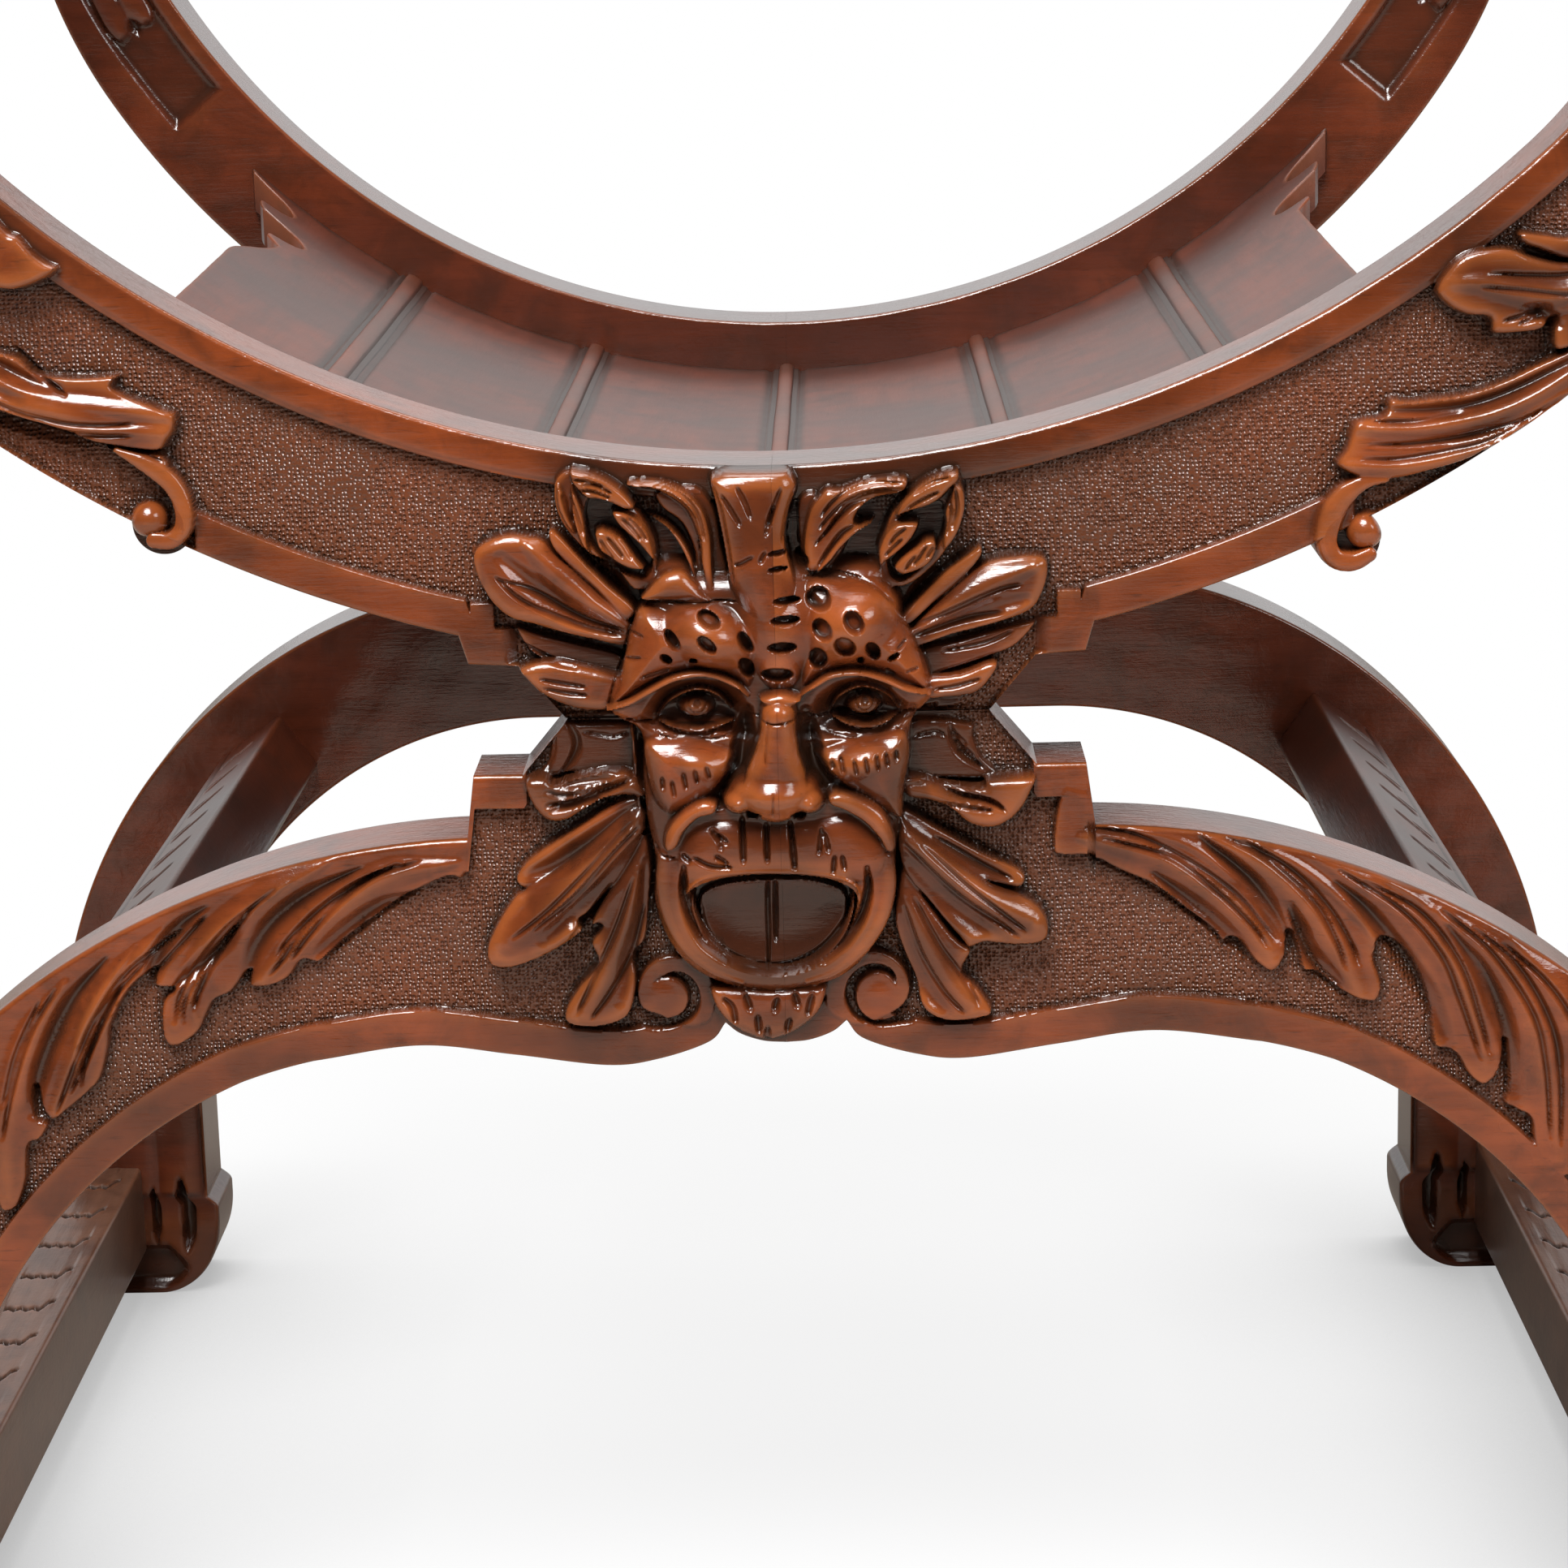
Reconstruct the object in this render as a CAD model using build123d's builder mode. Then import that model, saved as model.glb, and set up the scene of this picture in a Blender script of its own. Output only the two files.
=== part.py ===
from build123d import *
import os
from math import asin, cos, degrees, radians, sin, sqrt
from types import SimpleNamespace

# X-frame armchair in carved walnut: two solid frames, each a U over an arch,
# joined by a barrel seat, rails, runners and armrests. Millimetres, +Z up. The
# carved front frame faces -Y. The origin is on the floor under the middle.

# ---- driving dimensions -------------------------------------------------------
# depth
frame_pitch = 430.0          # front face of the front frame to that of the back frame
front_thick = 36.0
back_thick = 44.0
arm_overhang = 40.0          # armrest scroll ahead of the front frame

# heights
rim_z = 449.0                # lowest point of both U rims
seam_z = 363.0               # glued seam between upper and lower halves
arm_under_z = 690.0          # underside of the armrests
arm_thick = 26.0
post_top_z = 800.0           # back posts, under the crest rail

# front U: a circular arc that tightens into an upright arm
front_rim_r = 386.0
front_band = 69.0
front_turn_deg = 42.0
front_turn_r = 130.0
front_arm_w = 55.0

# back U
back_rim_r = 312.0
back_flare = 38.0            # outer radius over the rim's
back_band = 56.0
back_turn_deg = 57.0
back_turn_r = 150.0
post_w = 42.0

# arches and legs
haunch_x = 117.0             # centres of the haunch arcs, both frames
front_haunch_z = 63.0
front_haunch_r = 188.0
front_leg_w = 67.0
front_crown_deg = 31.0       # where the crown leaves the haunch arc
front_crown_z = 322.0        # crown beside the waist
back_haunch_z = 108.0
back_haunch_r = 164.0
back_leg_w = 63.0
back_crown_deg = 4.0
back_crown_z = 334.0

# lower edge of the front arch: crest, dip and cusp of its cyma, then the chin
apron_deg = 27.0
apron_crest = (128.0, 248.0)
apron_dip = (63.0, 239.5)
apron_cusp = (21.0, 254.0)
chin_z = 246.5
chin_bow = 1.5               # hollow beside the chin

# waist: the stepped block where U and arch meet
waist_half = 72.0
waist_step = 88.0
waist_edge = 105.0
waist_rise = 19.0
waist_slant = 3.0
waist_slope = 1.0

# feet
toe_h = 46.0
toe_lip = 5.0
toe_curl = 11.0
foot_in = 22.0               # rounding of the sole on the inner side
foot_out = 12.0              # and on the outer side

# carving of the front frame
ground_depth = 4.0           # stippled ground below the rims
top_rim_w = 12.0
low_rim_w = 13.0
ground_from_deg = 8.0
leaf_from_deg = 29.0
leaf_h = 5.0
leaf_w = 40.0
leaf_top_gap = 20.0
arch_ground_w = 34.0
arch_ground_r = 212.0
arch_ground_deg = (30.0, 62.0)   # start and sweep, from level
arch_leaf_w = 27.0
arch_leaf_r = 239.0
arch_leaf_deg = (8.0, 72.0)
scroll_r = 11.0
scroll_at = (197.0, 425.0)

# recessed panels up the arms of the back frame
arm_panel_w = 22.0
arm_panel_depth = 2.5
arm_panel_deg = 51.0
arm_panel_top_z = 770.0

# seat: six boards and five cover strips on two curved bearers
board_t = 13.0
seat_drop = 21.0             # seat surface below the rims
strip_pitch = 84.0           # middle strip to the next
strip_far = 163.5            # middle strip to the outer ones
strip_w = 12.0
strip_h = 2.5
seat_half = 212.0            # straight ends of the seat
ear_reach = 19.0             # scroll-cut ears at the back frame
ear_len = 96.0
ear_spur = 45.0
ear_notch = 5.0              # step at the start of an ear
ear_spur_reach = 11.0
ear_bite = 1.0               # hollow of the two bites
bearer_w = 20.0
bearer_t = 18.0
bearer_half = 200.0

# side rails, square to the arch, and runners near the floor
rail_deg = 35.0
rail_in_r = 176.0
rail_h = 29.0
rail_w = 34.0
runner_x = 311.0             # inner face
runner_w = 33.0
runner_z = 20.0
runner_h = 42.0
runner_lip = 3.0             # fillets beside the sunk carved top
runner_lip_w = 7.0

# armrests
arm_front_w = 66.0
arm_back_w = 50.0
arm_scroll_r = 20.0

# back
panel_t = 18.0
panel_gap = 4.0              # panel above the curve of the arms
field_depth = 3.0
field_inset = 24.0
crest_t = 28.0
crest_over = 14.0
crest_end_h = 44.0
crest_dip_h = 52.0
crest_mid_h = 102.0

# joinery
fit = 0.2                    # round tenons, tongues and dowels
seat_gap = 0.3               # between seat boards, strips and frames
tenon_len = 20.0
tenon_inset = 7.0
tongue_t = 8.0
tongue_len = 8.0
dowel_r = 5.0
dowel_len = 36.0
seam_dowel_x = 42.0
upper_dowel_z = 400.0
lower_dowel_z = 330.0
screw_r = 2.0
screw_head_r = 4.0
screw_len = 34.0
screw_x = (60.0, 140.0)
cut_over = 1.0               # cutters past the surface that they cut

# ---- places worked out from them ----------------------------------------------
depth = arm_overhang + frame_pitch + back_thick
front_y = -depth / 2 + arm_overhang
front_rear_y = front_y + front_thick
back_y = front_y + frame_pitch
arm_top_z = arm_under_z + arm_thick
strips = [-strip_far, -strip_pitch, 0.0, strip_pitch, strip_far]


def across(y):
    """Upright plane across the chair at depth y, seen from the front."""
    return Plane.XZ.offset(-y)


def on_arc(centre, r, angle, up):
    """Point at an angle from straight up (up = 1) or straight down (up = -1)."""
    return (centre[0] + r * sin(radians(angle)), centre[1] + up * r * cos(radians(angle)))


def drop(centre_z, r, x):
    """Height of a U-shaped arc at half-width x."""
    return centre_z - sqrt(r * r - x * x)


def upright(big_c, big_r, angle, x_out):
    """Arc that leaves a big arc at an angle and ends upright at x_out."""
    s = sin(radians(angle))
    r = (x_out - big_r * s) / (1 - s)
    return on_arc(big_c, big_r - r, angle, -1), r


def frame(y, thick, rim_r, outer_c, outer_r, turn_deg, turn_r, arm_w, top_z, leg):
    """Named sizes of one X frame."""
    rim_c = (0, rim_z + rim_r)
    turn_c = on_arc(rim_c, rim_r - turn_r, turn_deg, -1)
    in_x = turn_c[0] + turn_r
    out_c, out_r = upright(outer_c, outer_r, turn_deg, in_x + arm_w)
    return SimpleNamespace(
        y=y, rear=y + thick, mid=y + thick / 2, thick=thick, rim_c=rim_c, rim_r=rim_r,
        outer_c=outer_c, outer_r=outer_r, turn_deg=turn_deg, turn_c=turn_c, turn_r=turn_r,
        in_x=in_x, out_x=in_x + arm_w, out_c=out_c, out_r=out_r, top_z=top_z, leg=leg,
    )


def leg_shape(haunch_z, haunch_r, leg_w, crown_deg, crown_z):
    """Named sizes of one arch and its leg."""
    return SimpleNamespace(
        c=(haunch_x, haunch_z), r=haunch_r, crown_r=haunch_r + leg_w, crown_deg=crown_deg,
        crown_z=crown_z, in_x=haunch_x + haunch_r, out_x=haunch_x + haunch_r + leg_w,
    )


front = frame(
    front_y, front_thick, front_rim_r, (0, rim_z + front_rim_r), front_rim_r + front_band,
    front_turn_deg, front_turn_r, front_arm_w, arm_under_z,
    leg_shape(front_haunch_z, front_haunch_r, front_leg_w, front_crown_deg, front_crown_z),
)
back_outer_r = back_rim_r + back_flare
back = frame(
    back_y, back_thick, back_rim_r, (0, rim_z - back_band + back_outer_r), back_outer_r,
    back_turn_deg, back_turn_r, post_w, post_top_z,
    leg_shape(back_haunch_z, back_haunch_r, back_leg_w, back_crown_deg, back_crown_z),
)


def upper_half(f):
    """Outline of the right half of a U: rim, arm, outer edge and waist steps."""
    edge = (waist_edge + waist_slant, drop(f.outer_c[1], f.outer_r, waist_edge + waist_slant))
    edge_deg = degrees(asin(edge[0] / f.outer_r))
    turn_at = on_arc(f.rim_c, f.rim_r, f.turn_deg, -1)
    out_at = on_arc(f.outer_c, f.outer_r, f.turn_deg, -1)
    half_turn = (f.turn_deg + 90) / 2
    ThreePointArc((0, rim_z), on_arc(f.rim_c, f.rim_r, f.turn_deg / 2, -1), turn_at)
    ThreePointArc(turn_at, on_arc(f.turn_c, f.turn_r, half_turn, -1), (f.in_x, f.turn_c[1]))
    Polyline(
        (f.in_x, f.turn_c[1]), (f.in_x, f.top_z), (f.out_x, f.top_z), (f.out_x, f.out_c[1]),
    )
    ThreePointArc((f.out_x, f.out_c[1]), on_arc(f.out_c, f.out_r, half_turn, -1), out_at)
    ThreePointArc(out_at, on_arc(f.outer_c, f.outer_r, (f.turn_deg + edge_deg) / 2, -1), edge)
    Polyline(
        edge,
        (waist_edge, seam_z + waist_rise + waist_slope),
        (waist_step, seam_z + waist_rise),
        (waist_half, seam_z),
        (0, seam_z),
        (0, rim_z),
    )


def foot(leg):
    """Outline of a foot, from the outer side of the leg round to the inner side."""
    curl_z = toe_h - toe_curl
    out_lip = leg.out_x + toe_lip
    in_lip = leg.in_x - toe_lip
    k = cos(radians(45))
    Line((leg.out_x, leg.c[1]), (leg.out_x, toe_h))
    Spline((leg.out_x, toe_h), (out_lip, curl_z + toe_curl / 2), (out_lip, curl_z))
    Spline(
        (out_lip, curl_z),
        (leg.out_x - foot_out + (foot_out + toe_lip) * k, curl_z * (1 - k)),
        (leg.out_x - foot_out, 0),
        tangents=((0, -1), (-1, 0)),
    )
    Line((leg.out_x - foot_out, 0), (leg.in_x + foot_in, 0))
    Spline(
        (leg.in_x + foot_in, 0),
        (leg.in_x + foot_in - (foot_in + toe_lip) * k, curl_z * (1 - k)),
        (in_lip, curl_z),
        tangents=((-1, 0), (0, 1)),
    )
    Spline((in_lip, curl_z), (in_lip, curl_z + toe_curl / 2), (leg.in_x, toe_h))
    Line((leg.in_x, toe_h), (leg.in_x, leg.c[1]))


def lower_half(f):
    """Outline of the right half of an arch down to its foot, left open underneath."""
    leg = f.leg
    crown = (waist_edge + waist_slant, leg.crown_z)
    crown_at = on_arc(leg.c, leg.crown_r, leg.crown_deg, 1)
    heading = (-cos(radians(leg.crown_deg)), sin(radians(leg.crown_deg)))
    half = (leg.crown_deg + 90) / 2
    Polyline(
        (0, seam_z),
        (waist_half, seam_z),
        (waist_step, seam_z - waist_rise),
        (waist_edge, seam_z - waist_rise),
        crown,
    )
    TangentArc(crown_at, crown, tangent=heading)
    ThreePointArc(crown_at, on_arc(leg.c, leg.crown_r, half, 1), (leg.out_x, leg.c[1]))
    foot(leg)


def front_apron():
    """Lower edge of the front arch from the leg to the chin."""
    leg = front.leg
    apron_at = on_arc(leg.c, leg.r, apron_deg, 1)
    heading = (-cos(radians(apron_deg)), sin(radians(apron_deg)))
    ThreePointArc(
        (leg.in_x, leg.c[1]), on_arc(leg.c, leg.r, (apron_deg + 90) / 2, 1), apron_at,
    )
    Spline(apron_at, apron_crest, apron_dip, apron_cusp, tangents=(heading, (-1, 1)))
    ThreePointArc(apron_cusp, (apron_cusp[0] / 2, chin_z + chin_bow), (0, chin_z))
    Line((0, chin_z), (0, seam_z))


def back_apron():
    """Plain lower edge of the back arch."""
    leg = back.leg
    top = (leg.c[0], leg.c[1] + leg.r)
    ThreePointArc((leg.in_x, leg.c[1]), on_arc(leg.c, leg.r, 45, 1), top)
    Line(top, (0, top[1]))
    Line((0, top[1]), (0, seam_z))


def band_path(f, r, start_deg, top_z):
    """Line up the middle of a U band, from an angle to a height on the arm."""
    start = on_arc(f.rim_c, r, start_deg, -1)
    turn_at = on_arc(f.rim_c, r, f.turn_deg, -1)
    mid_x = (f.in_x + f.out_x) / 2
    centre, turn_r = upright(f.rim_c, r, f.turn_deg, mid_x)
    half_turn = (f.turn_deg + 90) / 2
    half_deg = (start_deg + f.turn_deg) / 2
    if start_deg < f.turn_deg:
        ThreePointArc(start, on_arc(f.rim_c, r, half_deg, -1), turn_at)
    ThreePointArc(turn_at, on_arc(centre, turn_r, half_turn, -1), (mid_x, centre[1]))
    Line((mid_x, centre[1]), (mid_x, top_z))


# ---- the carved mask, right half ----------------------------------------------
# each lump: centre x, centre z, half-width, half-height, turn, height above the face
mask_lumps = {
    "ground_leaves": (10, 345, 66, 62, 0, 5),
    "fan_leaf": (0, 431, 18, 17, 0, 11),
    "bud": (54, 426, 13, 20, -25, 14),
    "side_leaf": (74, 407, 28, 13, 22, 9),
    "temple_leaf": (70, 376, 20, 8, -8, 7),
    "forehead": (23, 391, 25, 22, 0, 20),
    "cheek": (29, 347, 17, 14, 0, 16),
    "jaw": (0, 291, 42, 30, 0, 13),
    "ear_leaf": (76, 333, 18, 8, 8, 8),
    "long_leaf": (74, 300, 29, 12, -45, 9),
    "beard_leaf": (60, 274, 22, 9, -55, 7),
    "volute": (38, 268, 12, 12, 0, 8),
    "chin_tuft": (0, 258, 18, 10, 0, 14),
}
mask_top = 0.62              # size of a lump's top against its foot
lip_line = [(0, 328), (20, 325), (38, 317), (45, 308), (34, 304), (0, 312)]
lip_h = 17.0
nose_foot = (0.0, 345.0, 15.0, 30.0)      # centre x, centre z, half-width, half-height
nose_tip = (0.0, 336.0, 10.0, 9.0)
nose_h = 27.0
mouth_at = (0.0, 290.0)
mouth_size = (27.0, 18.0)
mouth_depth = 8.0
eye_at = (27.0, 365.0)
eye_r = 9.0

relief_plane = across(front_y + ground_depth)
panel_z = back.turn_c[1] + panel_gap
post_mid_x = (back.in_x + back.out_x + tongue_len) / 2


def lump(foot_at, foot_size, top_at, top_size, turn, height):
    """Rounded boss on the front face, from an ellipse at its foot to one at its top."""
    with BuildSketch(relief_plane) as foot_shape:
        with Locations(foot_at):
            Ellipse(*foot_size, rotation=turn)
    with BuildSketch(across(front_y - height)) as top_shape:
        with Locations(top_at):
            Ellipse(*top_size, rotation=turn)
    loft([foot_shape.sketch, top_shape.sketch])


with BuildPart() as mask:
    for x, z, half_w, half_h, turn, height in mask_lumps.values():
        top_size = (half_w * mask_top, half_h * mask_top)
        lump((x, z), (half_w, half_h), (x, z), top_size, turn, height)
    lump(nose_foot[:2], nose_foot[2:], nose_tip[:2], nose_tip[2:], 0, nose_h)
    with BuildSketch(relief_plane) as lip_shape:
        Polygon(*lip_line, align=None)
    extrude(lip_shape.sketch, amount=ground_depth + lip_h)
    with Locations((eye_at[0], front_y, eye_at[1])):
        Sphere(eye_r)
    with BuildSketch(across(front_y + mouth_depth)) as mouth:
        with Locations(mouth_at):
            Ellipse(*mouth_size)
    extrude(mouth.sketch, amount=mouth_depth + nose_h, mode=Mode.SUBTRACT)
    split(bisect_by=Plane.YZ, keep=Keep.TOP)


def blind_dowels(f):
    """Holes for the dowels in the seam and in the centre joint of a frame."""
    hole_r = dowel_r + fit
    hole_len = dowel_len + 2 * fit
    with Locations((seam_dowel_x, f.mid, seam_z)):
        Cylinder(hole_r, hole_len, mode=Mode.SUBTRACT)
    for z in (upper_dowel_z, lower_dowel_z):
        with Locations(Location((0, f.mid, z), (0, 90, 0))):
            Cylinder(hole_r, hole_len, mode=Mode.SUBTRACT)


def bearer_screw_holes(f, deep):
    """Pilot holes for the bearer screws, on the face that carries the bearer."""
    for x in screw_x:
        with Locations(Location((x, deep, screw_height(f, x)), (90, 0, 0))):
            Cylinder(screw_r, 2 * (screw_len - bearer_w), mode=Mode.SUBTRACT)


def screw_height(f, x):
    """Height of a bearer screw at half-width x."""
    return drop(f.rim_c[1], f.rim_r + seat_drop + board_t + bearer_t / 2, x)


def rail_section(side, w, h):
    """Section of a haunch rail, or of its smaller tenon, square to the arch."""
    leg = back.leg
    inner = on_arc(leg.c, rail_in_r + rail_h / 2, rail_deg, 1)
    along = (cos(radians(rail_deg)), -sin(radians(rail_deg)))
    middle = (inner[0] + along[0] * rail_w / 2, inner[1] + along[1] * rail_w / 2)
    with Locations((side * middle[0], middle[1])):
        Rectangle(w, h, rotation=-side * rail_deg)


def runner_section(side, w, h):
    """Section of a runner, or of its smaller tenon."""
    with Locations((side * (runner_x + runner_w / 2), runner_z + runner_h / 2)):
        Rectangle(w, h)


def mortises(start_y):
    """Mortises for the rail and runner tenons in a right lower quarter."""
    hole = 2 * (fit - tenon_inset)
    with BuildSketch(across(start_y)) as holes:
        rail_section(1, rail_w + hole, rail_h + hole)
        runner_section(1, runner_w + hole, runner_h + hole)
    extrude(holes.sketch, amount=tenon_len + fit, mode=Mode.SUBTRACT)


def arm_tenon_section(side, room):
    """Section of the tenon that holds an armrest to its post."""
    with Locations((side * post_mid_x, arm_under_z + arm_thick / 2)):
        Rectangle(
            post_w - 2 * tenon_inset - tongue_len + 2 * room, arm_thick - 2 * tenon_inset + 2 * room,
        )


def other_side(piece):
    """Mirror image of a right-hand piece."""
    with BuildPart() as mirrored:
        mirror(piece.part, about=Plane.YZ)
    return mirrored


# ---- front frame --------------------------------------------------------------
with BuildPart() as front_upper_right:
    with BuildSketch(across(front.rear)) as outline:
        with BuildLine():
            upper_half(front)
        make_face()
    extrude(outline.sketch, amount=front_thick)
    with BuildSketch(relief_plane) as ground:
        with BuildLine() as ground_path:
            ground_r = front_rim_r + (top_rim_w + front_band - low_rim_w) / 2
            ground_ends = (ground_from_deg, front_turn_deg)
            ThreePointArc(
                on_arc(front.rim_c, ground_r, ground_ends[0], -1),
                on_arc(front.rim_c, ground_r, sum(ground_ends) / 2, -1),
                on_arc(front.rim_c, ground_r, ground_ends[1], -1),
            )
        trace(ground_path.line, line_width=front_band - top_rim_w - low_rim_w)
    extrude(ground.sketch, amount=ground_depth, mode=Mode.SUBTRACT)
    with BuildSketch(relief_plane) as arm_leaf:
        with BuildLine() as leaf_path:
            leaf_r = front_rim_r + front_band / 2
            band_path(front, leaf_r, leaf_from_deg, arm_under_z - leaf_top_gap)
        trace(leaf_path.line, line_width=leaf_w)
    extrude(arm_leaf.sketch, amount=ground_depth + leaf_h)
    with BuildSketch(across(front.rear)) as leaf_scroll:
        with Locations(scroll_at):
            Circle(scroll_r)
    extrude(leaf_scroll.sketch, amount=front_thick + leaf_h)
    add(mask.part)
    split(bisect_by=Plane.XY.offset(seam_z), keep=Keep.TOP)
    blind_dowels(front)
    bearer_screw_holes(front, front.rear)
    with Locations(((front.in_x + front.out_x) / 2, front.mid, arm_under_z)):
        Box(
            front_arm_w - 4 * tenon_inset,
            front_thick - 2 * tenon_inset,
            arm_thick - tenon_inset,
            align=(Align.CENTER, Align.CENTER, Align.MIN),
        )

with BuildPart() as front_lower_right:
    with BuildSketch(across(front.rear)) as outline:
        with BuildLine():
            lower_half(front)
            front_apron()
        make_face()
    extrude(outline.sketch, amount=front_thick)
    with BuildSketch(relief_plane) as arch_ground:
        with BuildLine() as arch_ground_path:
            CenterArc(front.leg.c, arch_ground_r, *arch_ground_deg)
        trace(arch_ground_path.line, line_width=arch_ground_w)
    extrude(arch_ground.sketch, amount=ground_depth, mode=Mode.SUBTRACT)
    with BuildSketch(relief_plane) as arch_leaf:
        with BuildLine() as arch_leaf_path:
            CenterArc(front.leg.c, arch_leaf_r, *arch_leaf_deg)
        trace(arch_leaf_path.line, line_width=arch_leaf_w)
    extrude(arch_leaf.sketch, amount=ground_depth + leaf_h)
    add(mask.part)
    split(bisect_by=Plane.XY.offset(seam_z), keep=Keep.BOTTOM)
    blind_dowels(front)
    mortises(front.rear)

# ---- back frame ---------------------------------------------------------------
with BuildPart() as back_upper_right:
    with BuildSketch(across(back.rear)) as outline:
        with BuildLine():
            upper_half(back)
        make_face()
    extrude(outline.sketch, amount=back_thick)
    with BuildSketch(across(back.y + arm_panel_depth)) as arm_panel:
        with BuildLine() as panel_path:
            band_path(back, back_rim_r + post_w / 2, arm_panel_deg, arm_panel_top_z)
        trace(panel_path.line, line_width=arm_panel_w)
    extrude(arm_panel.sketch, amount=arm_panel_depth, mode=Mode.SUBTRACT)
    blind_dowels(back)
    bearer_screw_holes(back, back.y)
    with BuildSketch(across(back.y + tenon_len + fit)) as arm_mortise:
        arm_tenon_section(1, fit)
    extrude(arm_mortise.sketch, amount=tenon_len + fit, mode=Mode.SUBTRACT)
    with Locations((back.in_x, back.mid, panel_z - fit)):
        Box(
            2 * (tongue_len + fit),
            tongue_t + 2 * fit,
            post_top_z,
            align=(Align.CENTER, Align.CENTER, Align.MIN),
            mode=Mode.SUBTRACT,
        )
    with Locations((post_mid_x, back.mid, post_top_z)):
        Box(
            post_w - 2 * tenon_inset - tongue_len,
            back_thick - 4 * tenon_inset,
            tenon_len,
            align=(Align.CENTER, Align.CENTER, Align.MIN),
        )

with BuildPart() as back_lower_right:
    with BuildSketch(across(back.rear)) as outline:
        with BuildLine():
            lower_half(back)
            back_apron()
        make_face()
    extrude(outline.sketch, amount=back_thick)
    blind_dowels(back)
    mortises(back.y + tenon_len + fit)
front_upper_left = other_side(front_upper_right)
front_lower_left = other_side(front_lower_right)
back_upper_left = other_side(back_upper_right)
back_lower_left = other_side(back_lower_right)


# ---- dowels -------------------------------------------------------------------
def dowels(f):
    """Seam dowels and centre dowels of one frame, a group of separate pins."""
    with BuildPart() as pins:
        for x in (-seam_dowel_x, seam_dowel_x):
            with Locations((x, f.mid, seam_z)):
                Cylinder(dowel_r, dowel_len)
        for z in (upper_dowel_z, lower_dowel_z):
            with Locations(Location((0, f.mid, z), (0, 90, 0))):
                Cylinder(dowel_r, dowel_len)
    return pins


front_dowels = dowels(front)
back_dowels = dowels(back)


# ---- seat ---------------------------------------------------------------------
seat_from = front.rear + seat_gap
seat_to = back.y - seat_gap


def seat_arc(y, below_top):
    """Centre height and radius of the seat, a given depth under its top, at y."""
    share = (y - front.rear) / (back.y - front.rear)
    centre = front.rim_c[1] + share * (back.rim_c[1] - front.rim_c[1])
    r = front.rim_r + share * (back.rim_r - front.rim_r)
    return centre, r + seat_drop + below_top


def seat_slice(y, x_from, x_to, top, bottom):
    """Closed slice of the barrel seat across the chair at depth y."""
    middle = (x_from + x_to) / 2
    with BuildSketch(across(y)) as slice_shape:
        with BuildLine():
            high_c, high_r = seat_arc(y, top)
            low_c, low_r = seat_arc(y, bottom)
            ends = [(x, drop(high_c, high_r, x)) for x in (x_from, middle, x_to)]
            feet = [(x, drop(low_c, low_r, x)) for x in (x_from, middle, x_to)]
            ThreePointArc(*ends)
            Line(ends[2], feet[2])
            ThreePointArc(*feet)
            Line(feet[0], ends[0])
        make_face()
    return slice_shape.sketch


def stave(y_from, y_to, x_from, x_to, top, bottom):
    """Ruled board of the barrel seat, from front to back."""
    near = seat_slice(y_from, x_from, x_to, top, bottom)
    far = seat_slice(y_to, x_from, x_to, top, bottom)
    loft([near, far], ruled=True)


def ear_cut(side):
    """Cut the end of the seat straight, with two bites that leave ears at the back."""
    start = seat_to - ear_len
    spur = seat_to - ear_spur
    far = seat_half + 4 * ear_reach
    corner = seat_half + ear_notch
    spur_x = seat_half + ear_spur_reach
    with BuildSketch(Plane.XY.offset(rim_z - bearer_t)) as beyond:
        with BuildLine():
            Line((side * far, seat_from - cut_over), (side * seat_half, seat_from - cut_over))
            Line((side * seat_half, seat_from - cut_over), (side * seat_half, start))
            Line((side * seat_half, start), (side * corner, start + ear_notch))
            ThreePointArc(
                (side * corner, start + ear_notch),
                (side * (corner - ear_bite), (start + ear_notch + spur) / 2),
                (side * spur_x, spur),
            )
            ThreePointArc(
                (side * spur_x, spur),
                (side * (spur_x + ear_bite), (spur + seat_to) / 2),
                (side * (seat_half + ear_reach), seat_to),
            )
            Polyline(
                (side * (seat_half + ear_reach), seat_to),
                (side * (seat_half + ear_reach), seat_to + cut_over),
                (side * far, seat_to + cut_over),
                (side * far, seat_from - cut_over),
            )
        make_face()
    extrude(beyond.sketch, amount=arm_under_z - rim_z, mode=Mode.SUBTRACT)


board_edges = [-(seat_half + ear_reach), *strips, seat_half + ear_reach]
seat_boards = []
for near_edge, far_edge in zip(board_edges[:-1], board_edges[1:]):
    x_from = near_edge + seat_gap / 2
    x_to = far_edge - seat_gap / 2
    with BuildPart() as board:
        stave(seat_from, seat_to, x_from, x_to, 0, board_t)
        if x_to > strip_far:
            ear_cut(1)
        if x_from < -strip_far:
            ear_cut(-1)
    seat_boards.append(board)

seat_strips = []
for x in strips:
    with BuildPart() as strip:
        stave(seat_from, seat_to, x - strip_w / 2, x + strip_w / 2, -strip_h, -seat_gap)
    seat_strips.append(strip)


def bearer(f, y_from, y_to):
    """Curved bearer screwed to the inside of a frame, under the seat boards."""
    with BuildPart() as batten:
        under = board_t + 2 * seat_gap
        stave(y_from, y_to, -bearer_half, bearer_half, under, board_t + bearer_t)
        for x in (-screw_x[1], -screw_x[0], *screw_x):
            with Locations(Location((x, (y_from + y_to) / 2, screw_height(f, abs(x))), (90, 0, 0))):
                Cylinder(screw_r + fit, 2 * bearer_w, mode=Mode.SUBTRACT)
    return batten


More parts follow.
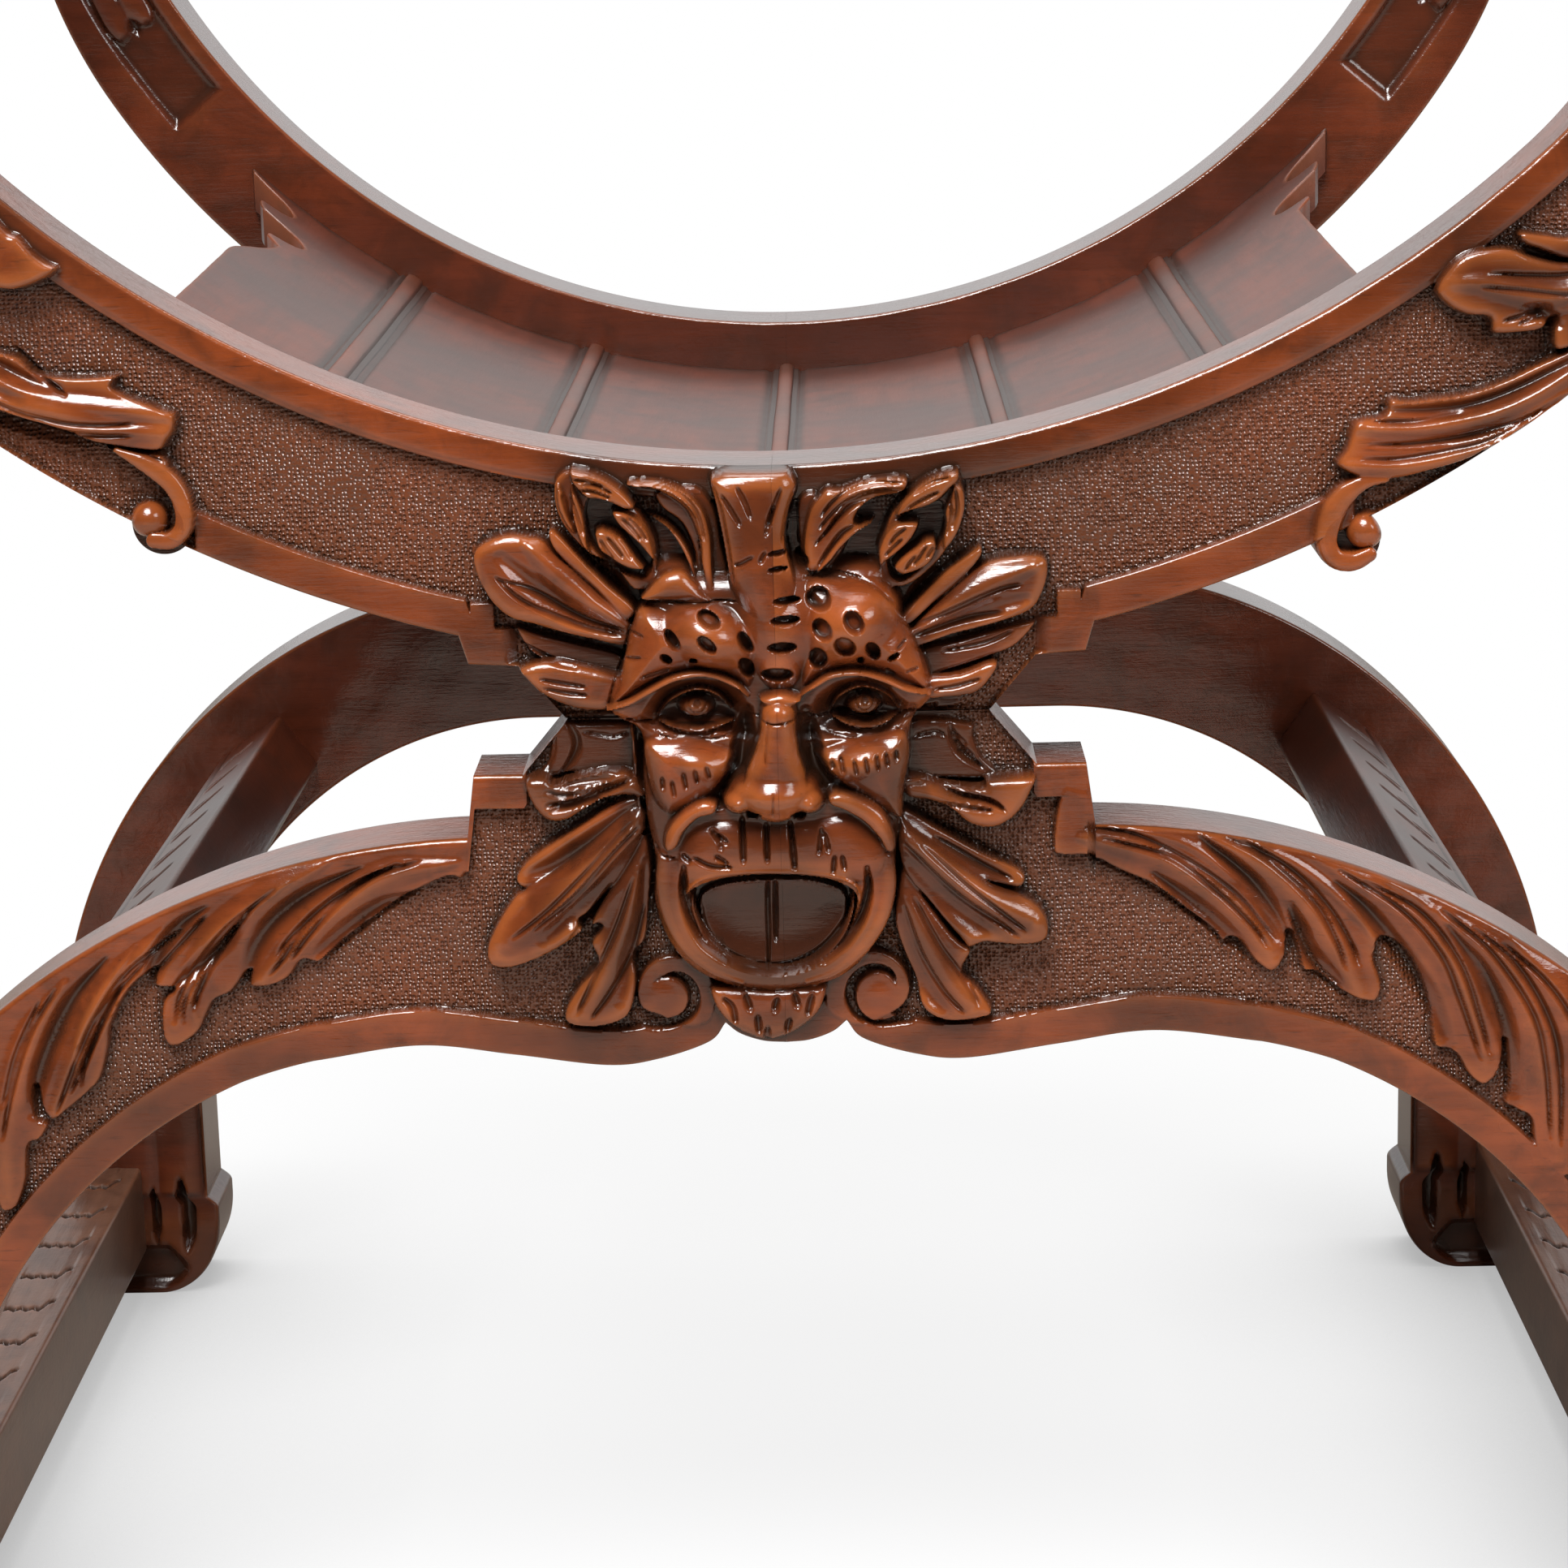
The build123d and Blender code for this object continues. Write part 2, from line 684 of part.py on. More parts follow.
def bearer_screws(f, frame_face, heading):
    """Round-head screws through a bearer into the frame behind it."""
    with BuildPart() as screws:
        for x in (-screw_x[1], -screw_x[0], *screw_x):
            head_at = frame_face + heading * bearer_w
            with Locations(
                Location(
                    (x, head_at - heading * (screw_len - fit) / 2, screw_height(f, abs(x))),
                    (90, 0, 0),
                )
            ):
                Cylinder(screw_r, screw_len - fit)
            with Locations(
                Location((x, head_at + heading * screw_r / 2, screw_height(f, abs(x))), (90, 0, 0))
            ):
                Cylinder(screw_head_r, screw_r)
    return screws


seat_bearer_front = bearer(front, front.rear, front.rear + bearer_w)
seat_bearer_back = bearer(back, back.y - bearer_w, back.y)
front_bearer_screws = bearer_screws(front, front.rear, 1)
back_bearer_screws = bearer_screws(back, back.y, -1)

# ---- side rails and runners ---------------------------------------------------
rail_len = back.y - front.rear

with BuildPart() as side_rail_right:
    with BuildSketch(across(back.y)) as rail_shape:
        rail_section(1, rail_w, rail_h)
    extrude(rail_shape.sketch, amount=rail_len)
    with BuildSketch(across(back.y + tenon_len)) as rail_tenons:
        rail_section(1, rail_w - 2 * tenon_inset, rail_h - 2 * tenon_inset)
    extrude(rail_tenons.sketch, amount=rail_len + 2 * tenon_len)

with BuildPart() as runner_right:
    with BuildSketch(across(back.y)) as runner_shape:
        runner_section(1, runner_w, runner_h)
    extrude(runner_shape.sketch, amount=rail_len)
    with BuildSketch(across(back.y - runner_lip)) as runner_sunk:
        with Locations((runner_x + runner_w / 2, runner_z + runner_h)):
            Rectangle(runner_w - 2 * runner_lip_w, 2 * runner_lip)
    extrude(runner_sunk.sketch, amount=rail_len - 2 * runner_lip, mode=Mode.SUBTRACT)
    with BuildSketch(across(back.y + tenon_len)) as runner_tenons:
        runner_section(1, runner_w - 2 * tenon_inset, runner_h - 2 * tenon_inset)
    extrude(runner_tenons.sketch, amount=rail_len + 2 * tenon_len)

side_rail_left = other_side(side_rail_right)
runner_left = other_side(runner_right)

# ---- armrests -----------------------------------------------------------------
front_arm_x = (front.in_x + front.out_x) / 2
arm_end_y = -depth / 2

with BuildPart() as armrest_right:
    with BuildSketch(Plane.YZ) as arm_side:
        with Locations(((arm_end_y + arm_scroll_r + back.y) / 2, arm_under_z + arm_thick / 2)):
            Rectangle(back.y - arm_end_y - arm_scroll_r, arm_thick)
        with Locations((arm_end_y + arm_scroll_r, arm_top_z - arm_scroll_r)):
            Circle(arm_scroll_r)
    extrude(arm_side.sketch, amount=2 * front.out_x)
    with BuildSketch(Plane.XY.offset(arm_under_z - arm_scroll_r)) as arm_plan:
        with BuildLine():
            nose_y = arm_end_y - cut_over
            in_front = front_arm_x - arm_front_w / 2
            out_front = front_arm_x + arm_front_w / 2
            in_back = (back.in_x + back.out_x - arm_back_w) / 2
            Line((in_front, nose_y), (out_front, nose_y))
            Line((out_front, nose_y), (out_front, front.rear))
            Spline(
                (out_front, front.rear), (in_back + arm_back_w, back.y),
                tangents=((0, 1), (0, 1)),
            )
            Line((in_back + arm_back_w, back.y), (in_back, back.y))
            Spline((in_back, back.y), (in_front, front.rear), tangents=((0, -1), (0, -1)))
            Line((in_front, front.rear), (in_front, nose_y))
        make_face()
    extrude(arm_plan.sketch, amount=2 * arm_thick + arm_scroll_r, mode=Mode.INTERSECT)
    with Locations((front_arm_x, front.mid, arm_under_z)):
        Box(
            front_arm_w - 4 * tenon_inset + 2 * fit,
            front_thick - 2 * tenon_inset + 2 * fit,
            2 * (arm_thick - tenon_inset + fit),
            mode=Mode.SUBTRACT,
        )
    with BuildSketch(across(back.y + tenon_len)) as arm_tenon:
        arm_tenon_section(1, 0)
    extrude(arm_tenon.sketch, amount=2 * tenon_len)

armrest_left = other_side(armrest_right)

# ---- back panel and crest rail ------------------------------------------------
panel_half = back.in_x - fit
panel_h = post_top_z - panel_z

with BuildPart() as back_panel:
    with Locations((0, back.mid, panel_z)):
        Box(2 * panel_half, panel_t, panel_h, align=(Align.CENTER, Align.CENTER, Align.MIN))
        Box(
            2 * (panel_half + tongue_len),
            tongue_t,
            panel_h,
            align=(Align.CENTER, Align.CENTER, Align.MIN),
        )
    with BuildSketch(across(back.mid - panel_t / 2 + field_depth)) as field:
        with Locations((0, panel_z + panel_h / 2)):
            Rectangle(2 * (panel_half - field_inset), panel_h - 2 * field_inset)
    extrude(field.sketch, amount=field_depth, mode=Mode.SUBTRACT)

crest_half = back.out_x + crest_over

with BuildPart() as crest_rail:
    with BuildSketch(across(back.mid + crest_t / 2)) as crest_shape:
        with BuildLine() as crest_line:
            top = post_top_z + crest_mid_h
            dip = (crest_half / 2, post_top_z + crest_dip_h)
            end = (crest_half, post_top_z + crest_end_h)
            Spline((0, top), dip, end, tangents=((1, 0), (1, 0)))
            Line(end, (crest_half, post_top_z))
            Line((crest_half, post_top_z), (0, post_top_z))
            Line((0, post_top_z), (0, top))
        make_face()
        mirror(about=Plane.YZ)
    extrude(crest_shape.sketch, amount=crest_t)
    for side in (-1, 1):
        with Locations((side * post_mid_x, back.mid, post_top_z)):
            Box(
                post_w - 2 * tenon_inset - tongue_len + 2 * fit,
                back_thick - 4 * tenon_inset + 2 * fit,
                2 * (tenon_len + fit),
                mode=Mode.SUBTRACT,
            )

# ---- write every piece --------------------------------------------------------
pieces = {
    "front_upper_left": front_upper_left,
    "front_upper_right": front_upper_right,
    "front_lower_left": front_lower_left,
    "front_lower_right": front_lower_right,
    "back_upper_left": back_upper_left,
    "back_upper_right": back_upper_right,
    "back_lower_left": back_lower_left,
    "back_lower_right": back_lower_right,
    "front_dowels": front_dowels,
    "back_dowels": back_dowels,
    "seat_bearer_front": seat_bearer_front,
    "seat_bearer_back": seat_bearer_back,
    "front_bearer_screws": front_bearer_screws,
    "back_bearer_screws": back_bearer_screws,
    "side_rail_left": side_rail_left,
    "side_rail_right": side_rail_right,
    "runner_left": runner_left,
    "runner_right": runner_right,
    "armrest_left": armrest_left,
    "armrest_right": armrest_right,
    "back_panel": back_panel,
    "crest_rail": crest_rail,
}
for number, board in enumerate(seat_boards, start=1):
    pieces[f"seat_board_{number}"] = board
for number, strip in enumerate(seat_strips, start=1):
    pieces[f"seat_strip_{number}"] = strip

os.makedirs("parts", exist_ok=True)
for name, piece in pieces.items():
    piece.part.label = name
    export_step(piece.part, f"parts/{name}.step")
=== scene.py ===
import bpy
import numpy as np
from mathutils import Matrix, Vector


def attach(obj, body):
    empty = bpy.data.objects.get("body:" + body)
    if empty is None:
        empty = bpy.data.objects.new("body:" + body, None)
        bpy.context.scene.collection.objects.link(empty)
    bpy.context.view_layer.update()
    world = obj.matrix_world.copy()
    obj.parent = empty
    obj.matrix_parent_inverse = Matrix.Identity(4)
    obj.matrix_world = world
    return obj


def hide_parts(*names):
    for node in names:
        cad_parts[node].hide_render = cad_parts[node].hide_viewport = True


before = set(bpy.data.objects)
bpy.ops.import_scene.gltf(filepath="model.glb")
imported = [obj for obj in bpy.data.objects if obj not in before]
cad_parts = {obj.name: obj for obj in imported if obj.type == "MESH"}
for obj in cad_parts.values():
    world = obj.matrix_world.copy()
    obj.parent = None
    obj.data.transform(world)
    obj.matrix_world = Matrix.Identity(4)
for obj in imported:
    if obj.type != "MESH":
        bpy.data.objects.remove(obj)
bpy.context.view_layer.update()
print("frame loaded,", len(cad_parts), "nodes")

mm = 0.001

# sizes in millimetres that several pieces share
chair = {
    "rimZ": 449, "seamZ": 363, "rearOfFront": -181, "faceOfBack": 213,
    "waist": ((0, 0), (72, 0), (88, 19), (105, 20)), "waistEnd": 108,   # steps away from the seam
    "haunchX": 117, "toeZ": 46, "curlZ": 35, "lip": 5, "soleIn": 22, "soleOut": 12,
    "round": 1.5, "chinEnd": (21, 254),
}
frontFrame = {
    "y": -217, "thick": 36, "rimR": 386, "outR": 455, "outZ": 835, "turn": 42, "turnR": 130,
    "armW": 55, "top": 690, "haunchZ": 63, "haunchR": 188, "legW": 67, "crown": 31, "crownZ": 322,
}
backFrame = {
    "y": 213, "thick": 44, "rimR": 312, "outR": 350, "outZ": 743, "turn": 57, "turnR": 150,
    "armW": 42, "top": 800, "haunchZ": 108, "haunchR": 164, "legW": 63, "crown": 4, "crownZ": 334,
}


# ramp from 0 to 1 between lo and hi, flat at both ends
def smooth(x, lo, hi):
    t = np.clip((x - lo) / (hi - lo), 0, 1)
    return t * t * (3 - 2 * t)


# curve through the points: on each run a cubic whose end slopes are half the step
# between the neighbours on either side
def smoothLine(points, count):
    p = np.asarray(points, float)
    slope = np.gradient(p, axis=0)
    t = np.linspace(0, len(p) - 1, count)
    k = np.minimum(t.astype(int), len(p) - 2)
    f = (t - k)[:, None]
    a, b, da, db = p[k], p[k + 1], slope[k], slope[k + 1]
    return (
        a * (1 + 2 * f) * (1 - f) ** 2 + b * (3 - 2 * f) * f * f
        + da * f * (1 - f) ** 2 - db * (1 - f) * f * f
    )


# straight runs between the points, with places on them at most a step apart
def straightLine(points, step):
    p = np.asarray(points, float)
    runs = [
        a + (b - a) * np.linspace(0, 1, max(1, int(np.ceil(np.hypot(*(b - a)) / step))), False)[:, None]
        for a, b in zip(p[:-1], p[1:])
    ]
    return np.concatenate(runs + [p[-1:]])


# points of a circle, by angle from straight down (way -1) or straight up (way 1)
def onCircle(centre, r, angle, way=-1):
    return np.stack((centre[0] + r * np.sin(angle), centre[1] + way * r * np.cos(angle)), -1)


# nearest place on a smooth line for each point within reach: its number, the share of the
# way along, and the distance, which is negative to the right of the line
def nearLine(xs, zs, points, reach, count=44):
    line = smoothLine(points, count)
    seg = np.diff(line, axis=0)
    length = np.hypot(seg[:, 0], seg[:, 1])
    start = np.concatenate(([0], np.cumsum(length)))
    lo, hi = line.min(0) - reach, line.max(0) + reach
    idx = np.flatnonzero((xs > lo[0]) & (xs < hi[0]) & (zs > lo[1]) & (zs < hi[1]))
    p = np.stack((xs[idx], zs[idx]), 1)[:, None]
    f = np.clip(((p - line[:-1]) * seg).sum(2) / length**2, 0, 1)
    off = p - line[:-1] - f[..., None] * seg
    gap = (off**2).sum(2)
    k = gap.argmin(1)
    row = np.arange(len(idx))
    along = (start[k] + f[row, k] * length[k]) / start[-1]
    side = np.sign(seg[k, 0] * off[row, k, 1] - seg[k, 1] * off[row, k, 0])
    away = np.sqrt(gap[row, k]) * side
    keep = np.abs(away) < reach
    return idx[keep], along[keep], away[keep]


# value between equally spaced ones, at a share of the way along
def spread(values, along):
    return np.interp(along, np.linspace(0, 1, len(values)), values)


# larger of two heights, with the corner between them filled over a width k
def blendMax(a, b, k):
    h = np.clip(0.5 + 0.5 * (b - a) / k, 0, 1)
    return a + (b - a) * h + k * h * (1 - h)


# distance inside a closed smooth outline, for the points that lie within it
def insideOf(xs, zs, outline):
    ring = np.asarray(outline, float)
    line = smoothLine(np.concatenate((ring[-2:], ring, ring[:3])), 4 * (len(ring) + 4) + 1)[8:-8]
    lo, hi = line.min(0), line.max(0)
    idx = np.flatnonzero((xs > lo[0]) & (xs < hi[0]) & (zs > lo[1]) & (zs < hi[1]))
    depth = np.full(len(idx), 1e9)
    inside = np.zeros(len(idx), bool)
    x, z = xs[idx], zs[idx]
    for (ax, az), (bx, bz) in zip(line[:-1], line[1:]):
        dx, dz = bx - ax, bz - az
        f = np.clip(((x - ax) * dx + (z - az) * dz) / (dx * dx + dz * dz + 1e-12), 0, 1)
        depth = np.minimum(depth, (x - ax - f * dx) ** 2 + (z - az - f * dz) ** 2)
        if dz:
            inside ^= ((az > z) != (bz > z)) & (x < ax + dx * (z - az) / dz)
    return idx[inside], np.sqrt(depth[inside])


# raises a form inside an outline: from the edge height it climbs a quarter circle over
# the shoulder's width to edge plus crown, and its wall is a smooth step 1 mm wide
def raiseForm(lift, xs, zs, outline, edge, crown, shoulder, sink=False):
    idx, depth = insideOf(xs, zs, outline)
    t = np.clip(depth / shoulder, 0, 1)
    rise = edge + crown * np.sqrt(1 - (1 - t) ** 2)
    wall = smooth(depth, 0, 1.0)
    lift[idx] = lift[idx] * (1 - wall) + (rise if sink else np.maximum(lift[idx], rise)) * wall


# as above, but the form also replaces what stands higher
def sinkForm(lift, xs, zs, outline, edge, crown, shoulder):
    raiseForm(lift, xs, zs, outline, edge, crown, shoulder, sink=True)


# raises a strap along a line: across it the height is the edge plus the crown times the
# root of one less a power of the share of the half width, and it can tilt to one side
def raiseStrap(lift, xs, zs, points, widths, edge, crown, tilt=0):
    idx, along, away = nearLine(xs, zs, points, max(widths) + 0.5)
    w = np.maximum(spread(widths, along), 0.3)
    q = np.clip(away / w, -1, 1)
    rise = edge + crown * np.sqrt(1 - np.abs(q) ** 2.4) + tilt * q
    wall = smooth(w - np.abs(away), 0, 0.8)
    lift[idx] = lift[idx] * (1 - wall) + np.maximum(lift[idx], rise) * wall


# raises a boss: an ellipse whose height is a power of one less its radius squared
def raiseLump(lift, xs, zs, centre, axes, turn, height, power, k=1.6, floor=-4.0):
    c, s = np.cos(np.radians(turn)), np.sin(np.radians(turn))
    u = ((xs - centre[0]) * c + (zs - centre[1]) * s) / axes[0]
    v = ((zs - centre[1]) * c - (xs - centre[0]) * s) / axes[1]
    r2 = u * u + v * v
    idx = np.flatnonzero(r2 < 1)
    rise = floor + (height - floor) * (1 - r2[idx]) ** power
    lift[idx] = blendMax(lift[idx], rise, k)


# sinks pits: ellipses, each a smooth step of one less its radius squared
def sinkPits(lift, xs, zs, depth, pits):
    for centre, axes, turn in pits:
        c, s = np.cos(np.radians(turn)), np.sin(np.radians(turn))
        u = ((xs - centre[0]) * c + (zs - centre[1]) * s) / axes[0]
        v = ((zs - centre[1]) * c - (xs - centre[0]) * s) / axes[1]
        lift -= depth * smooth(1 - u * u - v * v, 0, 0.6)


# cuts gouges of one half width and depth along lines: round-bottomed across, and narrow
# and shallow at both ends
def cutVeins(lift, xs, zs, half, depth, lines):
    for points in lines:
        idx, along, away = nearLine(xs, zs, points, half * 2.2)
        w = half * (0.55 + 0.45 * np.sin(np.pi * along) ** 0.5)
        ends = smooth(along, -0.08, 0.12) * smooth(1 - along, -0.04, 0.08)
        lift[idx] -= depth * ends * np.clip(1 - (away / (1.9 * w)) ** 2, 0, 1) ** 1.3


# lifts soft ridges along lines, or sinks soft valleys where the height is negative: a
# power of a half sine along, and the square of one less the distance squared across
def liftSwells(lift, xs, zs, height, widths, lines):
    for points in lines:
        idx, along, away = nearLine(xs, zs, points, 2 * max(widths))
        w = np.maximum(spread(widths, along), 0.3)
        q = np.clip(away / (1.3 * w), -1, 1)
        lift[idx] += height * np.sin(np.pi * np.clip(along, 0.02, 0.98)) ** 0.4 * (1 - q * q) ** 2


tools = {
    "form": raiseForm, "hollow": sinkForm, "strap": raiseStrap, "lump": raiseLump, "pits": sinkPits,
    "cuts": cutVeins, "swell": liftSwells,
}


# works the rows of a table of carving, in their order, into the height field
def carve(lift, xs, zs, rows):
    flat, x, z = lift.ravel().copy(), xs.ravel(), zs.ravel()
    for kind, *row in rows:
        tools[kind](flat, x, z, *row)
    return flat.reshape(lift.shape)


# mean over a square of 2k + 1 cells, twice
def blur(lift, k):
    for axis in (0, 1, 0, 1):
        pad = [(k + 1, k) if a == axis else (0, 0) for a in (0, 1)]
        total = np.cumsum(np.pad(lift, pad, "edge"), axis=axis)
        n = lift.shape[axis]
        lift = (total.take(range(2 * k + 1, 2 * k + 1 + n), axis) - total.take(range(n), axis)) / (2 * k + 1)
    return lift


# uneven hand work: three long waves added up
def handWork(xs, zs, amount):
    return amount * (
        np.sin(xs / 7.3 + zs / 11.1) + np.sin(xs / 4.1 - zs / 5.7 + 1.3) + np.sin(zs / 3.1 + xs / 17.0 + 0.7)
    ) / 3


# closed mesh from rings of points; the ends get flat caps, and a solid turned inside
# out, which shows in a negative volume, has its faces turned; the fields give values for
# the first points of each ring, and the rest of the ring has none
def ringMesh(name, rings, fields, sharp=40):
    n, m = rings.shape[:2]
    verts = rings.reshape(-1, 3) * mm
    i, j = np.meshgrid(np.arange(n - 1), np.arange(m), indexing="ij")
    k = (j + 1) % m
    quads = np.stack((i * m + j, (i + 1) * m + j, (i + 1) * m + k, i * m + k), -1).reshape(-1, 4)
    a, b, c, d = (verts[quads[:, q]] for q in range(4))
    volume = (np.cross(a, b) * c).sum() + (np.cross(a, c) * d).sum()
    ends = [np.arange(m), np.arange(m)[::-1] + (n - 1) * m]
    for end in ends:
        e = verts[end]
        volume += (np.cross(e[1:-1], e[2:]) * e[0]).sum()
    if volume < 0:
        quads = quads[:, ::-1]
        ends = [end[::-1] for end in ends]
    mesh = bpy.data.meshes.new(name)
    mesh.from_pydata(verts, [], quads.tolist() + [end.tolist() for end in ends])
    mesh.polygons.foreach_set("use_smooth", np.ones(len(mesh.polygons), bool))
    mesh.set_sharp_from_angle(angle=np.radians(sharp))
    for key, values in fields.items():
        values = np.concatenate((values, np.zeros((n, m - values.shape[1]))), 1)
        mesh.attributes.new(key, "FLOAT", "POINT").data.foreach_set("value", values.astype(np.float32).ravel())
    mesh.update()
    piece = bpy.data.objects.new(name, mesh)
    bpy.context.scene.collection.objects.link(piece)
    return piece


# puts a finished piece on the chair in place of its CAD nodes
def fit(piece, material, slot, *nodes):
    piece.data.materials.append(material)
    if nodes:
        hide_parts(*nodes)
    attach(piece, "root")


# distances across a band: close together at both borders, even between them
def acrossBand(span, count):
    lead = np.array([0, 0.12, 0.4, 0.85, 1.45, 2.2])
    middle = lead[-1] + (span - 2 * lead[-1]) * np.linspace(0, 1, count)[1:-1]
    near = np.broadcast_to(lead, (len(span), len(lead)))
    return np.concatenate((near, middle, span - lead[::-1]), 1)


# fall of a quarter round of radius r, by distance from the border
def roundOver(w, r):
    near = np.clip(r - w, 0, r)
    return r - np.sqrt(r * r - near * near)


# solid band between two edge lines in the xz plane: the front carries the relief, which
# dies out at the borders, both faces are rounded over there by radius r, and the rear is
# flat; an edge on the seam between the halves is no border, so the band ends square there
def bandSolid(name, first, second, yFace, yRear, relief, count, r):
    step = second - first
    span = np.hypot(step[:, 0], step[:, 1])[:, None]
    w = acrossBand(span, count)
    onSeam = [99 * (np.abs(edge[:, 1:] - chair["seamZ"]) < 0.4) for edge in (first, second)]   # 99: far off

    def fromBorder(w):
        return np.minimum(w + onSeam[0], span - w + onSeam[1])

    def placeAt(w):
        return first[:, :1] + step[:, :1] * w / span, first[:, 1:] + step[:, 1:] * w / span

    xs, zs = placeAt(w)
    lift, punch, *extraDarkening = relief(xs, zs, w, span)
    way = np.sign(yRear - yFace)
    border = fromBorder(w)
    shown = lift * smooth(border, 0, 1.2) - roundOver(border, r)

    # height against its mean over small, middling and wide squares
    hollow, wide, broad = (blur(shown, k) - shown for k in (2, 9, 22))
    # painted shade with dirt: darker where the face lies below its mean over small and middling squares, in creases
    # and hollows
    dirtAndShade = blur(np.clip(0.8 * smooth(hollow, 0.05, 0.8) + 0.4 * smooth(wide, 0.6, 5.5), 0, 1), 1)
    wear = np.clip(smooth(-wide, 0.3, 3.5) + 0.9 * (1 - smooth(border, 0.2, 1.6)), 0, 1)
    # patina with painted shade: darker in broad hollows, less on the sunk ground, and joined by the dark places and
    # painted shade that the relief gives
    patinaAndShade = smooth(broad, -1.8, 4.5) * (1 - 0.5 * smooth(-3 - lift, 0, 1))
    for place in extraDarkening:
        patinaAndShade = np.maximum(patinaAndShade, place)

    back = np.array([0, 0.25, 0.9, 2.2])
    wBack = np.concatenate((span - back, back[::-1] + 0 * span), 1)
    yBack = yRear - way * roundOver(fromBorder(wBack), r)
    yFront, yDeep = yFace + way * (r + 1), yRear - way * (r + 1)   # ends of the flat sides
    w = np.concatenate((w, span, span, wBack, 0 * span, 0 * span), 1)
    ys = (yFace - way * shown, yFront + 0 * span, yDeep + 0 * span, yBack, yDeep + 0 * span, yFront + 0 * span)
    xs, zs = placeAt(w)
    rings = np.stack((xs, np.concatenate(ys, 1), zs), -1)
    return ringMesh(name, rings, {"dirtAndShade": dirtAndShade, "wear": wear, "punch": punch, "patinaAndShade": patinaAndShade}, sharp=70)


# edges of half a U from the middle to the top of the arm: the rim, and below it the waist
# steps and the outer edge; each bends from its arc through a second one to a straight rise
def upperEdges(f, step):
    rimC = np.array([0, chair["rimZ"] + f["rimR"]])
    outC = np.array([0, f["outZ"]])
    steps = [(x, chair["seamZ"] + up) for x, up in chair["waist"]]
    edgeX = chair["waistEnd"]
    steps.append((edgeX, outC[1] - np.sqrt(f["outR"] ** 2 - edgeX**2)))
    waist = straightLine(steps, step)
    edgeTurn = np.arcsin(edgeX / f["outR"])
    fromMiddle = np.arctan2(waist[:, 0], rimC[1] - waist[:, 1])
    fromMiddle = fromMiddle * edgeTurn / fromMiddle[-1]
    turn = np.radians(f["turn"])
    sweep = np.linspace(edgeTurn, turn, int((turn - edgeTurn) * f["outR"] / step))[1:]
    turnC = onCircle(rimC, f["rimR"] - f["turnR"], turn)
    inX = turnC[0] + f["turnR"]
    outX = inX + f["armW"]
    bigR = (outX - f["outR"] * np.sin(turn)) / (1 - np.sin(turn))
    bigC = onCircle(outC, f["outR"] - bigR, turn)
    bend = np.linspace(turn, np.pi / 2, int((np.pi / 2 - turn) * bigR / step))[1:]
    t = np.linspace(0, 1, int((f["top"] - turnC[1]) / step))[1:, None]
    riseIn = np.array([inX, turnC[1]]) * (1 - t) + np.array([inX, f["top"]]) * t
    riseOut = np.array([outX, bigC[1]]) * (1 - t) + np.array([outX, f["top"]]) * t
    rim = np.concatenate((
        onCircle(rimC, f["rimR"], np.concatenate((fromMiddle, sweep))),
        onCircle(turnC, f["turnR"], bend), riseIn,
    ))
    outer = np.concatenate((waist, onCircle(outC, f["outR"], sweep), onCircle(bigC, bigR, bend), riseOut))
    return rim, outer


# arc from one point to another that starts in a given direction
def arcTo(start, heading, end, count):
    normal = np.array([-heading[1], heading[0]])
    chord = np.asarray(end) - start
    sweep = 2 * np.arctan2(chord @ normal, chord @ heading)
    r = chord @ chord / (2 * (chord @ normal))
    t = np.linspace(0, 1, count)[:, None] * sweep
    return start + r * (np.sin(t) * heading + (1 - np.cos(t)) * normal)


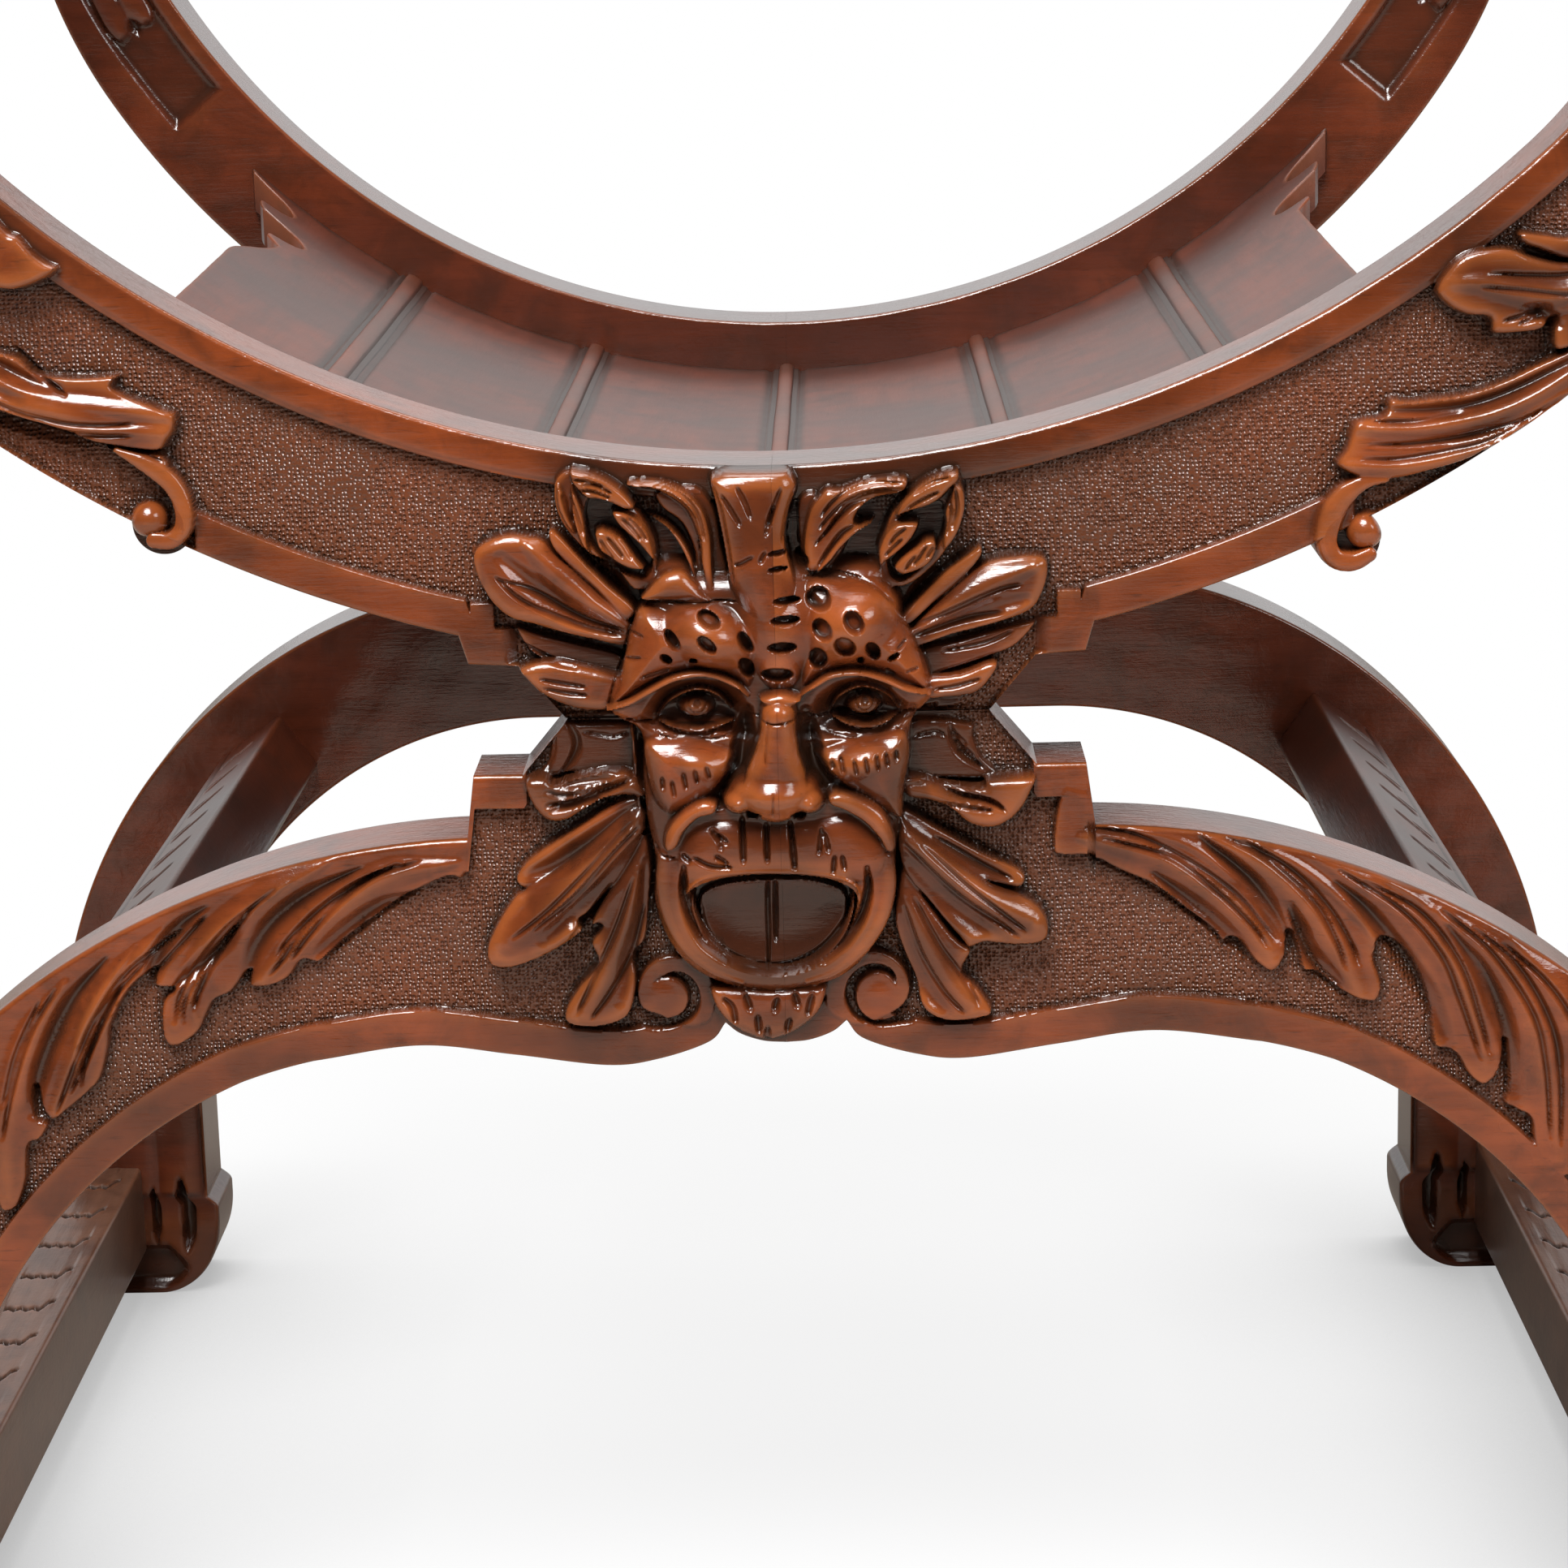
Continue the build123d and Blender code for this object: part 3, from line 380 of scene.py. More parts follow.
# edges of half an arch from the middle down to the sole: above, the waist steps, the
# crown and the outside of the leg, and below, the underside and the inside of the leg;
# they are matched by x up to the haunch, by angle around it and by height down the leg
def lowerEdges(f, underside, step):
    c = np.array([chair["haunchX"], f["haunchZ"]])
    bigR = f["haunchR"] + f["legW"]
    crown = np.radians(f["crown"])
    steps = [(x, chair["seamZ"] - up) for x, up in chair["waist"][:3]]
    steps += [(chair["waist"][3][0], steps[2][1]), (chair["waistEnd"], f["crownZ"])]
    crownAt = onCircle(c, bigR, crown, 1)
    over = arcTo(crownAt, np.array([-np.cos(crown), np.sin(crown)]), steps[-1], 60)[::-1]
    haunch = np.linspace(crown, np.pi / 2, 200)
    top = np.concatenate((straightLine(steps, 1.0), over[1:], onCircle(c, bigR, haunch, 1)[1:]))
    corners = [chair["chinEnd"][0], *(x for x, up in chair["waist"][1:]), chair["waistEnd"]]
    flat = np.unique(np.concatenate((np.arange(0, c[0], step), corners)))
    upperZ = np.interp(flat, top[:, 0], top[:, 1])
    lowerZ = np.interp(flat, underside[:, 0], underside[:, 1])
    rays = np.linspace(0, np.pi / 2, int(np.pi / 2 * (f["haunchR"] + f["legW"] / 2) / step))
    radius = []
    for line in (top, underside):
        past = line[line[:, 0] > c[0] - 8]
        turn = np.arctan2(past[:, 0] - c[0], past[:, 1] - c[1])
        radius.append(np.interp(rays, turn, np.hypot(*(past - c).T)))
    legIn, legOut = c[0] + f["haunchR"], c[0] + bigR
    shin = np.linspace(c[1], chair["toeZ"], max(3, int((c[1] - chair["toeZ"]) / step)))[1:]
    toe = np.linspace(chair["toeZ"], chair["curlZ"], 12)[1:]
    bulge = chair["lip"] * np.sin(np.pi / 2 * np.clip((chair["toeZ"] - toe) / 5.5, 0, 1))
    curl = np.linspace(0, np.pi / 2, 26)[1:]
    curlZ = chair["curlZ"] * (1 - np.sin(curl))
    soleIn = legIn + chair["soleIn"] - (chair["soleIn"] + chair["lip"]) * np.cos(curl)
    soleOut = legOut - chair["soleOut"] + (chair["soleOut"] + chair["lip"]) * np.cos(curl)
    drop = np.concatenate((shin, toe, curlZ))
    footOut = np.concatenate((legOut + 0 * shin, legOut + bulge, soleOut))
    footIn = np.concatenate((legIn + 0 * shin, legIn - bulge, soleIn))
    outer = np.concatenate((
        np.stack((flat, upperZ), 1), onCircle(c, radius[0][:, None], rays[:, None], 1)[:, 0],
        np.stack((footOut, drop), 1),
    ))
    inner = np.concatenate((
        np.stack((flat, lowerZ), 1), onCircle(c, radius[1][:, None], rays[:, None], 1)[:, 0],
        np.stack((footIn, drop), 1),
    ))
    return outer, inner


# lower edge of the front arch: chin, cusp, dip and crest, then the haunch
def frontUnderside():
    c = np.array([chair["haunchX"], frontFrame["haunchZ"]])
    r = frontFrame["haunchR"]
    end = chair["chinEnd"]
    chin = smoothLine([(0, 246.5), (8, 247.2), (16, 250), end], 30)
    cyma = smoothLine([end, (27, 247.2), (45, 241.3), (63, 239.5), (95, 244), (128, 248), (165, 243.2)], 160)
    haunch = onCircle(c, r, np.linspace(np.radians(23), np.pi / 2, 220), 1)
    return np.concatenate((chin, cyma[1:], haunch))


# lower edge of the back arch: level in the middle, then the haunch
def backUnderside():
    c = np.array([chair["haunchX"], backFrame["haunchZ"]])
    haunch = onCircle(c, backFrame["haunchR"], np.linspace(0, np.pi / 2, 240), 1)
    return np.concatenate(([[0, haunch[0, 1]]], haunch))


# carving, in millimetres on the front face, with heights over that face
# form: outline, edge height, crown, shoulder; hollow: the same, sunk into what is there
# strap: line, half-widths, edge height, crown; lump: centre, half-axes, turn, height,
# power, blend; pits: depth, then centre, half-axes and turn of each; cuts: half-width,
# depth, lines; swell: height, half-widths, lines
archRight = {
    "body": ("form", ((93, 314.4), (97.3, 311.2), (106.3, 310.8), (116.3, 305), (127.6, 300.1), (138.8, 290.7),
    (147.8, 283.5), (151.4, 279.1), (154.6, 280.3), (157.9, 278.4), (161.3, 273.4), (166.8, 268.7), (170.6, 269.4),
    (173.5, 274.7), (174.4, 283.2), (177.3, 275.2), (178.5, 269.9), (179.9, 268.1), (183.9, 267.2), (192.6, 260.5),
    (200.7, 257), (205.2, 257.3), (206.8, 263.4), (204.2, 271.7), (204.4, 275.8), (206.2, 279.4), (213, 275.5),
    (218.5, 266.9), (222.7, 255.3), (223.7, 245.4), (225.1, 239.9), (231.7, 237.8), (236.6, 229.7), (242.1, 225.6),
    (246.8, 229.2), (249.2, 236.3), (249.6, 241.5), (251, 225.8), (249.3, 219.1), (253.9, 216.2), (258.5, 213.2),
    (259.8, 204.1), (264.3, 196.1), (270.3, 191.6), (274.6, 193.4), (276.2, 202.5), (276.9, 213.3), (288.8, 220.2),
    (285.7, 255.8), (269.5, 272.6), (251.3, 285.9), (228.6, 299.2), (206.1, 311.3), (172.4, 324.8), (138.9, 332.4),
    (105.3, 334.3), (96.4, 334.5)), -0.2, 0.5, 1.2),
    "valleys": ("swell", -3.6, (0.9, 2.9, 3.8, 3.8, 2.9), (((142.2, 318.5), (156.8, 305.4), (165.8, 293.6),
    (171.5, 283), (174.4, 277.1)), ((190.5, 300), (201.8, 289.3), (213.2, 273.9), (223.6, 257.2), (229.4, 240.5)),
    ((228.8, 284), (240.3, 267.4), (248.5, 249.5), (252.2, 232.9), (252.9, 218.6)), ((174.8, 293.4), (178.2, 284),
    (181.6, 274.6), (189.6, 265), (193, 261.4)), ((127.6, 304.9), (138.8, 295.4), (146.7, 288.2), (153.4, 281.6),
    (160.2, 275)))),
    "ridges": ("swell", 2.5, (1.8, 5.1, 5.8, 5.1, 2.7), (((102.9, 317.9), (127.5, 312.2), (147.7, 299.5),
    (161.2, 285.8), (168.9, 272.2)), ((143.2, 318.2), (165.6, 306.7), (182.6, 290), (192.8, 273.4), (199.1, 259.2)),
    ((183.6, 308.6), (209.5, 294.1), (227.7, 275), (237, 254.8), (242.7, 233.4)), ((225.2, 290.2), (248, 269.9),
    (259.7, 247.2), (264.6, 225.8), (268.6, 198.2)), ((251.3, 278), (266.3, 258.9), (274.6, 238.6), (279.6, 214.7)))),
    "folds": ("swell", 1.4, (0.7, 1.8, 2.2, 1.8, 0.9), (((119.7, 321), (138.7, 314.8), (156.7, 302.2), (167.9, 289.2),
    (173, 279.7)), ((161.1, 316), (179.1, 305.2), (192.6, 293.3), (201.7, 282.6), (204.6, 274.3)), ((200.4, 304.7),
    (218.5, 293.9), (233.3, 278.4), (242.5, 261.8), (247.9, 245.1)))),
    "veins": ("cuts", 0.75, 2.3, (((110.7, 317.5), (133.1, 310.6), (149.9, 297.5), (161.2, 285.8), (166.9, 277.7)),
    ((104.6, 321.2), (121.9, 318.1), (141, 308.1), (156.7, 295.8), (165.7, 284.6), (169.6, 279.6)), ((150.8, 317.9),
    (166.8, 308.7), (182.5, 293.5), (190.5, 279.3), (193.9, 269.4)), ((156.7, 316.6), (174.6, 305.1), (188.2, 290.6),
    (196.1, 276.9), (198.4, 270.7)), ((191.2, 304.7), (212.9, 290), (226.6, 273.8), (233.6, 257.2), (240.9, 235.8)),
    ((200.4, 300.6), (219.6, 288.7), (233.4, 270.2), (240.5, 250), (244, 237.4)), ((227.5, 289), (244.6, 273.4),
    (258.5, 252), (263.4, 233), (265.7, 206.4)), ((237.9, 282.7), (253.7, 268.3), (265.4, 247.1), (268.9, 226.9),
    (269.2, 204)), ((247.9, 276.9), (262.8, 263.4), (273.3, 246.9), (278.3, 225.5)))),
    "edges": ("cuts", 0.6, 1.4, (((106.2, 310.6), (127.5, 299.4), (146.6, 284.7)), ((173, 293.7), (178.3, 280.8),
    (183.8, 270.1), (192.4, 262.4)))),
}
archLeft = {
    "body": ("form", ((-109, 309.6), (-114.8, 308.6), (-121.5, 306), (-130.6, 301.4), (-139.8, 295.2),
    (-150.2, 287.8), (-160.7, 279.1), (-163.8, 278.9), (-167.3, 279.7), (-171.7, 274), (-177.9, 270.9),
    (-184.6, 270.4), (-186.3, 271.8), (-185.8, 276.4), (-189.7, 271.9), (-192.5, 268.7), (-198, 266.2),
    (-200.8, 261.7), (-204.5, 254.8), (-211.5, 250), (-216, 250.1), (-217.7, 255), (-217.5, 263.2), (-215.8, 267.8),
    (-212.5, 270.6), (-218.7, 271.3), (-219.2, 275.1), (-218.6, 277.6), (-225.8, 272.7), (-231.7, 264.4),
    (-235.1, 256.6), (-236.3, 249.6), (-239.4, 239.2), (-244, 233.9), (-252.4, 227), (-258.2, 223.6), (-261.5, 228.6),
    (-263.2, 236.2), (-263.5, 225.6), (-259.2, 222.4), (-262.8, 216.4), (-266.5, 215), (-267.7, 207.9), (-268.3, 202),
    (-271.7, 193.1), (-275.3, 190.3), (-278.6, 191.1), (-280.3, 198.7), (-280.6, 210.6), (-290.1, 220.3),
    (-284.4, 267), (-260.4, 289.6), (-225.8, 308.4), (-191.6, 322.4), (-158, 329.6), (-124.6, 334.6),
    (-107.8, 336.4)), -0.2, 0.5, 1.2),
    "valleys": ("swell", -3.6, (0.9, 2.8, 3.7, 3.7, 2.6), (((-145.6, 312.3), (-161.6, 304.6), (-174.3, 295.7),
    (-182.6, 285.6), (-186.6, 274.1)), ((-199.6, 299.8), (-208.9, 293.1), (-216.2, 284), (-219.3, 276),
    (-220.2, 272.5)), ((-235.3, 282.1), (-247.3, 268.5), (-256.3, 252.4), (-262, 238.5), (-264.3, 226.8)),
    ((-126.1, 303.8), (-139.7, 298.4), (-153.5, 288.4), (-162.8, 280.5)), ((-212.5, 271.2), (-200.7, 281.4),
    (-186.6, 294.9)))),
    "ridges": ("swell", 2.5, (1.5, 5, 5.6, 5, 2.4), (((-112.2, 313.8), (-136.8, 309.5), (-157.4, 296.8),
    (-171.5, 283.3), (-181.5, 273.1)), ((-156.5, 315.1), (-178.2, 303), (-194.4, 290.7), (-204.2, 275.9),
    (-212.6, 257.6)), ((-215.6, 291.2), (-232.3, 273.1), (-242.3, 257.1), (-248.8, 243.2), (-256.7, 226.9)),
    ((-250.2, 273.5), (-263.2, 255.2), (-270.1, 236.6), (-274.2, 217.9), (-275.3, 195.4)))),
    "folds": ("swell", 1.4, (0.7, 1.7, 2.2, 1.7, 0.9), (((-170.1, 308.5), (-188.5, 296.3), (-200.4, 283.9),
    (-206.7, 272.5), (-205.3, 258.6)), ((-224.7, 286.8), (-236.9, 270.9), (-244.6, 257.1), (-247.6, 245.5),
    (-247.1, 236.1)))),
    "veins": ("cuts", 0.75, 2.2, (((-132.1, 314.1), (-148.1, 305.7), (-164.3, 293.3), (-172.6, 282.2),
    (-178.4, 275.4)), ((-138.9, 311.2), (-152.7, 301.3), (-164.5, 288.9), (-170.5, 281)), ((-125.5, 314.4),
    (-143.5, 309.1), (-159.5, 299.1), (-171.2, 287.9), (-176, 281.1)), ((-174.7, 306.1), (-190.9, 294.1),
    (-202.8, 280.5), (-210.3, 268), (-212.5, 258.7)), ((-181.6, 301.2), (-193.5, 288.4), (-203, 277.1),
    (-208.8, 265.6), (-209.5, 258.7)), ((-188.7, 292.9), (-197.2, 281.6), (-203.5, 270.1), (-206.1, 263.2)),
    ((-208.9, 291), (-227.6, 277.6), (-241, 259.4), (-248.8, 243.2), (-256, 226.9)), ((-220.6, 282.1), (-235, 266.2),
    (-242.8, 250.1), (-250.6, 233.9)), ((-230.1, 273), (-239, 257), (-245.3, 243.1), (-247.1, 236.1)),
    ((-253.7, 271.2), (-263.7, 255.2), (-270.7, 236.6), (-275.4, 217.9)), ((-259.6, 266.7), (-268.7, 248.3),
    (-274.5, 229.7)), ((-218, 276.9), (-211.6, 283.6), (-199.7, 296.6)))),
}
armRight = {
    "topSwirl": ("form", ((248.9, 521.4), (257.5, 520.6), (266.1, 519.9), (277.8, 526.6), (288.3, 537),
    (294.9, 530.4), (286.6, 517.8), (276, 511.6), (265.2, 511.3), (255.4, 514.8), (250, 517.1)), 0, 3, 2.5),
    "upperLeaf": ("form", ((238.9, 516.6), (246.4, 516.4), (254, 513.4), (265.9, 511.2), (278.7, 515), (290.3, 524.3),
    (299.2, 513.4), (288.7, 500.7), (276, 493.5), (261.9, 492.7), (256.6, 488.5), (248, 487.4), (240.4, 487.8),
    (238.8, 492.8), (231.7, 493.9), (225.1, 497.3), (221.2, 503), (226, 510.9), (231.3, 515)), 1.6, 4, 3),
    "redLobe": ("form", ((261.1, 493.1), (266.2, 495.8), (277, 498.8), (284.6, 496.5), (277.2, 486.9), (266.5, 482.2),
    (260.7, 482.5)), 2, 3, 2.5),
    "mainLeaf": ("form", ((188.9, 445.6), (192.1, 450.5), (194.5, 458.2), (197.5, 460.5), (204.7, 461.7),
    (206.8, 467.1), (212.7, 466.5), (220.3, 467.2), (231.2, 468.3), (244.1, 472.3), (254.9, 477.3), (266.7, 482.7),
    (280.6, 492.1), (294.3, 504.8), (302.1, 495.9), (289.6, 478.9), (276.7, 470.4), (266, 464.1), (253.1, 456.2),
    (242.3, 450.4), (231.5, 445.2), (220.6, 442.1), (209.7, 439.5), (198.8, 439.8), (192.2, 442.4)), 1.2, 2.6, 2),
    "armRidges": ("swell", 2.4, (2.2, 3.3, 3.8, 3.8, 2.7), (((196.6, 457.4), (215.1, 457), (234.7, 459.8),
    (253.1, 466.5), (274.6, 479.1)), ((193.4, 444.8), (212, 444.4), (229.4, 447.8), (246.8, 454.6), (268.3, 468.3)),
    ((278.3, 506.1), (263.3, 501.1), (250.3, 501.4), (236.2, 505), (228.6, 505.2)))),
    "armValleys": ("swell", -3.4, (1.5, 2.7, 3.1, 2.7, 1.8), (((206.5, 463.1), (220.7, 462.8), (235.9, 464.4),
    (251, 469.7), (269.3, 479.1)), ((262.6, 490.2), (257.1, 494.6), (250.6, 495.9)))),
    "armVeins": ("cuts", 0.65, 1.8, (((200.6, 451.7), (215.2, 451.8), (231.5, 453.8), (247.8, 457.9), (266.1, 467.3)),
    ((197.8, 446.7), (209.8, 446.6), (226.1, 449.1), (241.4, 453.1), (261.8, 464.1)), ((239.2, 507.9), (252.4, 507),
    (265.3, 507.1), (278.2, 511.5)), ((236, 503.9), (248.1, 502.5), (265.5, 500.6), (277.3, 502.9)), ((243.8, 492.2),
    (250.4, 493.8), (256.9, 495.4)), ((248.9, 491.2), (256.5, 493.4)), ((198.7, 459.2), (215.1, 459.2),
    (232.5, 461.5)))),
    "stem": ("strap", ((206.4, 439.6), (198.8, 438.9), (191.8, 434.5), (187.5, 427.4), (186, 419.1), (189.1, 413.1),
    (195.1, 411.9), (200.6, 414.3)), (1.3, 2.9, 4.2, 4.6, 4.4, 4, 3.8, 3.1), 1.6, 2.4),
    "ball": ("lump", (199.6, 422.2), (6.6, 6.6), 0, 4.6, 0.42, 0.3),
}
armLeft = {
    "upperLeaf": ("form", ((-251.2, 534.2), (-247.4, 532.2), (-243, 526.8), (-238.4, 523.2), (-234.7, 521.2),
    (-238.8, 517.6), (-245.8, 514.7), (-252.6, 513.9), (-262, 517.2), (-274.9, 526.2), (-287.2, 541.7),
    (-283.3, 554.9), (-269, 552.7), (-258.2, 542.9)), 2, 4.5, 3),
    "mainLeaf": ("form", ((-217.8, 484.9), (-219.6, 481.2), (-215.6, 478.6), (-209, 475.9), (-203.3, 473.2),
    (-199.2, 471.6), (-199.2, 467.1), (-201.9, 462.3), (-205.7, 458.8), (-216.8, 460.1), (-229.3, 462.7),
    (-243.6, 468.5), (-257.9, 472.2), (-276.7, 481.6), (-293.2, 495.6), (-290.4, 507.1), (-275.3, 501),
    (-262.1, 495.2), (-250.7, 491.7), (-245.2, 486.7), (-233.7, 484.9), (-225, 484.8)), 1.2, 2.6, 2),
    "armRidges": ("swell", 2.4, (2, 3.3, 3.9, 3.9, 2.9), (((-280.7, 497.1), (-262.9, 487), (-243.2, 477.3),
    (-223.9, 473.9), (-203.6, 471.4)), ((-276.6, 486.3), (-257.8, 477.1), (-238.7, 471.3), (-219.5, 466.9),
    (-204, 465.1)))),
    "armValleys": ("swell", -3.2, (1.6, 2.9, 3.3, 2.4), (((-277.7, 500.8), (-262.7, 492.7), (-248.7, 484.6),
    (-238.2, 481.4)), ((-286.5, 487.4), (-264.1, 474.2), (-247, 467.4), (-229.7, 462.6)))),
    "armVeins": ("cuts", 0.7, 1.8, (((-280.1, 491.3), (-257.8, 476.6), (-238.8, 470.2), (-225.2, 468.5),
    (-212.6, 468.6)), ((-267.5, 477.8), (-252.4, 471.1), (-239, 466.7), (-225.5, 465), (-213.6, 464.7)),
    ((-252.7, 494.5), (-245.5, 486.6), (-239.9, 482.5), (-235.3, 478.5)))),
    "underLeaf": ("form", ((-227.6, 462.1), (-218, 459.7), (-205.9, 458.5), (-203.2, 456.6), (-202, 454.1),
    (-203.1, 451.8), (-202.1, 449.3), (-206.9, 449.5), (-213.5, 454.3), (-220.1, 458.1)), 0.5, 2, 1.6),
    "underVeins": ("cuts", 0.4, 1.2, (((-219.2, 458.9), (-213.5, 456.8), (-208.7, 455.3)), ((-215.3, 458.9),
    (-208.6, 457.2), (-204.8, 455.7)))),
    "stem": ("strap", ((-219.8, 459.7), (-210.3, 454.6), (-202.4, 448.3), (-198.5, 440.1), (-199, 432.7),
    (-203.3, 428.6), (-209, 428.8)), (1.6, 3.1, 3.9, 3.9, 3.7, 3.5, 3.3), 1.6, 2.4),
    "ball": ("lump", (-210.8, 435.5), (6.5, 6.5), 0, 4.6, 0.42, 0.3),
}
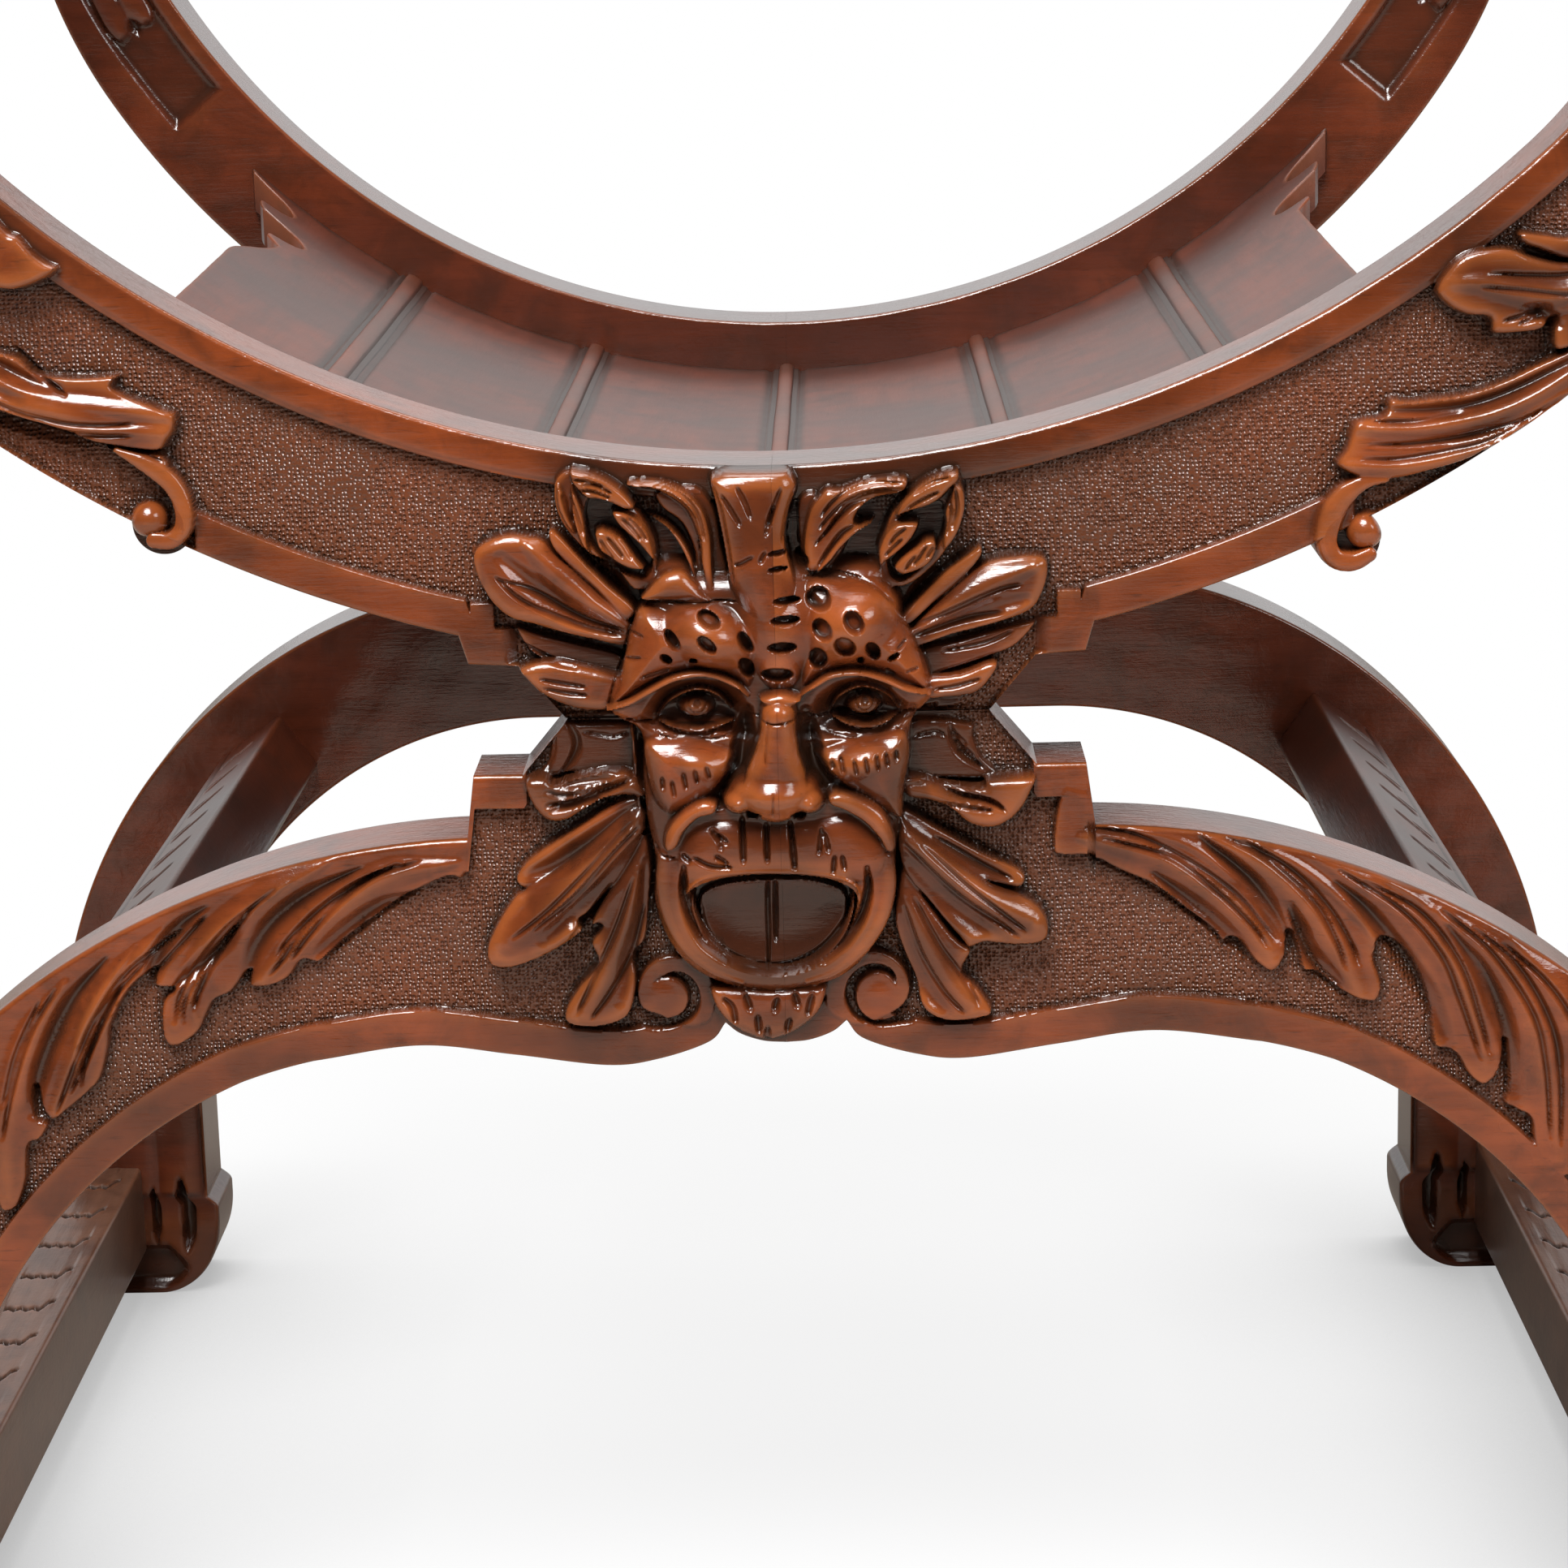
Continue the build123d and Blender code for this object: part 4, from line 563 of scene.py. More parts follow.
maskLow = {   # leaves below the seam
    "waistL": ("form", ((-78.5, 362.8), (-70.9, 362.2), (-48.2, 361.7), (-44.7, 356.8), (-45.5, 333.6),
    (-57.7, 335.3), (-67.4, 342), (-71.6, 344.1), (-77, 342.8), (-86.4, 341.5), (-87.2, 343.3), (-80.2, 347.5),
    (-78.2, 354.7)), -2.4, 2, 3),
    "waistR": ("form", ((43.3, 359.6), (65.3, 359.1), (66.9, 354.3), (69.7, 347), (75, 341.6), (70.1, 338.8),
    (56, 339.2), (43.2, 339.5)), -2.4, 2, 3),
    "waistGrooves": ("swell", -2.6, (1.1, 1.7, 1.8, 1.4, 0.8), (((-71.5, 361.5), (-69.4, 357.4), (-69.2, 353.1),
    (-71.4, 348.5), (-74.7, 344.5)), ((58.5, 358.5), (59.8, 353), (63.4, 347.4), (70.2, 342.6)), ((-46.4, 358.3),
    (-46.1, 351.1), (-45.8, 342.3), (-45.5, 333.6)))),
    "waistHatch": ("cuts", 0.6, 1.2, (((59.3, 355.9), (64.1, 351.2)), ((60.1, 352.7), (66.8, 346.8)), ((61.2, 349.2),
    (69, 343.8)), ((-76.4, 359), (-77.2, 351.8), (-79.4, 346)), ((-66.8, 358.8), (-56.9, 357.1), (-51.2, 358.4)),
    ((46.3, 354.8), (53.4, 356.1), (57, 354.5)))),
    "faceStripL": ("strap", ((-49.7, 361.3), (-49.2, 352.1), (-48.9, 343.4), (-48.1, 334.6), (-46.5, 324.4)), (1, 1.1,
    1.1, 1.1, 0.8), 3, 2),
    "lobeL": ("form", ((-92, 307.9), (-88.3, 314.5), (-77.8, 322.2), (-66.2, 329.3), (-53.1, 336.8), (-47.5, 336.1),
    (-50.6, 327.4), (-60.9, 318.9), (-74, 310.4), (-87, 304.5)), 1.5, 4, 3.5),
    "lobeR": ("form", ((41, 331.2), (52.8, 324.2), (68.2, 314.8), (80.3, 309), (84, 304.8), (80.8, 301.1),
    (68.1, 304.6), (54, 310.5), (41.3, 319.5)), 1.5, 4, 3.5),
    "beardL": ("form", ((-46.7, 324.4), (-44.3, 314.1), (-45.3, 299.5), (-47.2, 286.2), (-51.4, 280.1), (-50.9, 270),
    (-54.4, 258.1), (-66.1, 254.2), (-75.8, 255.9), (-76.7, 261.3), (-71.2, 270.4), (-64.9, 277.7), (-66.9, 285.2),
    (-63, 291), (-66.7, 292.3), (-58.4, 307.1), (-52.4, 317.2)), 1.5, 4, 3.5),
    "beardR": ("form", ((38.7, 299.1), (41.8, 311.3), (49.5, 298.8), (59.2, 285.3), (65.1, 279.9), (61.9, 272.2),
    (67.5, 265.6), (72, 257.4), (67.4, 254.6), (55.9, 253.9), (47.4, 258.6), (44.7, 269.4), (40.6, 279.8),
    (38, 290.2)), 1.5, 4, 3.5),
    "beardFold": ("swell", 2.4, (2, 4.2, 4.8, 3.1), (((-49.5, 311.2), (-53.2, 293.7), (-60.1, 277.5), (-68.7, 259.9)),
    ((42.4, 300.4), (49.3, 284), (56.2, 270.5), (64.6, 258.4)))),
    "beardSink": ("swell", -2.4, (1.7, 3.4, 3.6, 2.2), (((-46.5, 314.1), (-48.8, 296.5), (-53.7, 280.4),
    (-57.1, 264.1)), ((39.8, 294.5), (43.5, 279.7), (48.9, 266.2), (56, 257.1)))),
    "beardVeins": ("cuts", 0.7, 1.7, (((-51, 308.3), (-56.7, 292.3), (-63.5, 277.6), (-71.9, 260.5)), ((-47.7, 298),
    (-52.2, 281.8), (-59.8, 268.6), (-67.4, 258.3)), ((41.8, 296), (47.2, 279.6), (54.7, 266.1), (62, 257.6)),
    ((45.2, 298.8), (53.5, 282.4), (60.5, 271.9), (67.4, 259.8)))),
    "longL": ("form", ((-92.6, 302.9), (-88.8, 305.4), (-79.5, 311.1), (-66.3, 320.7), (-51.7, 333), (-45.6, 330.8),
    (-47.9, 320.6), (-55.5, 307.6), (-65.8, 296.4), (-69.9, 293.2), (-68.9, 289.4), (-76, 284.2), (-85.6, 279.4),
    (-95.1, 276.6), (-101.9, 278.3), (-102.8, 284.8), (-98.7, 293.9)), 3, 5, 5),
    "longR": ("form", ((40.1, 330.3), (45.6, 324.1), (58.2, 313.6), (72.2, 303.9), (83.5, 299.2), (90.5, 292.6),
    (91.6, 284.9), (87.6, 281.5), (77.9, 281.1), (69.1, 282.2), (63.7, 280.5), (60, 284.5), (50.8, 296.1),
    (40.3, 311.3)), 3, 5, 5),
    "longFold": ("swell", 3, (2.5, 4.8, 5.3, 3.6), (((-52, 325), (-66.7, 310.7), (-81.5, 297.8), (-94.8, 286.3)),
    ((42.8, 321.4), (56.7, 309.4), (70.8, 298.8), (86.3, 289.6)))),
    "longSink": ("swell", -3, (2.2, 4.2, 4.5, 2.8), (((-47.9, 321.7), (-58.3, 308.8), (-70.1, 298.7), (-82, 287.2)),
    ((42.6, 313.8), (55.2, 298.9), (66.4, 289.8), (76.3, 283.7)), ((-50.4, 332), (-63.5, 322.1), (-76.7, 313.6),
    (-88.2, 309.4)), ((42.9, 328.4), (55.5, 319.4), (69.5, 310.3), (80.8, 305.7)))),
    "longVeins": ("cuts", 0.75, 1.8, (((-92.7, 288.9), (-80, 298.9), (-65.2, 313.3), (-50.2, 329)), ((-85.4, 291.7),
    (-71.3, 303.1), (-58, 317.5), (-48.6, 326.6)), ((-73.3, 287.3), (-67.3, 294.5), (-58.4, 306.1)), ((48.1, 318.3),
    (62.3, 304.9), (75, 294.3), (83.4, 287.3)), ((42.4, 318.5), (59.4, 301.1), (73.5, 290.5), (81.1, 285)),
    ((52.6, 319.7), (69.5, 309.1), (79.3, 304.5)))),
    "turnL": ("form", ((-87.3, 342.5), (-85.2, 344.7), (-79.6, 344.9), (-76.6, 342.5), (-71.1, 344.4), (-59.7, 346.5),
    (-49.9, 345.4), (-45.4, 336.6), (-53, 337.1), (-60.1, 335.8), (-67.1, 332.1), (-72.8, 328.9), (-78.8, 328.6),
    (-83.5, 332.2), (-86.4, 337.5)), 3, 5, 4),
    "turnR": ("form", ((41.7, 341.9), (47.4, 342.3), (55.8, 339.8), (68.4, 338.1), (70.2, 340.6), (78.3, 341.3),
    (87.4, 340.8), (85.9, 334.8), (82.4, 328.8), (76.7, 324.2), (70.8, 322.8), (63.7, 324.8), (57.9, 329.9),
    (51.4, 332.7), (43, 334.6)), 3, 5, 4),
    "turnDips": ("swell", -3, (0.8, 1.7, 2.2, 2, 1.1), (((-79.5, 334.6), (-71.5, 335.3), (-62.9, 338), (-54.3, 342.2),
    (-48.6, 343.8)), ((75.4, 330.3), (69.8, 333.6), (61.4, 335.2), (52.9, 338.3), (44.5, 339.4)), ((-74.1, 341.2),
    (-67, 342.5), (-57, 344)))),
    "turnVeins": ("cuts", 0.7, 1.8, (((-79.7, 340.1), (-74.7, 338.4), (-65.6, 339.5), (-57.1, 341.9)),
    ((-79.4, 335.4), (-71.4, 335.8), (-61.4, 338.8), (-51.4, 342.1)), ((-78.6, 332.8), (-70, 334.6), (-61.5, 337.1)),
    ((55.2, 337.6), (62.7, 334.8), (72.6, 332.9), (77, 329.3)), ((48.7, 340.7), (55.7, 338.8), (66.4, 337.7)),
    ((55.6, 332.7), (64.1, 331), (72.5, 329.7)))),
}
mask = {
    "underLeafL": ("form", ((-88.5, 396.5), (-78.8, 393.5), (-65.6, 390), (-52.3, 386), (-50.4, 379.5), (-59, 376.8),
    (-70.2, 378.3), (-78.5, 383.4), (-84.7, 387.9)), -1.5, 3, 2.5),
    "underLeafR": ("form", ((48.2, 384.8), (60.9, 388.2), (75, 392), (88.4, 394.2), (82, 385.7), (72.1, 381.4),
    (57.9, 377), (49.5, 375)), -1.5, 3, 2.5),
    "templeL": ("form", ((-88.8, 381.5), (-83.6, 384.7), (-74.9, 385.5), (-65.4, 383.4), (-55.7, 380.8),
    (-50.2, 378.5), (-51.8, 371.4), (-57.9, 367.2), (-66.1, 367.1), (-73.3, 369.3), (-80.5, 373.2), (-85.6, 377)),
    2.5, 5.5, 4),
    "templeR": ("form", ((49.4, 376), (62, 377.8), (72.2, 381.5), (75.5, 380), (72.1, 374), (66.8, 369.6),
    (56.3, 368.4), (49.3, 368.8)), 2.5, 4, 3),
    "templeVeins": ("cuts", 0.6, 1.4, (((-80, 378.9), (-72.1, 377.3), (-64.7, 376)), ((-79, 375.7), (-71.5, 374.1),
    (-64.2, 373.1)), ((-86.3, 390.5), (-75.3, 384.5), (-67, 382.2)), ((53.5, 372.2), (60.6, 373.1), (69, 375.5)),
    ((56.5, 384.3), (70.6, 386.9), (80.4, 390.9)))),
    "sideLeafL": ("form", ((-48.1, 397.6), (-54.9, 405.3), (-63, 413.2), (-71.6, 420.9), (-76.7, 426.5), (-81.4, 428),
    (-88.9, 428.9), (-95.9, 427.2), (-100.8, 423.9), (-101.8, 418.9), (-99.4, 410.9), (-95.5, 404.3), (-89.8, 399.3),
    (-81.8, 396.9), (-72.1, 393.8), (-62.4, 391.3), (-49.8, 389)), 2.5, 5, 4.5),
    "sideLeafR": ("form", ((43.3, 391.7), (49.8, 398.6), (59.7, 408.3), (69.5, 415.2), (80.7, 417.7), (90.7, 417.2),
    (92.9, 412.1), (90.6, 403.6), (86, 397.8), (74.8, 393.8), (59.4, 389.9), (45.3, 385.9)), 2.5, 5, 4.5),
    "leafFold": ("swell", 3, (2, 5, 5.3, 3.1), (((-83.3, 425.7), (-73.9, 416.3), (-63.1, 406.9), (-50.8, 397.4)),)),
    "leafFoldR": ("swell", 2.8, (2, 5, 5.3, 3.1), (((87.5, 414), (73.5, 408.6), (59.5, 401.2), (46.8, 392.3)),)),
    "leafSink": ("swell", -3, (2.2, 4.2, 4.5, 2.5), (((-91.8, 421), (-82.4, 412.3), (-68.8, 402), (-52.4, 394.3)),
    ((84.6, 402.7), (70.6, 398.5), (56.6, 394), (46.8, 390)), ((-68.1, 422.1), (-60.1, 413.2), (-50.6, 403)),
    ((62.5, 413.1), (54, 406.3), (44.1, 396.6)))),
    "leafVeins": ("cuts", 0.75, 1.8, (((-93.6, 414.1), (-86.2, 406.8), (-74.6, 400.6), (-63.5, 396.1),
    (-52.4, 393.5)), ((-92.8, 413.5), (-81.9, 409.3), (-68.9, 401.6), (-60.7, 397.7), (-51, 395.2)), ((45.5, 393.5),
    (56.7, 398.7), (74.9, 406.2), (83, 407.7)), ((46.8, 390.9), (63.6, 395.9), (76.9, 398.2)))),
    "stemLeafL": ("form", ((-75.9, 429.7), (-72.3, 429.4), (-64, 420.2), (-54.6, 410.3), (-46.5, 402.5),
    (-50.9, 398.1), (-60.3, 408.5), (-69.7, 417.5), (-74.8, 423.8)), 5, 3, 2.5),
    "stemLeafR": ("form", ((69.8, 421.3), (66.5, 419.9), (56.9, 413.1), (47, 403.4), (41.6, 396.5), (45.5, 394.4),
    (54, 401.6), (63.8, 409.8), (70.4, 417.6)), 5, 3, 2.5),
    "budL": ("form", ((-73.8, 442.7), (-72.5, 447.4), (-69.4, 449.9), (-64.1, 450.3), (-57.3, 447.1), (-50.8, 441.9),
    (-45.1, 436.4), (-40.9, 429.9), (-38.9, 423.6), (-38.9, 415.1), (-40.8, 409.5), (-47.8, 408.3), (-54.5, 416.9),
    (-62.7, 421.1), (-69.4, 428.5), (-73, 435.7)), 4.5, 2, 3),
    "budR": ("form", ((41.2, 435.8), (46.3, 440.7), (51.4, 444.2), (59.7, 447.1), (63, 445.6), (64.9, 439.4),
    (64.5, 432.4), (61.3, 423.8), (54.2, 414.1), (44.3, 407.3), (36, 409.1), (35.7, 421.9), (38.1, 430.2)), 4.5, 2,
    3),
    "budDarkL": ("hollow", ((-61.5, 440.9), (-53.7, 439.3), (-46.6, 434.9), (-41.3, 427.2), (-40.6, 416.4),
    (-44.9, 412.3), (-54.5, 416.8), (-61.2, 424), (-63.7, 432.5)), 1, 0, 1),
    "budDarkR": ("hollow", ((42.3, 431.4), (50.4, 435.4), (56.8, 437), (59.2, 431), (56.6, 423.2), (50, 414.3),
    (42.4, 409.4), (38.1, 413.7), (38.5, 424.5)), 1, 0, 1),
    "budTopL": ("form", ((-67.6, 450.7), (-64.6, 450.6), (-59.6, 449.4), (-54.2, 446.8), (-49.9, 443.6),
    (-46.7, 440.2), (-45.4, 437.1), (-49.3, 436.6), (-53.7, 438.7), (-57.8, 440.1), (-61.6, 440.5), (-64.3, 442.8),
    (-66.9, 446.2)), 8.5, 4.5, 2.2),
    "budSideL": ("form", ((-67.3, 445.3), (-65.4, 443.3), (-63.7, 439), (-62.5, 433.4), (-61.9, 427.5),
    (-61.3, 421.6), (-64.2, 424.5), (-66.2, 429.9), (-67.4, 436.3)), 8, 4, 2),
    "budRimL": ("form", ((-72.1, 445.7), (-70, 443.9), (-68.5, 440.3), (-67.3, 434.3), (-65.8, 428.4), (-67.8, 429.3),
    (-70.6, 433.6), (-72.4, 439.2)), 6.5, 3.5, 2),
    "petalL1": ("form", ((-60, 429.5), (-57.5, 431.1), (-53.3, 429.9), (-49.8, 427.6), (-47.2, 423.9), (-45.1, 420.5),
    (-42.7, 416.5), (-47.2, 416.3), (-51.5, 418.1), (-55.6, 421), (-58.8, 423.9)), 9.5, 5, 2.4),
    "petalL2": ("form", ((-54, 436.5), (-49.5, 436.7), (-44.9, 433.8), (-41.5, 429.8), (-40, 424.7), (-39.1, 418.8),
    (-41.5, 420.2), (-45.2, 424.8), (-49.3, 428.8), (-52.5, 432.3)), 9, 4.5, 2.2),
    "budTopR": ("form", ((41.1, 432.2), (42.8, 437.2), (47.3, 441.6), (51.8, 444.8), (57.3, 446.9), (62.6, 447.3),
    (62.8, 444), (59.7, 441), (56.1, 437.5), (51.6, 435.1), (46.4, 433.8)), 8.5, 4.5, 2.2),
    "budSideR": ("form", ((60.9, 443.8), (64.2, 441.5), (65.1, 435.9), (64, 430.1), (61.5, 424.5), (57.5, 420.1),
    (56.5, 423.2), (57.4, 429.1), (57.2, 433.6), (58.9, 438)), 7.5, 4, 2),
    "petalR1": ("form", ((47, 422.5), (51.4, 425.2), (54.5, 424.9), (55, 420.9), (52.7, 416.5), (48.5, 413.8),
    (42.9, 412.5), (39.9, 415.1), (41.9, 418.7)), 9.5, 5, 2.4),
    "petalR2": ("form", ((35.5, 414.8), (34.7, 419.9), (35.7, 424), (37.7, 427.6), (40.8, 430.4), (44.9, 431.1),
    (49.1, 430.5), (48.7, 427.7), (45.9, 423.5), (41.7, 419.7), (37.5, 416.7)), 9, 4.5, 2.2),
    "budVeins": ("cuts", 0.5, 1.6, (((-62.8, 445.7), (-58.4, 445.1), (-53.3, 442.7)), ((-64, 443.8), (-59.9, 443.4),
    (-53.9, 441.1)), ((-66.4, 447.5), (-61.4, 446.8), (-56, 445)), ((-57.7, 427.4), (-55.9, 424), (-53.5, 420.9)),
    ((-55.4, 428.2), (-52.8, 424.8), (-50.1, 421.1)), ((-52.4, 428.2), (-49.7, 424.7), (-47.4, 420.5)),
    ((-50.2, 434.3), (-47, 430.8), (-43.9, 426.6)), ((-48.3, 434.5), (-44.6, 430.2), (-42.2, 426.5)), ((-67.2, 441.4),
    (-65.2, 434.9), (-63.5, 428.7)), ((-70.2, 442), (-68.7, 436.4), (-67.2, 432.2)), ((45, 435.1), (50.3, 438.1),
    (55.9, 440.7)), ((47.6, 440.4), (53.2, 443.6), (59.5, 445.4)), ((39, 423.2), (41.3, 426.2), (44.6, 428.7)),
    ((37.5, 419.6), (40.6, 422.6), (43.2, 425.1)), ((47.5, 419.4), (45.8, 417.2), (44.1, 414.7)), ((51.4, 422.6),
    (49.2, 419.3), (46.9, 416.3)), ((53.6, 422.3), (51.4, 418.7)), ((61.4, 441.1), (61.9, 434.7), (60.1, 427.8)),
    ((59.4, 437.6), (59.9, 432), (58.4, 425.8)))),
    "ribbonBed": ("form", ((-38.9, 441.9), (-25.8, 443.2), (-19.1, 435.5), (-17, 422.8), (-15.6, 411.4),
    (-26.8, 410.3), (-27.1, 420.2), (-31, 430.2), (-37.7, 435.9)), 3, 1.5, 5),
    "ribbonBedR": ("form", ((8.5, 437.7), (15.2, 440), (15.5, 429.1), (26.7, 430.8), (24.5, 421), (16.5, 411.2),
    (10.4, 410.5), (8.4, 422.2)), 3, 1.5, 5),
    "ribbonL": ("strap", ((-48, 445.1), (-39.5, 444.3), (-31.8, 441.2), (-25.9, 435.6), (-23.1, 427.4),
    (-22.3, 416.7), (-21.2, 408.2)), (1, 1.8, 2.4, 2.8, 2.5, 2.1, 1.7), 6.5, 4),
    "ribbonLow": ("strap", ((-41.9, 434.1), (-35.9, 430.6), (-31.5, 425.2), (-28.4, 418.9), (-26.4, 411.8)), (0.4, 1,
    1.3, 1.4, 1), 4, 3.5),
    "ribbonR": ("form", ((45.2, 445.1), (38.1, 445.5), (29.7, 444.3), (23, 442), (18.3, 442.1), (15.2, 439.4),
    (12.4, 435.5), (10.5, 428.6), (9.8, 421.6), (10.8, 414.5), (14.6, 413.6), (19.5, 417.9), (24, 423.8),
    (29.4, 427.6), (32.8, 430.3), (28.1, 430.4), (30.1, 434.8), (35.1, 437.8), (42.4, 439), (45.7, 441.7)), 6, 4,
    3.5),
    "ribbonDip": ("swell", -2.5, (0.7, 1.1, 1.3, 1.1, 0.7), (((42.9, 440.7), (35.2, 440.3), (27.4, 437.4),
    (21.7, 432.3), (17.4, 426.5)), ((29.4, 430.1), (23.8, 427.4), (19.6, 422.5), (15.3, 416.7)))),
    "socketRootL": ("lump", (-34.4, 410.7), (12.6, 8.4), 0, 9, 0.5, 2),
    "socketRootR": ("lump", (27.6, 409.3), (15.4, 8.4), 0, 9, 0.5, 2),
    "ribbonLowR": ("strap", ((33.6, 430.3), (28, 427.7), (22.3, 423), (18.1, 417.8), (14.9, 414.2)), (0.6, 1.1, 1.4,
    1.4, 0.8), 7.5, 3),
    "ribbonVeins": ("cuts", 0.55, 1.7, (((-46.9, 445.5), (-39.4, 445), (-31.2, 441.8), (-25.3, 435.2),
    (-22.8, 425.3)), ((-45, 443.8), (-36.7, 442.5), (-29.9, 438.1), (-25.4, 431), (-24.1, 419.7)), ((44.1, 443.4),
    (35.2, 443.6), (26.9, 441.8), (20.7, 438), (16.2, 432.8)), ((43.5, 441.4), (35.2, 441.1), (27.4, 439),
    (21.2, 434.7), (15.5, 428.6)), ((42.6, 439.8), (34.6, 438.8), (27.3, 435.9), (21.1, 430.8), (14, 423.1)))),
    "face": ("form", ((-49.7, 395.3), (-45.2, 403.2), (-37.9, 412.4), (-26.7, 414.7), (-12.7, 414.4), (9.6, 413),
    (23.5, 411.3), (34.6, 407.9), (41.2, 401.8), (46.9, 393.1), (52.2, 378.7), (53.2, 369.4), (46.3, 361.6),
    (44.4, 347.2), (42, 327), (39.8, 312.4), (38.6, 296.3), (29.2, 278.8), (16.1, 269.3), (-4, 266.5), (-23.9, 270.2),
    (-37.6, 280.9), (-44.5, 298.2), (-43.9, 314.3), (-46.3, 329), (-47.2, 343.5), (-47.5, 359.5), (-57.4, 366.6),
    (-52.3, 384)), 0.5, 10.5, 9),
    "foreheadMass": ("lump", (1.7, 395.1), (26.6, 23.8), 0, 16.5, 0.5, 2),
    "fan": ("form", ((-21, 446.3), (-17, 448.7), (-11.5, 449.7), (-4.3, 450.6), (3.1, 449.9), (7.4, 447),
    (8.7, 442.6), (6.3, 435.1), (4.7, 425.3), (6.7, 415.5), (8.9, 404.2), (9.7, 391.4), (8.2, 377.8), (1.1, 373.2),
    (-5.7, 378.2), (-7.9, 390.4), (-12.3, 403.3), (-15.3, 411.8), (-17.2, 424.5), (-19.3, 437.1)), 9, 7, 9),
    "fanRidge": ("swell", 3, (6.2, 8.4, 8.4, 6.7), (((-6.1, 434.3), (-4.5, 410.5), (-0.5, 394.9), (1.3, 376.4)),)),
    "fanVeins": ("cuts", 0.65, 1.5, (((-16.8, 441.5), (-13.3, 435.8), (-10.4, 431)), ((-11.4, 444.1), (-8.8, 438.8),
    (-7, 433.7)), ((3.2, 443.5), (0.5, 436.3), (-1.3, 430.8)), ((0.6, 437.7), (-1.2, 432.4), (-2.2, 428)),
    ((-20, 444.9), (-17.4, 436.7), (-15.6, 425.5), (-13.5, 411.4)), ((7.9, 443.1), (4.9, 433.4), (3.3, 425.1)),
    ((-6.8, 420.8), (-10.8, 418.4), (-13, 417.9)), ((-2.6, 422.4), (-4.4, 418.9)))),
    "browL": ("form", ((-45, 404.7), (-32.3, 404.1), (-19.7, 404.7), (-12.3, 403.9), (-7.4, 398.2), (-5.2, 387.3),
    (-5.4, 378.8), (-9.2, 373.2), (-15, 377), (-21.9, 379.8), (-28, 379.9), (-35.9, 378.4), (-44.1, 374.3),
    (-51.5, 370.5), (-57.7, 368.6), (-54.4, 377.1), (-51.8, 387), (-49.2, 396.9)), 3.5, 15.5, 17),
    "browR": ("form", ((9, 411.1), (20.7, 412.5), (34.5, 408.8), (40.8, 402.7), (45.6, 394.7), (49.1, 385.5),
    (51.9, 372.4), (43.6, 374.3), (36.7, 377.6), (28.4, 379.5), (18.6, 378.8), (12.1, 375), (7.3, 372.8),
    (6.4, 384.2), (7.6, 397)), 3.5, 15.5, 17),
    "capL": ("form", ((-45.3, 405.7), (-43, 409.9), (-37.5, 415.1), (-30.5, 416.1), (-25.7, 411.7), (-21.1, 406.5),
    (-12.2, 405.5), (-12.3, 403.8), (-32.3, 404.8)), 8, 6, 5),
    "domeL": ("lump", (-22, 393.4), (19, 12.9), -22, 24, 0.5, 5),
    "domeR": ("lump", (25.4, 396.9), (19, 15.1), 25, 25, 0.5, 5),
    "pits": ("pits", 5, (((-21.9, 400.3), (4.6, 2.5), -28), ((-34.4, 393.3), (4.3, 2.1), -58), ((-22.7, 392.4),
    (4.3, 2.4), -45), ((-10, 391.8), (4.6, 2), -62), ((-36.8, 386.8), (2.5, 1.5), -40), ((-10, 382.8), (2.5, 4.3),
    25), ((-27.7, 386), (1.5, 1.1), 0), ((14.8, 405.9), (4.5, 4.2), -20), ((26.5, 398.9), (3.4, 4.6), 30),
    ((15.9, 396), (3.4, 4.3), 25), ((23.3, 390.5), (3.6, 4.3), 45), ((14.3, 385.6), (3.4, 4.3), 0), ((32.7, 388.3),
    (2.4, 3.9), 25), ((39.5, 385.6), (2.4, 1.1), 30), ((28.4, 384.7), (1.3, 1.3), 0), ((4.2, 405.6), (4.9, 1.5), 0),
    ((3.5, 399.1), (5.3, 1.8), 0), ((2.2, 389.9), (5.3, 2.1), 0), ((0.3, 380.3), (5.9, 2.7), 0), ((1.6, 421.6),
    (3.6, 1.1), 0), ((1.5, 416.3), (3.6, 1), 0), ((9.5, 417.8), (2.4, 2.9), 30))),
    "browHatch": ("cuts", 0.5, 1.3, (((-49.2, 395.1), (-44.3, 394)), ((-50.9, 386), (-45.3, 387)), ((-45.5, 380.2),
    (-35.7, 382.8)), ((-48.5, 374.5), (-38.5, 380)), ((43.9, 390.9), (41, 388.1)), ((47.8, 380.8), (43.7, 380.2)),
    ((36.7, 381.1), (40.2, 378.9)))),
    "browCrack": ("cuts", 0.35, 1.2, (((-45.6, 404.9), (-37.7, 405.6), (-26.7, 404.5), (-18.3, 405.4),
    (-12.2, 404.7)), ((9.9, 412.1), (20.7, 413.5), (33.1, 409.5), (40.8, 402.6)), ((-49.2, 396.5), (-51.8, 385.8),
    (-55.5, 375.9), (-57.4, 368.8)))),
    "sockets": ("swell", -8.5, (2.8, 8.1, 9.2, 8.1, 3.6), (((-44.9, 364.2), (-36.3, 367.5), (-27.2, 368.1),
    (-18.1, 367.1), (-11, 359.7)), ((44.9, 365.6), (37.9, 365.8), (29.5, 367.1), (21.1, 366.2), (11.1, 359.2)))),
    "eyebrowL": ("strap", ((-57.3, 369.3), (-49.9, 371.7), (-43.7, 375.1), (-35.4, 379.3), (-27.6, 381),
    (-20.9, 380.4), (-13.5, 376.8), (-9.7, 373)), (0.7, 1.3, 1.4, 1.4, 1.4, 1.4, 1.3, 0.7), 15, 1.8),
    "eyebrowR": ("strap", ((52.1, 372.2), (43.5, 374.3), (36.6, 377.6), (28.3, 380.1), (19.1, 379.5), (12.4, 375.9),
